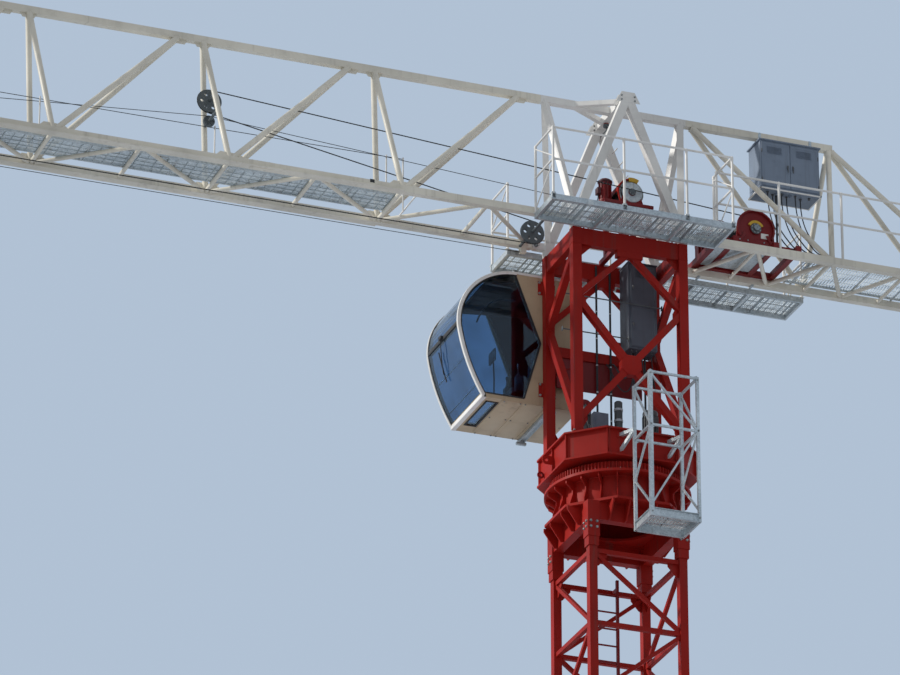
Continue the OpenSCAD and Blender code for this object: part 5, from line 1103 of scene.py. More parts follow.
def trolley_winch_details():
    """Rope, drum covers, guard arc with its yellow top, flared motor top and fixings of the trolley winch."""
    rope_layer(WINCH, WINCH_R, WINCH_L - 0.004, 0.006, "trolley_rope_layer", TROLLEY_BODY)
    drum_faces(WINCH, WINCH_FLANGE, 0.195, WINCH_L / 2, 0.016 + 0.0005, "trolley_drum_ribs", TROLLEY_BODY)
    arcs, caps, tops, discs = [], [], [], []
    for side in (-1, 1):
        y = side * WINCH_PLATE
        turns = [math.radians(100 + 8 * i) for i in range(13)]
        outer = [(WINCH.x + 0.262 * math.cos(a), WINCH.z + 0.262 * math.sin(a)) for a in turns]
        inner = [(WINCH.x + 0.236 * math.cos(a), WINCH.z + 0.236 * math.sin(a)) for a in turns]
        arcs.append(band(outer, inner, min(y, y + side * 0.03), max(y, y + side * 0.03), 0.003))
        end = turns[-1]
        arcs.append(square_bar((WINCH.x + 0.249 * math.cos(end), y + side * 0.014,
            WINCH.z + 0.249 * math.sin(end)),
                               (WINCH.x - 0.19, y + side * 0.014, TABLE_TOP), 0.026, 0.026, 0.003))
        top_turns = [math.radians(62 + 7 * i) for i in range(7)]
        tops.append(band([(WINCH.x + 0.275 * math.cos(a), WINCH.z + 0.275 * math.sin(a)) for a in top_turns],
                         [(WINCH.x + 0.2 * math.cos(a), WINCH.z + 0.2 * math.sin(a)) for a in top_turns],
                         min(y, y + side * 0.04), max(y, y + side * 0.04), 0.004))
        discs.append(turned([(0.0, 0.008), (0.05, 0.008), (0.06, 0.004), (0.17, 0.004), (0.185, 0.008),
            (0.19, 0.0), (0.0, 0.0)],
                            WINCH + Vector((0, side * (WINCH_PLATE + 0.021), 0)), (0, side, 0), 36))
        face = side * (WINCH_PLATE + 0.02 + 0.024)
        caps.append(turned([(0.064, 0.0), (0.064, 0.01), (0.057, 0.018), (0.04, 0.022), (0.036, 0.032),
            (0.0, 0.034)],
                           WINCH + Vector((0, face, 0)), (0, side, 0), 28))
    skin_turns = [math.radians(84 + 6 * i) for i in range(17)]
    outer = [(WINCH.x + 0.262 * math.cos(a), WINCH.z + 0.262 * math.sin(a)) for a in skin_turns]
    inner = [(WINCH.x + 0.256 * math.cos(a), WINCH.z + 0.256 * math.sin(a)) for a in skin_turns]
    arcs.append(band(outer, inner, -WINCH_PLATE, WINCH_PLATE))
    give(joined(arcs), "trolley_drum_guard", TURNING, "red")
    give(joined(caps), "trolley_bearing_caps", TURNING, "machine")
    give(joined(tops), "trolley_guard_tops", TURNING, "yellow")
    give(joined(discs), "trolley_drum_covers", TURNING, "zinc")

    top = turned([(0.0, 0.56), (0.07, 0.56), (0.12, 0.548), (0.128, 0.54), (0.128, 0.52), (0.11, 0.5),
        (0.098, 0.47), (0.098, 0.45)],
                 WINCH_MOTOR, (0, 0, 1), 32)
    box = slab(WINCH_MOTOR + Vector((-0.16, -0.06, 0.28)), WINCH_MOTOR + Vector((-0.09, 0.06, 0.4)), 0.008)
    grid = slab((-0.06, -0.003, 0.0), (0.06, 0.003, 0.004), 0.001)
    grid = copies(grid, [Matrix.Translation(WINCH_MOTOR + Vector((0, -0.05 + 0.0125 * i, 0.56)))
        for i in range(9)])
    foot = [slab(WINCH_MOTOR + Vector((-0.13, y - 0.012, 0.0)), WINCH_MOTOR + Vector((0.13, y + 0.012, 0.06)),
        0.004)
            for y in (-0.145, 0.145)]
    give(joined([top, box, grid, *foot]), "trolley_motor_top", TURNING, "maroon")
    lead = pipe([WINCH_MOTOR + Vector((-0.125, 0, 0.28)), WINCH_MOTOR + Vector((-0.13, 0, 0.2)),
        WINCH_MOTOR + Vector((-0.15, 0.05, 0.05)),
                 WINCH_MOTOR + Vector((-0.15, 0.12, 0.012)), WINCH_MOTOR + Vector((-0.1, 0.3, 0.012))], 0.009)
    give(lead, "trolley_motor_lead", TURNING, "cable")
    heads = [(WINCH_MOTOR + Vector((0.12 * math.cos(a), 0.12 * math.sin(a), 0.03)), (0, 0, 1)) for a in
             [math.tau * (i + 0.5) / 8 for i in range(8)]]
    heads += [(WINCH + Vector((0.05 * math.cos(a), s * (WINCH_PLATE + 0.054), 0.05 * math.sin(a))), (0, s, 0))
              for s in (-1, 1) for a in [math.tau * (i + 0.5) / 6 for i in range(6)]]
    heads += [((WINCH.x + x, s * 0.36, TABLE_TOP), (0, 0, 1)) for x in (-0.3, 0.0, 0.26) for s in (-1, 1)]
    give(bolts(0.018, heads), "trolley_winch_bolts", TURNING, "bolt")
    lips = [slab((WINCH_MOTOR.x - 0.165, y - 0.003, TABLE_TOP - 0.03),
        (WINCH.x + 0.33, y + 0.003, TABLE_TOP + 0.03), 0.002)
            for y in (-0.386, 0.386)]
    lips += [square_bar((WINCH.x + 0.25, s * 0.33, TURRET_TOP + 0.08),
        (WINCH.x + 0.25 - 0.22, s * 0.33, TABLE_TOP - 0.03), 0.03, 0.03, 0.004)
             for s in (-1, 1)]
    give(joined(lips), "trolley_winch_lips", TURNING, "deep_red")


class CRANE_OT_winches(bpy.types.Operator):
    """Adds ropes, caps, guards, cowls, plates and bolts to both winches"""

    bl_idname = "crane.winches"
    bl_label = "Winches"

    def execute(self, context):
        hoist_details()
        trolley_winch_details()
        return {"FINISHED"}


# ---- Turret, cabinets and cables ----------------------------------------------------

FOOT_T = 0.025
BEAM_H, BEAM_T = 0.3, 0.12
BRACE = 0.116
KNEE_Z, BRACE_FOOT_Z = 2.53, 0.26
GUSSET_Z = (KNEE_Z + BRACE_FOOT_Z) / 2
APEX_Z = TURRET_TOP - SLEW_Z - BEAM_H
CONTROL_X = POST_X - POST / 2 - 0.045 - 0.52
CONTROL_BACK = POST_Y - BEAM_T / 2
CONTROL_LOW = TURRET_TOP - SLEW_Z - 0.05 - 1.6
CABINET_BOX = (Vector((2.64, -0.25, TOP_CHORD_Z - CHORD / 2 - 0.11 - 0.93)),
    Vector((3.74, 0.25, TOP_CHORD_Z - CHORD / 2 - 0.11)))


def turret_posts():
    """Foot bolts and stiffeners of the posts, weld beads and corner knee plates."""
    heads, plates, beads = [], [], []
    for sx in (-1, 1):
        for sy in (-1, 1):
            x, y = sx * POST_X, sy * POST_Y
            heads += [(up(x + dx * 0.093, y + dy * 0.093, FOOT_T), (0, 0, 1)) for dx in (-1, 1)
                for dy in (-1, 1)]
            heads += [(up(x + dx * 0.093, y, FOOT_T), (0, 0, 1)) for dx in (-1, 1)]
            for dx in (-1, 1):
                edge = x + dx * POST / 2
                plates.append(plate([(edge - dx * 0.002, SLEW_Z + FOOT_T),
                    (edge + dx * 0.028, SLEW_Z + FOOT_T),
                                     (edge + dx * 0.028, SLEW_Z + 0.05), (edge + dx * 0.006, SLEW_Z + 0.16),
                                     (edge - dx * 0.002, SLEW_Z + 0.16)],
                                    y - 0.008, y + 0.008, "XZ", 0.002))
            for z in (FOOT_T, TURRET_TOP - SLEW_Z - BEAM_H):
                a = POST / 2 + 0.001
                beads.append(weld([up(x - a, y - a, z + 0.004), up(x + a, y - a, z + 0.004),
                    up(x + a, y + a, z + 0.004),
                                   up(x - a, y + a, z + 0.004), up(x - a, y - a, z + 0.004)], 0.005))
    for sx in (-1, 1):
        corner = sx * (POST_X - POST / 2)
        near = -POST_Y
        plates.append(plate([(corner + sx * 0.002, SLEW_Z + APEX_Z), (corner - sx * 0.2, SLEW_Z + APEX_Z),
            (corner - sx * 0.17, SLEW_Z + APEX_Z - 0.04),
                             (corner - sx * 0.04, SLEW_Z + APEX_Z - 0.17),
                             (corner + sx * 0.002, SLEW_Z + APEX_Z - 0.2)], near - 0.009, near + 0.009, "XZ",
                             0.002))
    give(joined(plates), "turret_stiffeners", TURNING, "red")
    give(joined(beads), "turret_welds", TURNING, "red")
    give(bolts(0.034, heads), "turret_foot_bolts", TURNING, "bolt")


def turret_bracing_details():
    """Weld beads where the braces meet and the knee plates' edge flanges."""
    beads = []
    reach = 0.175
    corners = [(reach / math.cos(math.radians(22.5)) * math.cos(math.radians(22.5 + 45 * i)),
                reach / math.cos(math.radians(22.5)) * math.sin(math.radians(22.5 + 45 * i)))
                for i in range(9)]
    beads.append(weld([up(x, -POST_Y - BRACE / 2 - 0.002, GUSSET_Z + z) for x, z in corners], 0.006))
    plates = []
    for sx in (-1, 1):
        for z in (KNEE_Z, BRACE_FOOT_Z):
            lean = -1 if z == KNEE_Z else 1
            x = sx * (POST_X - POST / 2)
            plates.append(plate([(x + sx * 0.002, SLEW_Z + z - 0.16), (x + sx * 0.002, SLEW_Z + z + 0.16),
                (x - sx * 0.1, SLEW_Z + z + 0.06 + lean * 0.09),
                                 (x - sx * 0.1, SLEW_Z + z - 0.06 + lean * 0.09)], -POST_Y - 0.012,
                                 -POST_Y + 0.012, "XZ", 0.003))
            beads.append(weld([up(x, -POST_Y - 0.05, z - 0.07 + lean * 0.02),
                up(x, -POST_Y - 0.06, z + 0.07 + lean * 0.02)], 0.006))
    knee_w, knee_h, knee_r = 0.52, 0.72, 0.47
    for sx in (-1, 1):
        for low, mid in ((0.0, knee_h), (2.05 - knee_h, 2.05 - knee_h)):
            turns = [math.radians((-90 if mid > low else 0) + 9 * i) for i in range(11)]
            curve = [(sx * (POST_X - knee_w + knee_r * math.cos(a)), SLEW_Z + mid + knee_r * math.sin(a))
                for a in turns]
            inner = [(sx * (POST_X - knee_w + (knee_r + 0.012) * math.cos(a)),
                SLEW_Z + mid + (knee_r + 0.012) * math.sin(a)) for a in turns]
            plates.append(band(curve, inner, POST_Y - 0.045, POST_Y + 0.045, 0.002))
    give(joined(beads), "bracing_welds", TURNING, "red")
    give(joined(plates), "bracing_plates", TURNING, "red")


def turret_fittings():
    """Thin rods, cable clamps, lifting eyes and the plain panel under the far portal beam."""
    thin = [rod(up(-POST_X + 0.07, 0.1, 2.93), up(POST_X - 0.07, 0.1, 2.93), 0.011, 10),
            rod(up(-POST_X + 0.07, 0.19, 2.31), up(CONTROL_X, 0.19, 2.31), 0.011, 10)]
    ends = [slab(up(x - 0.006, y - 0.03, z - 0.04), up(x + 0.006, y + 0.03, z + 0.04), 0.002)
            for x, y, z in ((-POST_X + 0.075, 0.1, 2.93), (POST_X - 0.075, 0.1, 2.93),
            (-POST_X + 0.075, 0.19, 2.31), (CONTROL_X - 0.007, 0.19, 2.31))]
    give(joined([*thin, *ends]), "turret_thin_rods", TURNING, "machine")
    panel = slab(up(-0.84, POST_Y - 0.03, 1.4), up(0.72, POST_Y, 1.965))
    editing(panel)
    pick_faces(lambda c, n: abs(n.y) > 0.9)
    bpy.ops.mesh.inset(thickness=0.03, use_individual=True)
    bpy.ops.mesh.inset(thickness=0.006, depth=-0.005, use_individual=True)
    done()
    give(bevelled(panel, 0.003), "turret_far_panel", TURNING, "deep_red")
    straps = []
    for z in [0.4 + 0.5 * i for i in range(6)]:
        for x in (-0.12, 0.13):
            straps.append(turned([(0.017, -0.012), (0.0195, -0.012), (0.0195, 0.012), (0.017, 0.012)],
                                 up(x, CONTROL_BACK - 0.017, z), (0, 0, 1), 14))
    give(joined(straps), "cable_clamps", TURNING, "bright_zinc")
    eyes = []
    for sx in (-1, 1):
        for sy in (-1, 1):
            eye = turned([(0.03, -0.009), (0.052, -0.009), (0.055, 0.0), (0.052, 0.009), (0.03, 0.009),
                (0.028, 0.0), (0.03, -0.009)],
                         up(sx * (POST_X - 0.2), sy * (POST_Y - 0.02), TURRET_TOP - SLEW_Z + 0.048),
                         (0, 1, 0), 24)
            eyes.append(eye)
    give(joined(eyes), "turret_lifting_eyes", TURNING, "red")


def control_cabinet_details():
    """Door frames, hinges, locks, vents, glands, cable loops and the cabinet's brackets."""
    front = CONTROL_BACK - 0.38 - 0.014
    x0, x1 = CONTROL_X + 0.03, CONTROL_X + 0.49
    z0, z1 = CONTROL_LOW + 0.03, CONTROL_LOW + 1.57
    doors = []
    mid = (z0 + z1) / 2
    for low, high in ((z0 + 0.01, mid - 0.006), (mid + 0.006, z1 - 0.01)):
        door = slab(up(x0 + 0.01, front - 0.01, low), up(x1 - 0.01, front + 0.002, high))
        editing(door)
        pick_faces(lambda c, n: n.y < -0.9)
        bpy.ops.mesh.inset(thickness=0.03)
        bpy.ops.mesh.inset(thickness=0.008)
        bpy.ops.transform.translate(value=(0, 0.006, 0))
        done()
        doors.append(bevelled(door, 0.003))
    lid = slab(up(CONTROL_X - 0.012, CONTROL_BACK - 0.41, CONTROL_LOW + 1.59),
        up(CONTROL_X + 0.532, CONTROL_BACK + 0.0, CONTROL_LOW + 1.612), 0.005)
    vents = louvre(up(x0 + 0.1, front - 0.006, z1 - 0.24), up(x1 - 0.1, front - 0.006, z1 - 0.08), 7)
    # The doors take the control cabinet's finish, darkened as painted shade.
    give(joined([*doors, lid, vents]), "control_cabinet_doors", TURNING, "cabinet")
    fittings = [rod(up(x1 - 0.014, front - 0.012, z), up(x1 - 0.014, front - 0.012, z + 0.07), 0.009, 10,
        0.002)
                for z in (z0 + 0.1, mid - 0.16, mid + 0.1, z1 - 0.2)]
    for z in (mid - 0.35, mid + 0.35):
        fittings.append(turned([(0, 0.016), (0.014, 0.016), (0.018, 0.01), (0.02, 0.0)],
            up(x0 + 0.05, front - 0.01, z), (0, -1, 0), 16))
        fittings.append(slab(up(x0 + 0.042, front - 0.032, z - 0.05),
            up(x0 + 0.058, front - 0.022, z + 0.012), 0.003))
    glands = [rod(up(x, y, CONTROL_LOW - 0.03), up(x, y, CONTROL_LOW + 0.004), 0.017, 12, 0.003)
              for x in (CONTROL_X + 0.08, CONTROL_X + 0.16, CONTROL_X + 0.26, CONTROL_X + 0.44)
              for y in (CONTROL_BACK - 0.3, CONTROL_BACK - 0.1)]
    give(joined([*fittings, *glands]), "control_cabinet_fittings", TURNING, "console")
    brackets = [slab(up(CONTROL_X - 0.06, CONTROL_BACK - 0.01, z),
        up(CONTROL_X + 0.6, CONTROL_BACK + 0.03, z + 0.05), 0.004)
                for z in (CONTROL_LOW + 0.2, CONTROL_LOW + 1.2)]
    give(joined(brackets), "control_cabinet_brackets", TURNING, "red")
    loops = []
    for i, (x, reach, drop) in enumerate(((CONTROL_X + 0.08, -0.3, 0.5), (CONTROL_X + 0.16, -0.42, 0.75),
            (CONTROL_X + 0.26, 0.22, 0.6), (CONTROL_X + 0.44, 0.28, 0.9))):
        y = CONTROL_BACK - 0.3
        end = max(-0.8, min(0.82, x + reach))
        points = [up(x, y, CONTROL_LOW - 0.02), up(x, y, CONTROL_LOW - 0.15),
            up(x + 0.2 * reach, y - 0.02, CONTROL_LOW - drop),
                  up(x + 0.6 * reach, y - 0.05, CONTROL_LOW - drop - 0.12),
                  up(end, y - 0.03, CONTROL_LOW - drop + 0.1),
                  up(end, y + 0.1, CONTROL_LOW - 0.5 * drop), up(end, CONTROL_BACK - 0.01, CONTROL_LOW - 0.2)]
        loops.append(pipe(points, 0.013 - 0.001 * i, 10))
    give(joined(loops), "control_cable_loops", TURNING, "cable")


def electrical_cabinet_details():
    """Doors, handles, hinges, louvres, light rim, glands and hanging cables of the outer cabinet."""
    low, high = CABINET_BOX
    doors = []
    x_mid = (low.x + high.x) / 2
    for a, b in ((low.x + 0.02, x_mid - 0.006), (x_mid + 0.006, high.x - 0.02)):
        door = slab((a, low.y - 0.014, low.z + 0.06), (b, low.y + 0.002, high.z - 0.03))
        editing(door)
        pick_faces(lambda c, n: n.y < -0.9)
        bpy.ops.mesh.inset(thickness=0.035)
        bpy.ops.mesh.inset(thickness=0.008)
        bpy.ops.transform.translate(value=(0, 0.007, 0))
        done()
        doors.append(bevelled(door, 0.003))
    roof = slab((low.x - 0.03, low.y - 0.03, high.z - 0.004), (high.x + 0.03, high.y + 0.03, high.z + 0.022),
        0.006)
    vents = [louvre((a + 0.12, low.y - 0.01, high.z - 0.24), (a + 0.4, low.y - 0.01, high.z - 0.1), 6)
        for a in (low.x, x_mid)]
    sides = [slab((x - 0.004, low.y + 0.04, low.z + 0.1), (x + 0.004, high.y - 0.04, high.z - 0.08), 0.003)
        for x in (low.x - 0.002, high.x + 0.002)]
    give(joined([*doors, roof, *vents, *sides]), "outer_cabinet_doors", TURNING, "pale_cabinet")
    rim = window_frame((low.x - 0.027, low.y - 0.027, low.z + 0.018),
        (high.x + 0.027, high.y + 0.027, low.z + 0.018), 0.03, 0.02)
    give(rim, "outer_cabinet_rim", TURNING, "white")
    parts = []
    for x in (x_mid - 0.05, x_mid + 0.05):
        parts.append(slab((x - 0.012, low.y - 0.034, low.z + 0.42), (x + 0.012, low.y - 0.014, low.z + 0.5),
            0.005))
        parts.append(slab((x - 0.008, low.y - 0.046, low.z + 0.36), (x + 0.008, low.y - 0.034, low.z + 0.47),
            0.004))
    for x in (low.x + 0.022, high.x - 0.022):
        parts += [rod((x, low.y - 0.016, z), (x, low.y - 0.016, z + 0.07), 0.009, 10, 0.002)
            for z in (low.z + 0.14, high.z - 0.24)]
    for i in range(7):
        x = low.x + 0.16 + 0.13 * i
        parts.append(turned([(0.0, -0.04), (0.014, -0.04), (0.016, -0.03), (0.016, -0.012), (0.026, -0.01),
            (0.026, 0.0), (0.0, 0.0)],
                            (x, low.y + 0.1 + 0.08 * (i % 2), low.z), (0, 0, 1), 14))
    give(joined(parts), "outer_cabinet_fittings", TURNING, "console")
    leads = []
    for i in range(6):
        x = low.x + 0.16 + 0.13 * i
        y = low.y + 0.1 + 0.08 * (i % 2)
        end = HOIST.x + 0.62 + 0.13 * i
        leads.append(pipe([(x, y, low.z - 0.03), (x, y, low.z - 0.25), (x + 0.05, y - 0.03, low.z - 0.6),
            (0.6 * x + 0.4 * end, -0.45, CHORD_TOP + 0.3),
                           (end, -0.55, CHORD_TOP + 0.05), (end + 0.1, -POST_Y, CHORD_TOP + 0.012)], 0.011,
                           10))
    give(joined(leads), "outer_cabinet_leads", TURNING, "cable")
    straps = [slab((x, -CHORD / 2 - 0.006, high.z - 0.004),
        (x + 0.05, CHORD / 2 + 0.006, TOP_CHORD_Z + CHORD / 2 + 0.002), 0.001)
              for x in (low.x + 0.05, high.x - 0.1)]
    give(joined(straps), "outer_cabinet_straps", TURNING, "zinc")


class CRANE_OT_turret(bpy.types.Operator):
    """Adds the turret's bolts, plates, welds, clamps and thin rods"""

    bl_idname = "crane.turret"
    bl_label = "Turret"

    def execute(self, context):
        turret_posts()
        turret_bracing_details()
        turret_fittings()
        return {"FINISHED"}


class CRANE_OT_cabinets(bpy.types.Operator):
    """Adds doors, fittings and cables to both cabinets"""

    bl_idname = "crane.cabinets"
    bl_label = "Cabinets"

    def execute(self, context):
        control_cabinet_details()
        electrical_cabinet_details()
        return {"FINISHED"}


# ---- Platforms, rails and the access cage ---------------------------------------------

DECK_TOP = TURRET_TOP - SLEW_Z + 0.1
DECK_IN = POST_Y + CHORD / 2 + 0.025
NEAR_DECK = (-1.74, 1.56, DECK_IN, DECK_IN + 0.84)
FAR_DECK = (-1.68, 3.81, DECK_IN, DECK_IN + 0.77)
RAIL_D, RAIL_TOP, RAIL_MID = 0.045, 1.25, 0.66
EDGE = 0.02
CAGE_X, CAGE_Y = (-0.25, 0.59), (-2.06, -1.37)
CAGE_TOP, CAGE_FLOOR, CAGE_MID, CAGE_RIM = 0.67, 1.78, 0.3, 0.15


def rail_group(x0, x1, y_in, y_out, posts, name):
    """Round guard rails with rounded caps, clamps and base plates, in the place of the eight-sided ones."""
    low = DECK_TOP
    top = low + RAIL_TOP
    parts, shoes = [], []
    stands = [(x, y_out) for x in (x0, x1, *posts)] + [(x0, y_in), (x1, y_in)]
    for x, y in stands:
        parts.append(turned([(0.0, RAIL_TOP + 0.0225), (0.014, RAIL_TOP + 0.021),
            (RAIL_D / 2 - 0.001, RAIL_TOP + 0.012), (RAIL_D / 2, RAIL_TOP),
                             (RAIL_D / 2, 0.0), (0.0, 0.0)], up(x, y, low), (0, 0, 1), 18))
        shoes.append(slab(up(x - 0.045, y - 0.02, low + 0.0002), up(x + 0.045, y + 0.02, low + 0.01), 0.003))
    bar = 0.42 * RAIL_D
    for h in (RAIL_MID, RAIL_TOP):
        parts.append(rod(up(x0, y_out, low + h), up(x1, y_out, low + h), bar, 16))
        for x in (x0, x1):
            parts.append(rod(up(x, y_in, low + h), up(x, y_out, low + h), bar, 16))
        for x, y in stands:
            parts.append(turned([(RAIL_D / 2, -0.025), (RAIL_D / 2 + 0.003, -0.022),
                (RAIL_D / 2 + 0.003, 0.022), (RAIL_D / 2, 0.025)],
                                up(x, y, low + h - (0.028 if h == RAIL_TOP else 0)), (0, 0, 1), 18))
    for x in (x0, x1):
        parts.append(rod(up(x, y_in, low + 0.08), up(x, y_out, low + RAIL_MID - 0.05), 0.25 * RAIL_D, 10))
        parts.append(rod(up(x, y_out, low + RAIL_MID + 0.05), up(x, y_in, top - 0.05), 0.25 * RAIL_D, 10))
    rail = give(joined(parts), name, TURNING, "white")
    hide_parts(name.replace("_tubes", ""))
    give(joined(shoes), name.replace("_tubes", "_shoes"), TURNING, "white")


def deck_details(deck, side, posts, name):
    """Fine grating between the bearing bars, bolts, eyes and post sockets of one deck."""
    x0, x1, y_in, y_out = deck
    low, high = (y_in, y_out) if side > 0 else (-y_out, -y_in)
    mesh = fine_grating(x0 + 0.045, x1 - 0.045, low + 0.042, high - 0.042, SLEW_Z + DECK_TOP - 0.001)
    give(mesh, name + "_grating", TURNING, "bright_zinc")
    out = y_out * side
    sockets = []
    for x in posts:
        sockets.append(slab(up(x - 0.036, min(out, out - side * 0.045), DECK_TOP - 0.085),
            up(x + 0.036, max(out, out - side * 0.045), DECK_TOP + 0.035), 0.004))
    give(joined(sockets), name + "_post_sockets", TURNING, "zinc")
    heads = [(up(x + dx, out - side * 0.001, DECK_TOP - 0.045), (0, side, 0)) for x in posts
        for dx in (-0.02, 0.02)]
    count = int((x1 - x0) / 0.4)
    heads += [(up(x0 + (i + 0.5) * (x1 - x0) / count, y, DECK_TOP - 0.0295), (0, 0, 1)) for i in range(count)
              for y in (low + 0.06, high - 0.06)]
    give(bolts(0.018, heads), name + "_bolts", TURNING, "bolt")
    lugs = []
    for x in (x0 + 0.25, x1 - 0.25):
        lugs.append(turned([(0.018, -0.006), (0.034, -0.006), (0.036, 0.0), (0.034, 0.006), (0.018, 0.006),
            (0.016, 0.0), (0.018, -0.006)],
                           up(x, side * (y_in + 0.02), DECK_TOP + 0.028), (0, 1, 0), 18))
    give(joined(lugs), name + "_lugs", TURNING, "cream")


def deck_underside(deck, side, name):
    """Angle joists under a deck's grating."""
    x0, x1, y_in, y_out = deck
    low, high = sorted((side * y_in, side * y_out))
    parts = []
    count = max(3, int((x1 - x0) / 0.62))
    for i in range(1, count):
        x = x0 + i * (x1 - x0) / count
        parts.append(slab(up(x - 0.02, low + 0.03, DECK_TOP - 0.036),
            up(x + 0.02, high - 0.03, DECK_TOP - 0.031), 0.001))
        parts.append(slab(up(x - 0.003, low + 0.03, DECK_TOP - 0.07),
            up(x + 0.003, high - 0.03, DECK_TOP - 0.034), 0.001))
    give(joined(parts), name + "_joists", TURNING, "zinc")


def cage_details():
    """Fine floor grating, lips, post caps, gussets, bolts and arm shoes of the access cage."""
    floor = fine_grating(CAGE_X[0] + 0.014, CAGE_X[1] - 0.014, CAGE_Y[0] + 0.014, CAGE_Y[1] - 0.014,
        SLEW_Z - CAGE_FLOOR - 0.001, 0.03, 0.02, 0.08)
    give(floor, "cage_floor_grating", TURNING, "bright_zinc")
    lips = []
    for y0, y1 in ((CAGE_Y[0] - 0.026, CAGE_Y[0] + 0.001), (CAGE_Y[1] - 0.001, CAGE_Y[1] + 0.026)):
        for z in (-CAGE_FLOOR - 0.012, -CAGE_FLOOR - CAGE_RIM):
            lips.append(slab(up(CAGE_X[0], y0, z), up(CAGE_X[1], y1, z + 0.012), 0.003))
    for x0, x1 in ((CAGE_X[0] - 0.026, CAGE_X[0] + 0.001), (CAGE_X[1] - 0.001, CAGE_X[1] + 0.026)):
        for z in (-CAGE_FLOOR - 0.012, -CAGE_FLOOR - CAGE_RIM):
            lips.append(slab(up(x0, CAGE_Y[0], z), up(x1, CAGE_Y[1], z + 0.012), 0.003))
    caps = [turned([(0.0, 0.006), (0.026, 0.006), (0.033, 0.0), (0.033, -0.012)], up(x, y, CAGE_TOP),
        (0, 0, 1), 4)
            for x in CAGE_X for y in CAGE_Y]
    give(joined([*lips, *caps]), "cage_trim", TURNING, "zinc")
    plates = []
    for x in CAGE_X:
        for y in CAGE_Y:
            for z in (-CAGE_MID, CAGE_TOP - 0.018):
                inward = 1 if x == CAGE_X[0] else -1
                plates.append(plate([(x, SLEW_Z + z + 0.05), (x + inward * 0.09, SLEW_Z + z + 0.012),
                    (x + inward * 0.09, SLEW_Z + z - 0.012), (x, SLEW_Z + z - 0.09)]
                                    if inward > 0 else
                                    [(x, SLEW_Z + z - 0.09), (x - 0.09, SLEW_Z + z - 0.012),
                                    (x - 0.09, SLEW_Z + z + 0.012), (x, SLEW_Z + z + 0.05)],
                                    y - 0.004, y + 0.004, "XZ", 0.001))
    give(joined(plates), "cage_gussets", TURNING, "zinc")
    heads = []
    for x in (CAGE_X[0], CAGE_X[1]):
        heads += [(up(x, CAGE_Y[0] - 0.033, z), (0, -1, 0))
            for z in (-CAGE_MID, CAGE_TOP - 0.05, -CAGE_FLOOR - 0.075)]
    arms = [(-0.38, -0.11), (0.47, -0.11), (-0.36, -0.40), (0.48, -0.40)]
    shoes = [slab(up(x - 0.07, -1.102, z - 0.055), up(x + 0.07, -1.089, z + 0.055), 0.004) for x, z in arms]
    give(joined(shoes), "cage_arm_shoes", TURNING, "red")
    give(bolts(0.024, heads), "cage_bolts", TURNING, "bolt")


class CRANE_OT_platforms(bpy.types.Operator):
    """Adds gratings, round rails and fixings to the platforms, and dresses the cage"""

    bl_idname = "crane.platforms"
    bl_label = "Platforms and cage"

    def execute(self, context):
        near_posts = [NEAR_DECK[0] + EDGE, NEAR_DECK[1] - EDGE, 0.25 * NEAR_DECK[0], 0.45 * NEAR_DECK[1]]
        span = (FAR_DECK[1] - FAR_DECK[0]) / 5
        far_posts = [FAR_DECK[0] + EDGE, FAR_DECK[1] - EDGE, *[FAR_DECK[0] + i * span for i in range(1, 5)]]
        rail_group(near_posts[0], near_posts[1], -DECK_IN - EDGE, -NEAR_DECK[3] + EDGE, near_posts[2:],
            "near_guard_rail_tubes")
        rail_group(far_posts[0], far_posts[1], DECK_IN + EDGE, FAR_DECK[3] - EDGE, far_posts[2:],
            "far_guard_rail_tubes")
        deck_details(NEAR_DECK, -1, near_posts, "near_deck")
        deck_details(FAR_DECK, 1, far_posts, "far_deck")
        deck_underside(NEAR_DECK, -1, "near_deck")
        deck_underside(FAR_DECK, 1, "far_deck")
        cage_details()
        return {"FINISHED"}


# ---- Slewing ring, frame and motors -----------------------------------------------------

SEAT_TOP = SLEW_Z - 0.73
FLANGE_TOP = SEAT_TOP - 0.49
MOTOR_X, GEAR_TOP, MOTOR_TOP = 0.61, 0.42, 0.88
WEB_Y = 1.09


def on_ring(radius, z, count, facing, first=0.0):
    """Places round the slewing axis, at a height above the ground."""
    turns = [math.tau * (i + first) / count for i in range(count)]
    return [(Vector((radius * math.cos(a), radius * math.sin(a), z)), facing) for a in turns]


def support_details():
    """Bolt rings, weld beads and socket bolts of the slewing ring's support."""
    give(bolts(0.036, on_ring(1.06, FLANGE_TOP, 16, (0, 0, 1), 0.5)), "support_bolts", FIXED, "bolt")
    give(bolts(0.022, on_ring(1.195, SEAT_TOP, 36, (0, 0, 1))), "ring_bolts", FIXED, "bolt")
    beads = [turned([(0.998, 0.0), (1.011, 0.001), (0.998, 0.013)], (0, 0, FLANGE_TOP), (0, 0, 1), 72),
             turned([(0.998, -0.013), (1.011, -0.001), (0.998, 0.0)], (0, 0, SEAT_TOP - 0.045), (0, 0, 1),
             72)]
    give(joined(beads), "support_welds", FIXED, "red")
    sockets = []
    for sx in (-1, 1):
        for sy in (-1, 1):
            for z in (FLANGE_TOP - 0.52, FLANGE_TOP - 0.42):
                for dx in (-0.055, 0.055):
                    sockets.append((Vector((sx * 0.8 + dx, sy * 0.905, z)), (0, sy, 0)))
                    sockets.append((Vector((sx * 0.905, sy * 0.8 + dx, z)), (sx, 0, 0)))
    give(bolts(0.034, sockets), "socket_bolts", FIXED, "bolt")


def stiffener(face, side, middle, plane):
    """An upright stiffener outside the slewing frame's web, cut back between its two plates."""
    outline = [(-0.002, -0.03), (0.045, -0.03), (0.045, -0.08), (0.012, -0.2),
               (0.012, -0.33), (0.045, -0.42), (0.045, -0.47), (-0.002, -0.47)]
    return plate([(face + side * out, SLEW_Z + z) for out, z in outline], middle - 0.007, middle + 0.007,
        plane, 0.002)


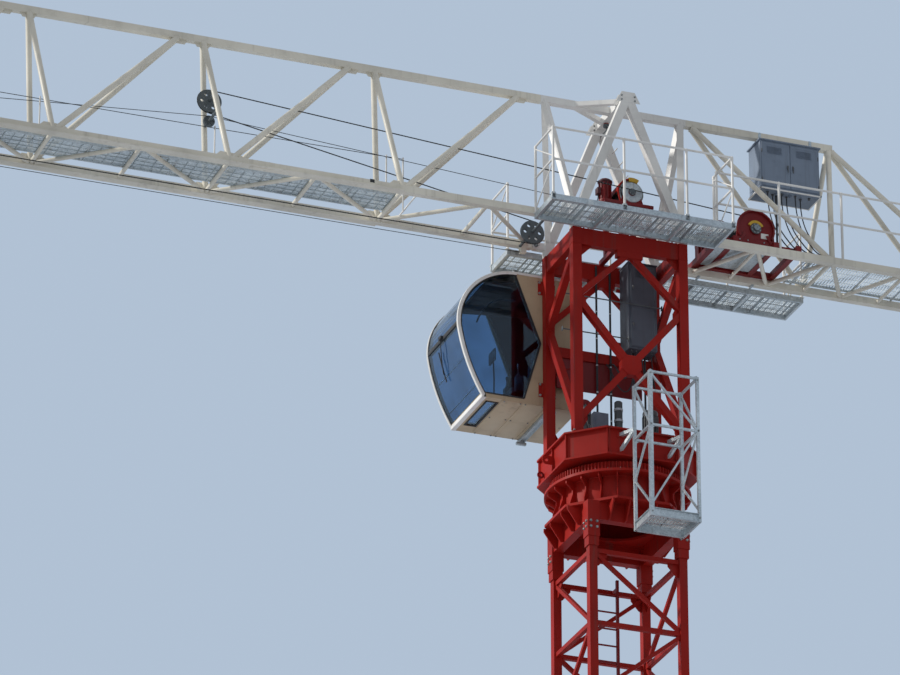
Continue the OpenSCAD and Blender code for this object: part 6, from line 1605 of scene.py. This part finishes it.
def frame_details():
    """Stiffeners, rim bolts, a manhole rim and eye lugs of the slewing frame."""
    plates, heads = [], []
    for side in (-1, 1):
        for x in (-0.6, 0.6):
            face = side * WEB_Y
            plates.append(stiffener(face, side, x, "YZ"))
        heads += [(up(-0.55 + 0.11 * i, side * 1.118, 0.0), (0, 0, 1)) for i in range(11)]
    for side in (-1, 1):
        for y in (0.0,):
            face = side * 1.14
            plates.append(stiffener(face, side, y, "XZ"))
    give(joined(plates), "frame_stiffeners", TURNING, "red")
    give(bolts(0.022, heads), "frame_bolts", TURNING, "bolt")
    lug = turned([(0.03, -0.011), (0.06, -0.011), (0.063, 0.0), (0.06, 0.011), (0.03, 0.011), (0.028, 0.0),
        (0.03, -0.011)],
                 (0, 0, 0), (0, 1, 0), 20)
    lugs = [Matrix.Translation(up(side * 1.2, 0.45, -0.33)) for side in (-1, 1)]
    # The eye lugs take the deep red, darker than the frame's red, as painted shade on these parts of the red
    # frame.
    give(copies(lug, lugs), "frame_eye_lugs", TURNING, "deep_red")
    rim = turned([(0.398, 0.0), (0.43, 0.0), (0.434, 0.006), (0.43, 0.014), (0.402, 0.014), (0.398, 0.008),
        (0.398, 0.0)], up(0, 0, 0.0), (0, 0, 1), 48)
    give(rim, "manhole_rim", TURNING, "red")


def motor_details():
    """Fan cowls, terminal boxes, flange bolts and leads of the two slewing motors."""
    cowls, boxes, leads, heads = [], [], [], []
    for side in (-1, 1):
        x = side * MOTOR_X
        cowls.append(turned([(0.121, -0.07), (0.128, -0.066), (0.131, 0.0), (0.126, 0.02), (0.11, 0.034),
            (0.07, 0.036), (0.066, 0.03), (0.0, 0.03)],
                            up(x, 0, MOTOR_TOP), (0, 0, 1), 32))
        slot = slab(up(x - 0.1, -0.003, MOTOR_TOP + 0.034), up(x - 0.04, 0.003, MOTOR_TOP + 0.039), 0.001)
        centre = up(x, 0, 0)
        cowls.append(copies(slot,
            [Matrix.Translation(centre) @ Matrix.Rotation(math.tau * i / 18, 4,
            "Z") @ Matrix.Translation(-centre) for i in range(18)]))
        box = slab(up(x - 0.06, -0.205, 0.6), up(x + 0.06, -0.125, 0.74), 0.01)
        boxes += [box, slab(up(x - 0.066, -0.214, 0.594), up(x + 0.066, -0.202, 0.746), 0.005)]
        boxes.append(rod(up(x, -0.165, 0.575), up(x, -0.165, 0.602), 0.016, 12, 0.003))
        leads.append(pipe([up(x, -0.165, 0.58), up(x, -0.17, 0.5), up(x - side * 0.06, -0.2, 0.3),
            up(x - side * 0.16, -0.1, 0.06), up(x - side * 0.2, 0.2, 0.03),
                           up(0.1 * side, 0.5, 0.06), up(0.1 * side, POST_Y - 0.05, 0.3)], 0.013, 10))
        heads += [(up(x + 0.166 * math.cos(a), 0.166 * math.sin(a), 0.03), (0, 0, 1))
            for a in [math.tau * (i + 0.5) / 10 for i in range(10)]]
        heads += [(up(x + 0.134 * math.cos(a), 0.134 * math.sin(a), GEAR_TOP + 0.03), (0, 0, 1))
            for a in [math.tau * (i + 0.5) / 8 for i in range(8)]]
    give(joined(cowls[:2]), "slewing_motor_cowl_front", TURNING, "deep_red")
    give(joined(cowls[2:]), "slewing_motor_cowl_back", TURNING, "machine")
    give(joined(boxes), "slewing_motor_boxes", TURNING, "machine")
    give(joined(leads), "slewing_motor_leads", TURNING, "cable")
    give(bolts(0.019, heads), "slewing_motor_bolts", TURNING, "bolt")


def floor_units():
    """A junction box and a banded upright unit on the slewing frame's far half, seen between the posts."""
    box = slab(up(-0.24, 0.42, 0.0), up(0.03, 0.59, 0.98), 0.01)
    door = slab(up(-0.215, 0.41, 0.06), up(0.005, 0.425, 0.92), 0.005)
    give(joined([box, door]), "turret_junction_box", TURNING, "pale_cabinet")
    unit = turned([(0.0, 1.26), (0.05, 1.26), (0.07, 1.24), (0.07, 0.12), (0.1, 0.1), (0.1, 0.02),
        (0.13, 0.02), (0.13, 0.0), (0.0, 0.0)],
                  up(0.24, 0.5, 0.0), (0, 0, 1), 28)
    give(unit, "turret_upright_unit", TURNING, "machine")
    ring = turned([(0.069, -0.02), (0.078, -0.02), (0.078, 0.02), (0.069, 0.02)], up(0.24, 0.5, 0.3),
        (0, 0, 1), 28)
    give(copies(ring, [Matrix.Translation((0, 0, 0.2 * i)) for i in range(5)]), "turret_unit_bands", TURNING,
        "bright_zinc")


class CRANE_OT_slewing(bpy.types.Operator):
    """Adds bolts, stiffeners, welds, motor fittings and units round the slewing ring"""

    bl_idname = "crane.slewing"
    bl_label = "Slewing ring"

    def execute(self, context):
        support_details()
        frame_details()
        motor_details()
        floor_units()
        return {"FINISHED"}


# ---- Jib, counter-jib and A-frames -----------------------------------------------------

JIB_TUBE, BOTTOM_TUBE = 0.1, 0.074
APEX = TURRET_TOP - SLEW_Z + 2.66
LUG_X = POST_X + POST / 2 + 0.23 - CHORD / 2
HEAD_X = POST_X + POST_LEAN
COUNTER_TOP_X, COUNTER_BAY, COUNTER_END = 1.25, 2.78, 8.0


def jib_node(i):
    return -POST_X - 0.05 - i * JIB_BAY


JIB_END = jib_node(JIB_BAYS) - 0.4


def counter_node(i):
    return POST_X + 0.02 + i * COUNTER_BAY


def meet(start, end, plane_z):
    """The place where the line from start to end crosses a height."""
    start, end = Vector(start), Vector(end)
    return start + (end - start) * (plane_z - start.z) / (end.z - start.z)


def side_tube(foot, head, radius, collars):
    """One round lattice tube between the chords' faces, with weld collars; side tubes lean to the middle."""
    low = meet(foot, head, CHORD_TOP + 0.0005)
    high = meet(foot, head, TOP_CHORD_Z - CHORD / 2 - 0.0005)
    inward = 0.3 * radius if high.y > 0 else -0.3 * radius
    high = Vector((high.x, high.y + inward, high.z))
    collars.append(ringed(low, high, radius))
    collars.append(ringed(high, low, radius))
    return rod(low, high, radius, 20)


def jib_tubes():
    """Round tubes in the place of the eight-sided ones in the jib's sides and bottom."""
    collars = []
    for side, name in ((-1, "jib_near_lattice"), (1, "jib_far_lattice")):
        tubes = []
        for i in range(1, JIB_BAYS + 1):
            foot = Vector((jib_node(i), side * POST_Y, CHORD_Z))
            for reach in (-POST_LEAN, DIAGONAL_REACH):
                head = Vector((foot.x + reach, side * 0.001, TOP_CHORD_Z))
                tubes.append(side_tube(foot, head, JIB_TUBE / 2, collars))
        give(joined(tubes), name + "_tubes", TURNING, "cream")
        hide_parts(name)
    inner = POST_Y - CHORD / 2
    first = -LUG_X - CHORD
    bottom = []
    for i in range(1, JIB_BAYS + 1):
        x, half = jib_node(i), jib_node(i) + JIB_BAY / 2
        for cross in (x, half):
            bottom.append(rod((cross, -inner, CHORD_Z), (cross, inner, CHORD_Z), BOTTOM_TUBE / 2, 18))
        for a, b in ((Vector((x, POST_Y, CHORD_Z)), Vector((half, -POST_Y, CHORD_Z))),
                     (Vector((half, -POST_Y, CHORD_Z)), Vector((min(x + JIB_BAY, first), POST_Y, CHORD_Z)))):
            share = (POST_Y - inner) / (2 * POST_Y)
            low, high = a + (b - a) * share, a + (b - a) * (1 - share)
            bottom.append(rod(low, high, BOTTOM_TUBE / 2, 18))
            collars.append(ringed(low, high, BOTTOM_TUBE / 2, 16))
            collars.append(ringed(high, low, BOTTOM_TUBE / 2, 16))
    tubes = give(joined(bottom), "jib_bottom_lattice_tubes", TURNING, "cream")
    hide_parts("jib_bottom_lattice")
    give(joined(collars), "jib_weld_collars", TURNING, "cream")


def jib_chord_details():
    """Root connectors, splice plates, gussets at the nodes, rail clips, stops and a black clip."""
    plates, heads, clips = [], [], []
    for side in (-1, 1):
        y = side * POST_Y
        for x in (-LUG_X - 0.09, LUG_X + 0.09):
            s = 1 if x > 0 else -1
            for z in (CHORD_TOP, CHORD_Z - CHORD / 2):
                plates.append(slab((min(x, x + s * 0.34), y - 0.045, z - 0.006),
                    (max(x, x + s * 0.34), y + 0.045, z + 0.006), 0.003))
        for i in range(1, JIB_BAYS + 1):
            x = jib_node(i)
            plates.append(plate([(x - 0.26, CHORD_TOP - 0.002), (x + 0.3, CHORD_TOP - 0.002),
                (x + 0.22, CHORD_TOP + 0.07), (x + 0.05, CHORD_TOP + 0.1),
                                 (x - 0.16, CHORD_TOP + 0.1)], y - side * 0.014 - 0.006,
                                 y - side * 0.014 + 0.006, "XZ", 0.002))
        for i in range(2, JIB_BAYS, 2):
            x = jib_node(i) + 0.55
            for dz in (-1, 1):
                plates.append(slab((x - 0.2, y - 0.05, CHORD_Z + dz * (CHORD / 2 + 0.002) - 0.007),
                    (x + 0.2, y + 0.05, CHORD_Z + dz * (CHORD / 2 + 0.002) + 0.007), 0.003))
            heads += [((x + dx, y, CHORD_TOP + 0.008), (0, 0, 1)) for dx in (-0.15, -0.06, 0.06, 0.15)]
        count = int((jib_node(1) - JIB_END) / 0.75)
        clips += [slab((x - 0.03, min(y + side * 0.06, y + side * 0.1), CHORD_Z - 0.045),
            (x + 0.03, max(y + side * 0.06, y + side * 0.1), CHORD_Z - 0.036), 0.002)
                  for x in [jib_node(1) - 0.3 - 0.75 * i for i in range(count)]]
        stop = JIB_END + 0.09
        plates.append(slab((stop - 0.05, min(y + side * 0.06, y + side * 0.105), CHORD_Z - 0.04),
            (stop + 0.05, max(y + side * 0.06, y + side * 0.105), CHORD_Z + 0.05), 0.005))
    for i in range(1, JIB_BAYS + 1):
        for x in (jib_node(i) - POST_LEAN, min(jib_node(i) + DIAGONAL_REACH, -HEAD_X - 0.15)):
            z = TOP_CHORD_Z - CHORD / 2
            plates.append(plate([(x - 0.15, z + 0.002), (x - 0.1, z - 0.07), (x + 0.1, z - 0.07),
                (x + 0.15, z + 0.002)], -0.006, 0.006, "XZ", 0.002))
    give(joined(plates), "jib_plates", TURNING, "cream")
    give(joined(clips), "trolley_rail_clips", TURNING, "cream")
    give(bolts(0.03, heads), "jib_splice_bolts", TURNING, "bolt")
    clip = slab((jib_node(1) - 0.6, -POST_Y - 0.064, CHORD_TOP - 0.05),
        (jib_node(1) - 0.52, -POST_Y + 0.02, CHORD_TOP + 0.012), 0.004)
    give(clip, "jib_cable_clip", TURNING, "rubber")


def pins():
    """Chamfered pin ends with washers and split pins at the chords' roots."""
    head = pin_head(0.031, 0.022)
    places = []
    for x in (-LUG_X, LUG_X):
        for side in (-1, 1):
            for outward in (-1, 1):
                places.append(at((x, side * POST_Y + outward * (CHORD / 2 + 0.014), CHORD_Z),
                    (0, outward, 0)))
    give(copies(head, places), "chord_pin_heads", TURNING, "steel")


def walkway_details():
    """Fine mesh and kick strips of the walkway in the jib, with its safety line on posts."""
    low = CHORD_Z + BOTTOM_TUBE / 2
    start, end = jib_node(1), jib_node(JIB_BAYS)
    mesh = fine_grating(end + 0.01, start - 0.01, -0.31, 0.31, low + 0.0295, 0.016, 0.012, 0.03)
    give(mesh, "jib_walkway_mesh", TURNING, "bright_zinc")
    strips = [slab((end, s * 0.32 - 0.003, low), (start, s * 0.32 + 0.003, low + 0.07), 0.002)
        for s in (-1, 1)]
    count = int((start - end) / 1.525)
    cross = slab((-0.02, -0.32, low - 0.0005), (0.02, 0.32, low + 0.004), 0.002)
    strips.append(copies(cross,
        [Matrix.Translation((end + 0.02 + i * (start - end - 0.04) / (2 * count), 0, 0))
        for i in range(2 * count + 1)]))
    give(joined(strips), "jib_walkway_strips", TURNING, "zinc")
    line = pipe([(start + 0.3, 0.18, CHORD_Z + 1.0), (start - 2, 0.18, CHORD_Z + 0.985),
        ((start + end) / 2, 0.18, CHORD_Z + 0.98), (end + 2, 0.18, CHORD_Z + 0.985),
                 (end, 0.18, CHORD_Z + 1.0)], 0.006, 8)
    give(line, "jib_safety_line", TURNING, "fine_rope")
    posts = []
    for i in range(1, JIB_BAYS + 1):
        x = jib_node(i)
        posts.append(rod((x, 0.18, low + 0.02), (x, 0.18, CHORD_Z + 1.03), 0.014, 10, 0.003))
        posts.append(slab((x - 0.03, 0.15, low + 0.029), (x + 0.03, 0.21, low + 0.036), 0.002))
    posts.append(rod((start + 0.3, 0.18, low - 0.02), (start + 0.3, 0.18, CHORD_Z + 1.03), 0.014, 10, 0.003))
    posts.append(rod((start + 0.3, -0.565, low - 0.02), (start + 0.3, 0.565, low - 0.02), 0.016, 10))
    give(joined(posts), "jib_line_posts", TURNING, "white")


def counter_jib_details():
    """Round tubes, collars, a round rail and the framed walkway grating of the counter-jib."""
    collars, tubes = [], []
    for side in (-1, 1):
        head = Vector((COUNTER_TOP_X + 0.16, side * 0.002, TOP_CHORD_Z))
        mid = Vector((counter_node(1), side * POST_Y, CHORD_Z))
        rear_head = Vector((COUNTER_TOP_X + COUNTER_BAY, side * 0.002, TOP_CHORD_Z))
        rear = Vector((counter_node(2), side * POST_Y, CHORD_Z))
        for a, b in ((mid, head), (mid, rear_head), (rear, rear_head)):
            tubes.append(side_tube(a, b, 0.048, collars))
    inner = POST_Y - CHORD / 2
    lace = COUNTER_BAY / 4
    share = (POST_Y - inner) / (2 * POST_Y)
    for i in range(1, 8):
        x = counter_node(0) + i * lace
        side = 1 if i % 2 else -1
        a, b = Vector((x, side * POST_Y, CHORD_Z)), Vector((x + lace, -side * POST_Y, CHORD_Z))
        low, high = a + (b - a) * share, a + (b - a) * (1 - share)
        tubes.append(rod(low, high, BOTTOM_TUBE / 2, 18))
        collars += [ringed(low, high, BOTTOM_TUBE / 2, 16), ringed(high, low, BOTTOM_TUBE / 2, 16)]
    for i in (0.5, 1, 1.5):
        x = counter_node(i)
        tubes.append(rod((x, -inner, CHORD_Z), (x, inner, CHORD_Z), 0.43 * BOTTOM_TUBE, 18))
    lattice = give(joined(tubes), "counter_jib_lattice_tubes", TURNING, "cream")
    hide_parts("counter_jib_lattice")
    give(joined(collars), "counter_jib_collars", TURNING, "cream")
    y = -(POST_Y + CHORD / 2 - RAIL_D / 2)
    start, end = 1.62, COUNTER_END - 3 * 0.44 - 0.4
    rails = [rod((x, y, CHORD_TOP), (x, y, CHORD_TOP + RAIL_TOP + 0.02), RAIL_D / 2, 18, 0.004)
        for x in [start + i * (end - start) / 4 for i in range(5)]]
    rails += [rod((start, y, CHORD_TOP + h), (end, y, CHORD_TOP + h), 0.42 * RAIL_D, 16)
        for h in (RAIL_MID, RAIL_TOP)]
    rails = give(joined(rails), "counter_jib_rail_tubes", TURNING, "white")
    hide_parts("counter_jib_rail")
    steps = fine_grating(3.35, COUNTER_END - 1.75, -0.5, 0.5, CHORD_TOP + 0.03, 0.05, 0.024, 0.15)
    give(steps, "counter_walkway_grating", TURNING, "bright_zinc")
    beams = [slab((3.35, s * 0.5 - 0.02, CHORD_TOP - 0.002),
        (COUNTER_END - 1.75, s * 0.5 + 0.02, CHORD_TOP + 0.034), 0.004) for s in (-1, 1)]
    beams += [slab((x - 0.02, -POST_Y, CHORD_TOP - 0.001), (x + 0.02, POST_Y, CHORD_TOP + 0.006), 0.002)
        for x in (3.5, 4.6, 5.4, 6.1)]
    give(joined(beams), "counter_walkway_frame", TURNING, "zinc")


def a_frame_details():
    """Plates, bolts, rungs and a warning lamp of the A-frames."""
    plates, heads = [], []
    for side in (-1, 1):
        y = side * POST_Y
        for sx in (-1, 1):
            x = sx * POST_X
            z = CHORD_TOP
            plates.append(plate([(x - 0.078, SLEW_Z + 4.06), (x + 0.078, SLEW_Z + 4.06),
                (x + 0.06 - sx * 0.05, z + 0.2), (x - 0.06 - sx * 0.05, z + 0.2)],
                                y - 0.08, y - 0.074, "XZ", 0.001))
        plates.append(plate([(-0.22, SLEW_Z + APEX - 0.14), (0.22, SLEW_Z + APEX - 0.14),
            (0.12, SLEW_Z + APEX + 0.06), (-0.12, SLEW_Z + APEX + 0.06)],
                            y - 0.079, y - 0.072, "XZ", 0.001))
        plates.append(plate([(-0.22, SLEW_Z + APEX - 0.14), (0.22, SLEW_Z + APEX - 0.14),
            (0.12, SLEW_Z + APEX + 0.06), (-0.12, SLEW_Z + APEX + 0.06)],
                            y + 0.072, y + 0.079, "XZ", 0.001))
        heads += [(up(dx, y - 0.079, APEX + dz), (0, -1, 0)) for dx in (-0.12, 0.12) for dz in (-0.1, -0.02)]
    give(joined(plates), "a_frame_plates", TURNING, "white")
    give(bolts(0.026, heads), "a_frame_bolts", TURNING, "bolt")
    rungs = [rod(up(x, y, z), up(x, y + 0.22, z), 0.011, 10)
             for x, y, z in [(POST_X * (1 - t) + 0.02, POST_Y - 0.29, 4.0 + t * (APEX - 4.0))
             for t in [0.1 + 0.1 * i for i in range(8)]]]
    give(joined(rungs), "a_frame_rungs", TURNING, "white")
    lamp = turned([(0.0, 0.0), (0.05, 0.0), (0.055, 0.02), (0.05, 0.05), (0.035, 0.055), (0.0, 0.055)],
        up(0.0, 0.3, APEX - 0.14), (0, 0, 1), 20)
    lens = turned([(0.046, 0.0), (0.046, 0.045), (0.034, 0.062), (0.0, 0.066)], up(0.0, 0.3, APEX - 0.09),
        (0, 0, 1), 20)
    rods = rod(up(0.0, 0.3, APEX - 0.14), up(0.0, 0.3, APEX - 0.2), 0.012, 10)
    arm = rod(up(0.0, 0.3, APEX - 0.2), up(0.0, POST_Y, APEX - 0.2), 0.012, 10)
    give(joined([lamp, rods, arm]), "warning_lamp_base", TURNING, "machine")
    give(lens, "warning_lamp_lens", TURNING, "signal")


class CRANE_OT_jib(bpy.types.Operator):
    """Replaces the lattice tubes by round ones and dresses the jib, counter-jib and A-frames"""

    bl_idname = "crane.jib"
    bl_label = "Jib and counter-jib"

    def execute(self, context):
        jib_tubes()
        jib_chord_details()
        pins()
        walkway_details()
        counter_jib_details()
        a_frame_details()
        return {"FINISHED"}


# ---- Mast, trolley and hook --------------------------------------------------------------

TROLLEY = Vector((-12.2, 0.0, SLEW_Z))
WHEEL_Z, SHEAVE_Z, HOOK_SHEAVE_Z = 4.033, 3.5, 2.0
SHEAVE_D = 0.42


def mast_details():
    """Pin heads in the leg sleeves and gussets where the braces meet the legs."""
    head = pin_head(0.0235, 0.016)
    places = []
    for i in range(1, BAYS):
        z = MAST_FOOT + i * BAY
        for sx in (-1, 1):
            for sy in (-1, 1):
                for face in (-1, 1):
                    for dz in (-0.08, 0.08):
                        places.append(at((sx * MAST_W / 2, sy * MAST_W / 2 + face * 0.117, z + dz),
                            (0, face, 0)))
    give(copies(head, places), "mast_pin_heads", FIXED, "steel")
    inner = MAST_W / 2 - 0.069
    low = plate([(inner, 0.0), (inner, 0.3), (inner - 0.05, 0.28), (inner - 0.19, 0.12),
        (inner - 0.19, 0.04)], -MAST_W / 2 - 0.006, -MAST_W / 2 + 0.006, "XZ", 0.002)
    gussets = []
    for i in range(BAYS):
        z = MAST_FOOT + i * BAY
        for turn in range(4):
            spin = Matrix.Rotation(turn * math.pi / 2, 4, "Z")
            for side in (Matrix.Identity(4), Matrix.Diagonal((-1, 1, 1, 1))):
                gussets.append(Matrix.Translation((0, 0, z + 0.2)) @ spin @ side)
                gussets.append(Matrix.Translation((0, 0, z + BAY - 0.2)) @ spin @ side @ Matrix.Diagonal((1,
                    1, -1, 1)))
    give(copies(low, gussets), "mast_gussets", FIXED, "red")


def trolley_details():
    """Hub nuts, wheel flanges' caps and rubber buffers of the trolley."""
    nut = cap_nut(0.06)
    hubs = [at(TROLLEY + Vector((dx, side * 0.765, WHEEL_Z)), (0, side, 0)) for dx in (-0.54, 0.54)
        for side in (-1, 1)]
    hubs += [at(TROLLEY + Vector((dx, side * 0.088, SHEAVE_Z)), (0, side, 0)) for dx in (-SHEAVE_D, SHEAVE_D)
        for side in (-1, 1)]
    give(copies(nut, hubs), "trolley_hub_nuts", TURNING, "bolt")
    buffer = turned([(0.0, 0.06), (0.022, 0.06), (0.034, 0.045), (0.036, 0.006), (0.044, 0.0), (0.0, 0.0)],
        (0, 0, 0), (0, 0, 1), 20)
    places = [at(TROLLEY + Vector((end * 0.75, side * 0.747, 3.86)), (end, 0, 0)) for end in (-1, 1)
        for side in (-1, 1)]
    give(copies(buffer, places), "trolley_buffers", TURNING, "rubber")
    edges = []
    for side in (-1, 1):
        for dx in (-0.54, 0.54):
            edges.append(slab(TROLLEY + Vector((dx - 0.09, min(side * 0.757, side * 0.765), WHEEL_Z - 0.09)),
                              TROLLEY + Vector((dx + 0.09, max(side * 0.757, side * 0.765), WHEEL_Z + 0.06)),
                              0.003))
    give(joined(edges), "trolley_wheel_pads", TURNING, "yellow")


def hook_details():
    """Warning bands, cheek bolts and axle nuts of the hook block."""
    block = TROLLEY + Vector((0, 0, HOOK_SHEAVE_Z))
    bands = []
    for side in (-1, 1):
        face = side * 0.062
        bands.append(turned([(0.13, 0.0), (0.13, 0.0025), (0.205, 0.0025), (0.205, 0.0), (0.13, 0.0)],
            block + Vector((0, face, 0)), (0, side, 0), 40))
    give(joined(bands), "hook_warning_bands", TURNING, "hazard")
    heads = [(block + Vector((0.222 * math.cos(a), side * 0.062, 0.222 * math.sin(a))), (0, side, 0))
             for side in (-1, 1) for a in [math.tau * i / 10 for i in range(10)]]
    heads += [(block + Vector((dx, side * 0.062, -0.33)), (0, side, 0)) for side in (-1, 1)
        for dx in (-0.08, 0.08)]
    give(bolts(0.018, heads), "hook_bolts", TURNING, "bolt")
    nuts = [at(block + Vector((0, side * 0.09, 0)), (0, side, 0)) for side in (-1, 1)]
    give(copies(cap_nut(0.05), nuts), "hook_axle_nuts", TURNING, "bolt")


class CRANE_OT_mast(bpy.types.Operator):
    """Adds pin heads and gussets to the mast, and fittings to the trolley and hook"""

    bl_idname = "crane.mast"
    bl_label = "Mast, trolley and hook"

    def execute(self, context):
        mast_details()
        trolley_details()
        hook_details()
        return {"FINISHED"}


# ---- Settings, steps and panel ------------------------------------------------


class CraneLooks(bpy.types.PropertyGroup):
    """Paint and glass colours."""

    red: bpy.props.FloatVectorProperty(
        name="Red paint", description="Colour of the mast, slewing unit and turret",
        size=3, min=0, max=1, default=RED, subtype="COLOR")
    cream: bpy.props.FloatVectorProperty(
        name="Cream paint", description="Colour of the jib's and counter-jib's steel",
        size=3, min=0, max=1, default=CREAM, subtype="COLOR")
    glass: bpy.props.FloatVectorProperty(
        name="Glass tint", description="Tint of the cab's panes",
        size=3, min=0, max=1, default=GLASS, subtype="COLOR")


class CraneStudio(bpy.types.PropertyGroup):
    """Camera, floor and light."""

    distance: bpy.props.FloatProperty(
        name="Camera distance", description="From the camera to the point that it looks at",
        default=100.0, min=20.0, unit="LENGTH")
    scale: bpy.props.FloatProperty(
        name="Picture scale", description="Pixels a metre at the point that the camera looks at",
        default=60.0, min=5.0)
    roll: bpy.props.FloatProperty(
        name="Roll", description="Turn of the camera about its line of sight",
        default=0.0, subtype="ANGLE")
    floor_radius: bpy.props.FloatProperty(
        name="Floor radius", description="Radius of the studio floor", default=38.0, min=10.0, unit="LENGTH")
    backdrop: bpy.props.FloatVectorProperty(
        name="Backdrop", description="Colour behind the crane",
        size=3, min=0, max=1, default=(0.44, 0.535, 0.66), subtype="COLOR")
    floor: bpy.props.FloatVectorProperty(
        name="Floor colour", description="Colour of the floor",
        size=3, min=0, max=1, default=(0.58, 0.63, 0.70), subtype="COLOR")
    sky_strength: bpy.props.FloatProperty(
        name="Soft light", description="Strength of the even light from all round", default=0.41, min=0.0)
    sun_strength: bpy.props.FloatProperty(
        name="Key light", description="Strength of the soft key light", default=2.5, min=0.0)


def studio_world(studio):
    """Even light for the object, and the backdrop's colour where the camera, gloss and glass see it."""
    world = bpy.data.worlds.new("studio")
    bpy.context.scene.world = world
    world.use_nodes = True
    tree = world.node_tree
    tree.nodes.clear()
    out = tree.nodes.new("ShaderNodeOutputWorld")
    seen = tree.nodes.new("ShaderNodeBackground")
    seen.inputs["Color"].default_value = (*studio.backdrop, 1)
    lit = tree.nodes.new("ShaderNodeBackground")
    lit.inputs["Color"].default_value = (0.92, 0.96, 1.0, 1)
    lit.inputs["Strength"].default_value = studio.sky_strength
    path = tree.nodes.new("ShaderNodeLightPath")
    either = [tree.nodes.new("ShaderNodeMath") for _ in range(2)]
    for node in either:
        node.operation = "MAXIMUM"
    tree.links.new(path.outputs["Is Camera Ray"], either[0].inputs[0])
    tree.links.new(path.outputs["Is Glossy Ray"], either[0].inputs[1])
    tree.links.new(either[0].outputs[0], either[1].inputs[0])
    tree.links.new(path.outputs["Is Transmission Ray"], either[1].inputs[1])
    mixed = tree.nodes.new("ShaderNodeMixShader")
    tree.links.new(either[1].outputs[0], mixed.inputs[0])
    tree.links.new(lit.outputs[0], mixed.inputs[1])
    tree.links.new(seen.outputs[0], mixed.inputs[2])
    tree.links.new(mixed.outputs[0], out.inputs[0])


def studio_floor(studio):
    """A pale round floor that thins out into the backdrop at its edge."""
    deselect()
    bpy.ops.mesh.primitive_circle_add(vertices=96, radius=studio.floor_radius, fill_type="NGON")
    floor = apply_place()
    floor.name = "studio_floor"
    ground = Finish("studio_floor")
    reach = ground.node("ShaderNodeVectorMath", {"operation": "LENGTH"}, {0: ground.place}, output="Value")
    fade = 1 - reach.between(0.45 * studio.floor_radius, 0.98 * studio.floor_radius)
    ground.set(base_color=ground.mix(tuple(studio.floor), toned(tuple(studio.floor), 0.97),
                                     ground.noise(2.0, 3)), roughness=0.9, alpha=fade)
    floor.data.materials.append(ground.material)


def studio_camera(studio):
    """The camera at the photograph's angle, looking up at the slewing unit."""
    back = Vector((-0.3204, -0.8478, -0.4226)).normalized()
    target = Vector((-2.985, 0.0, SLEW_Z + 1.711))
    data = bpy.data.cameras.new("camera")
    data.sensor_width = 36.0
    picture_width = 900
    data.lens = studio.scale * studio.distance * data.sensor_width / picture_width
    data.clip_start, data.clip_end = 1.0, 1000.0
    camera = bpy.data.objects.new("camera", data)
    bpy.context.scene.collection.objects.link(camera)
    camera.rotation_mode = "QUATERNION"
    camera.rotation_quaternion = (-back).to_track_quat("-Z", "Y") @ Matrix.Rotation(studio.roll, 3,
        "Z").to_quaternion()
    camera.location = target + back * studio.distance
    bpy.context.scene.camera = camera


def studio_lights(studio):
    """One soft key light from the jib's side, high up and a little behind."""
    data = bpy.data.lights.new("key", "SUN")
    data.energy = studio.sun_strength
    data.color = (1.0, 0.965, 0.91)
    data.angle = math.radians(5)
    key = bpy.data.objects.new("key", data)
    bpy.context.scene.collection.objects.link(key)
    key.rotation_mode = "QUATERNION"
    key.rotation_quaternion = Vector((0.85, -0.20, -0.49)).to_track_quat("-Z", "Y")


class CRANE_OT_studio(bpy.types.Operator):
    """Makes the camera, the floor, the world and the key light"""

    bl_idname = "crane.studio"
    bl_label = "Studio"

    def execute(self, context):
        studio = context.scene.crane_studio
        studio_camera(studio)
        studio_world(studio)
        studio_floor(studio)
        studio_lights(studio)
        bpy.context.scene.view_settings.view_transform = "Standard"
        return {"FINISHED"}


class CRANE_OT_frame_finish(bpy.types.Operator):
    """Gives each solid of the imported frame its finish"""

    bl_idname = "crane.frame_finish"
    bl_label = "Frame finishes"

    def execute(self, context):
        FINISHES.update(make_finishes(context.scene.crane_looks))
        for finish, nodes in CAD_FINISH.items():
            for node in nodes:
                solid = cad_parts[node]
                solid.data.materials.clear()
                solid.data.materials.append(FINISHES[finish][0])
        left = set(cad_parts) - {node for nodes in CAD_FINISH.values() for node in nodes}
        if left:
            raise RuntimeError(f"no finish for {sorted(left)}")
        return {"FINISHED"}


FINISHES = {}
GROUPS = {"crane_looks": CraneLooks, "crane_studio": CraneStudio}
STEPS = (CRANE_OT_studio, CRANE_OT_frame_finish, CRANE_OT_cab, CRANE_OT_winches, CRANE_OT_turret,
    CRANE_OT_cabinets, CRANE_OT_platforms, CRANE_OT_slewing, CRANE_OT_jib, CRANE_OT_mast)


class CRANE_PT_panel(bpy.types.Panel):
    """Lists the crane's settings and steps"""

    bl_idname = "CRANE_PT_panel"
    bl_label = "Tower crane"
    bl_space_type = "VIEW_3D"
    bl_region_type = "UI"
    bl_category = "Tower crane"

    def draw(self, context):
        for group in GROUPS:
            settings = getattr(context.scene, group)
            box = self.layout.box()
            for name in settings.bl_rna.properties.keys():
                if name not in {"rna_type", "name"}:
                    box.prop(settings, name)
        for step in STEPS:
            self.layout.operator(step.bl_idname)


CLASSES = (*GROUPS.values(), *STEPS, CRANE_PT_panel)


def register():
    for cls in CLASSES:
        bpy.utils.register_class(cls)
    for name, group in GROUPS.items():
        setattr(bpy.types.Scene, name, bpy.props.PointerProperty(type=group))


def unregister():
    for name in GROUPS:
        delattr(bpy.types.Scene, name)
    for cls in reversed(CLASSES):
        bpy.utils.unregister_class(cls)


def main():
    """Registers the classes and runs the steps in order."""
    register()
    for step in STEPS:
        group, name = step.bl_idname.split(".")
        getattr(getattr(bpy.ops, group), name)()
    deselect()


if __name__ == "__main__":
    main()
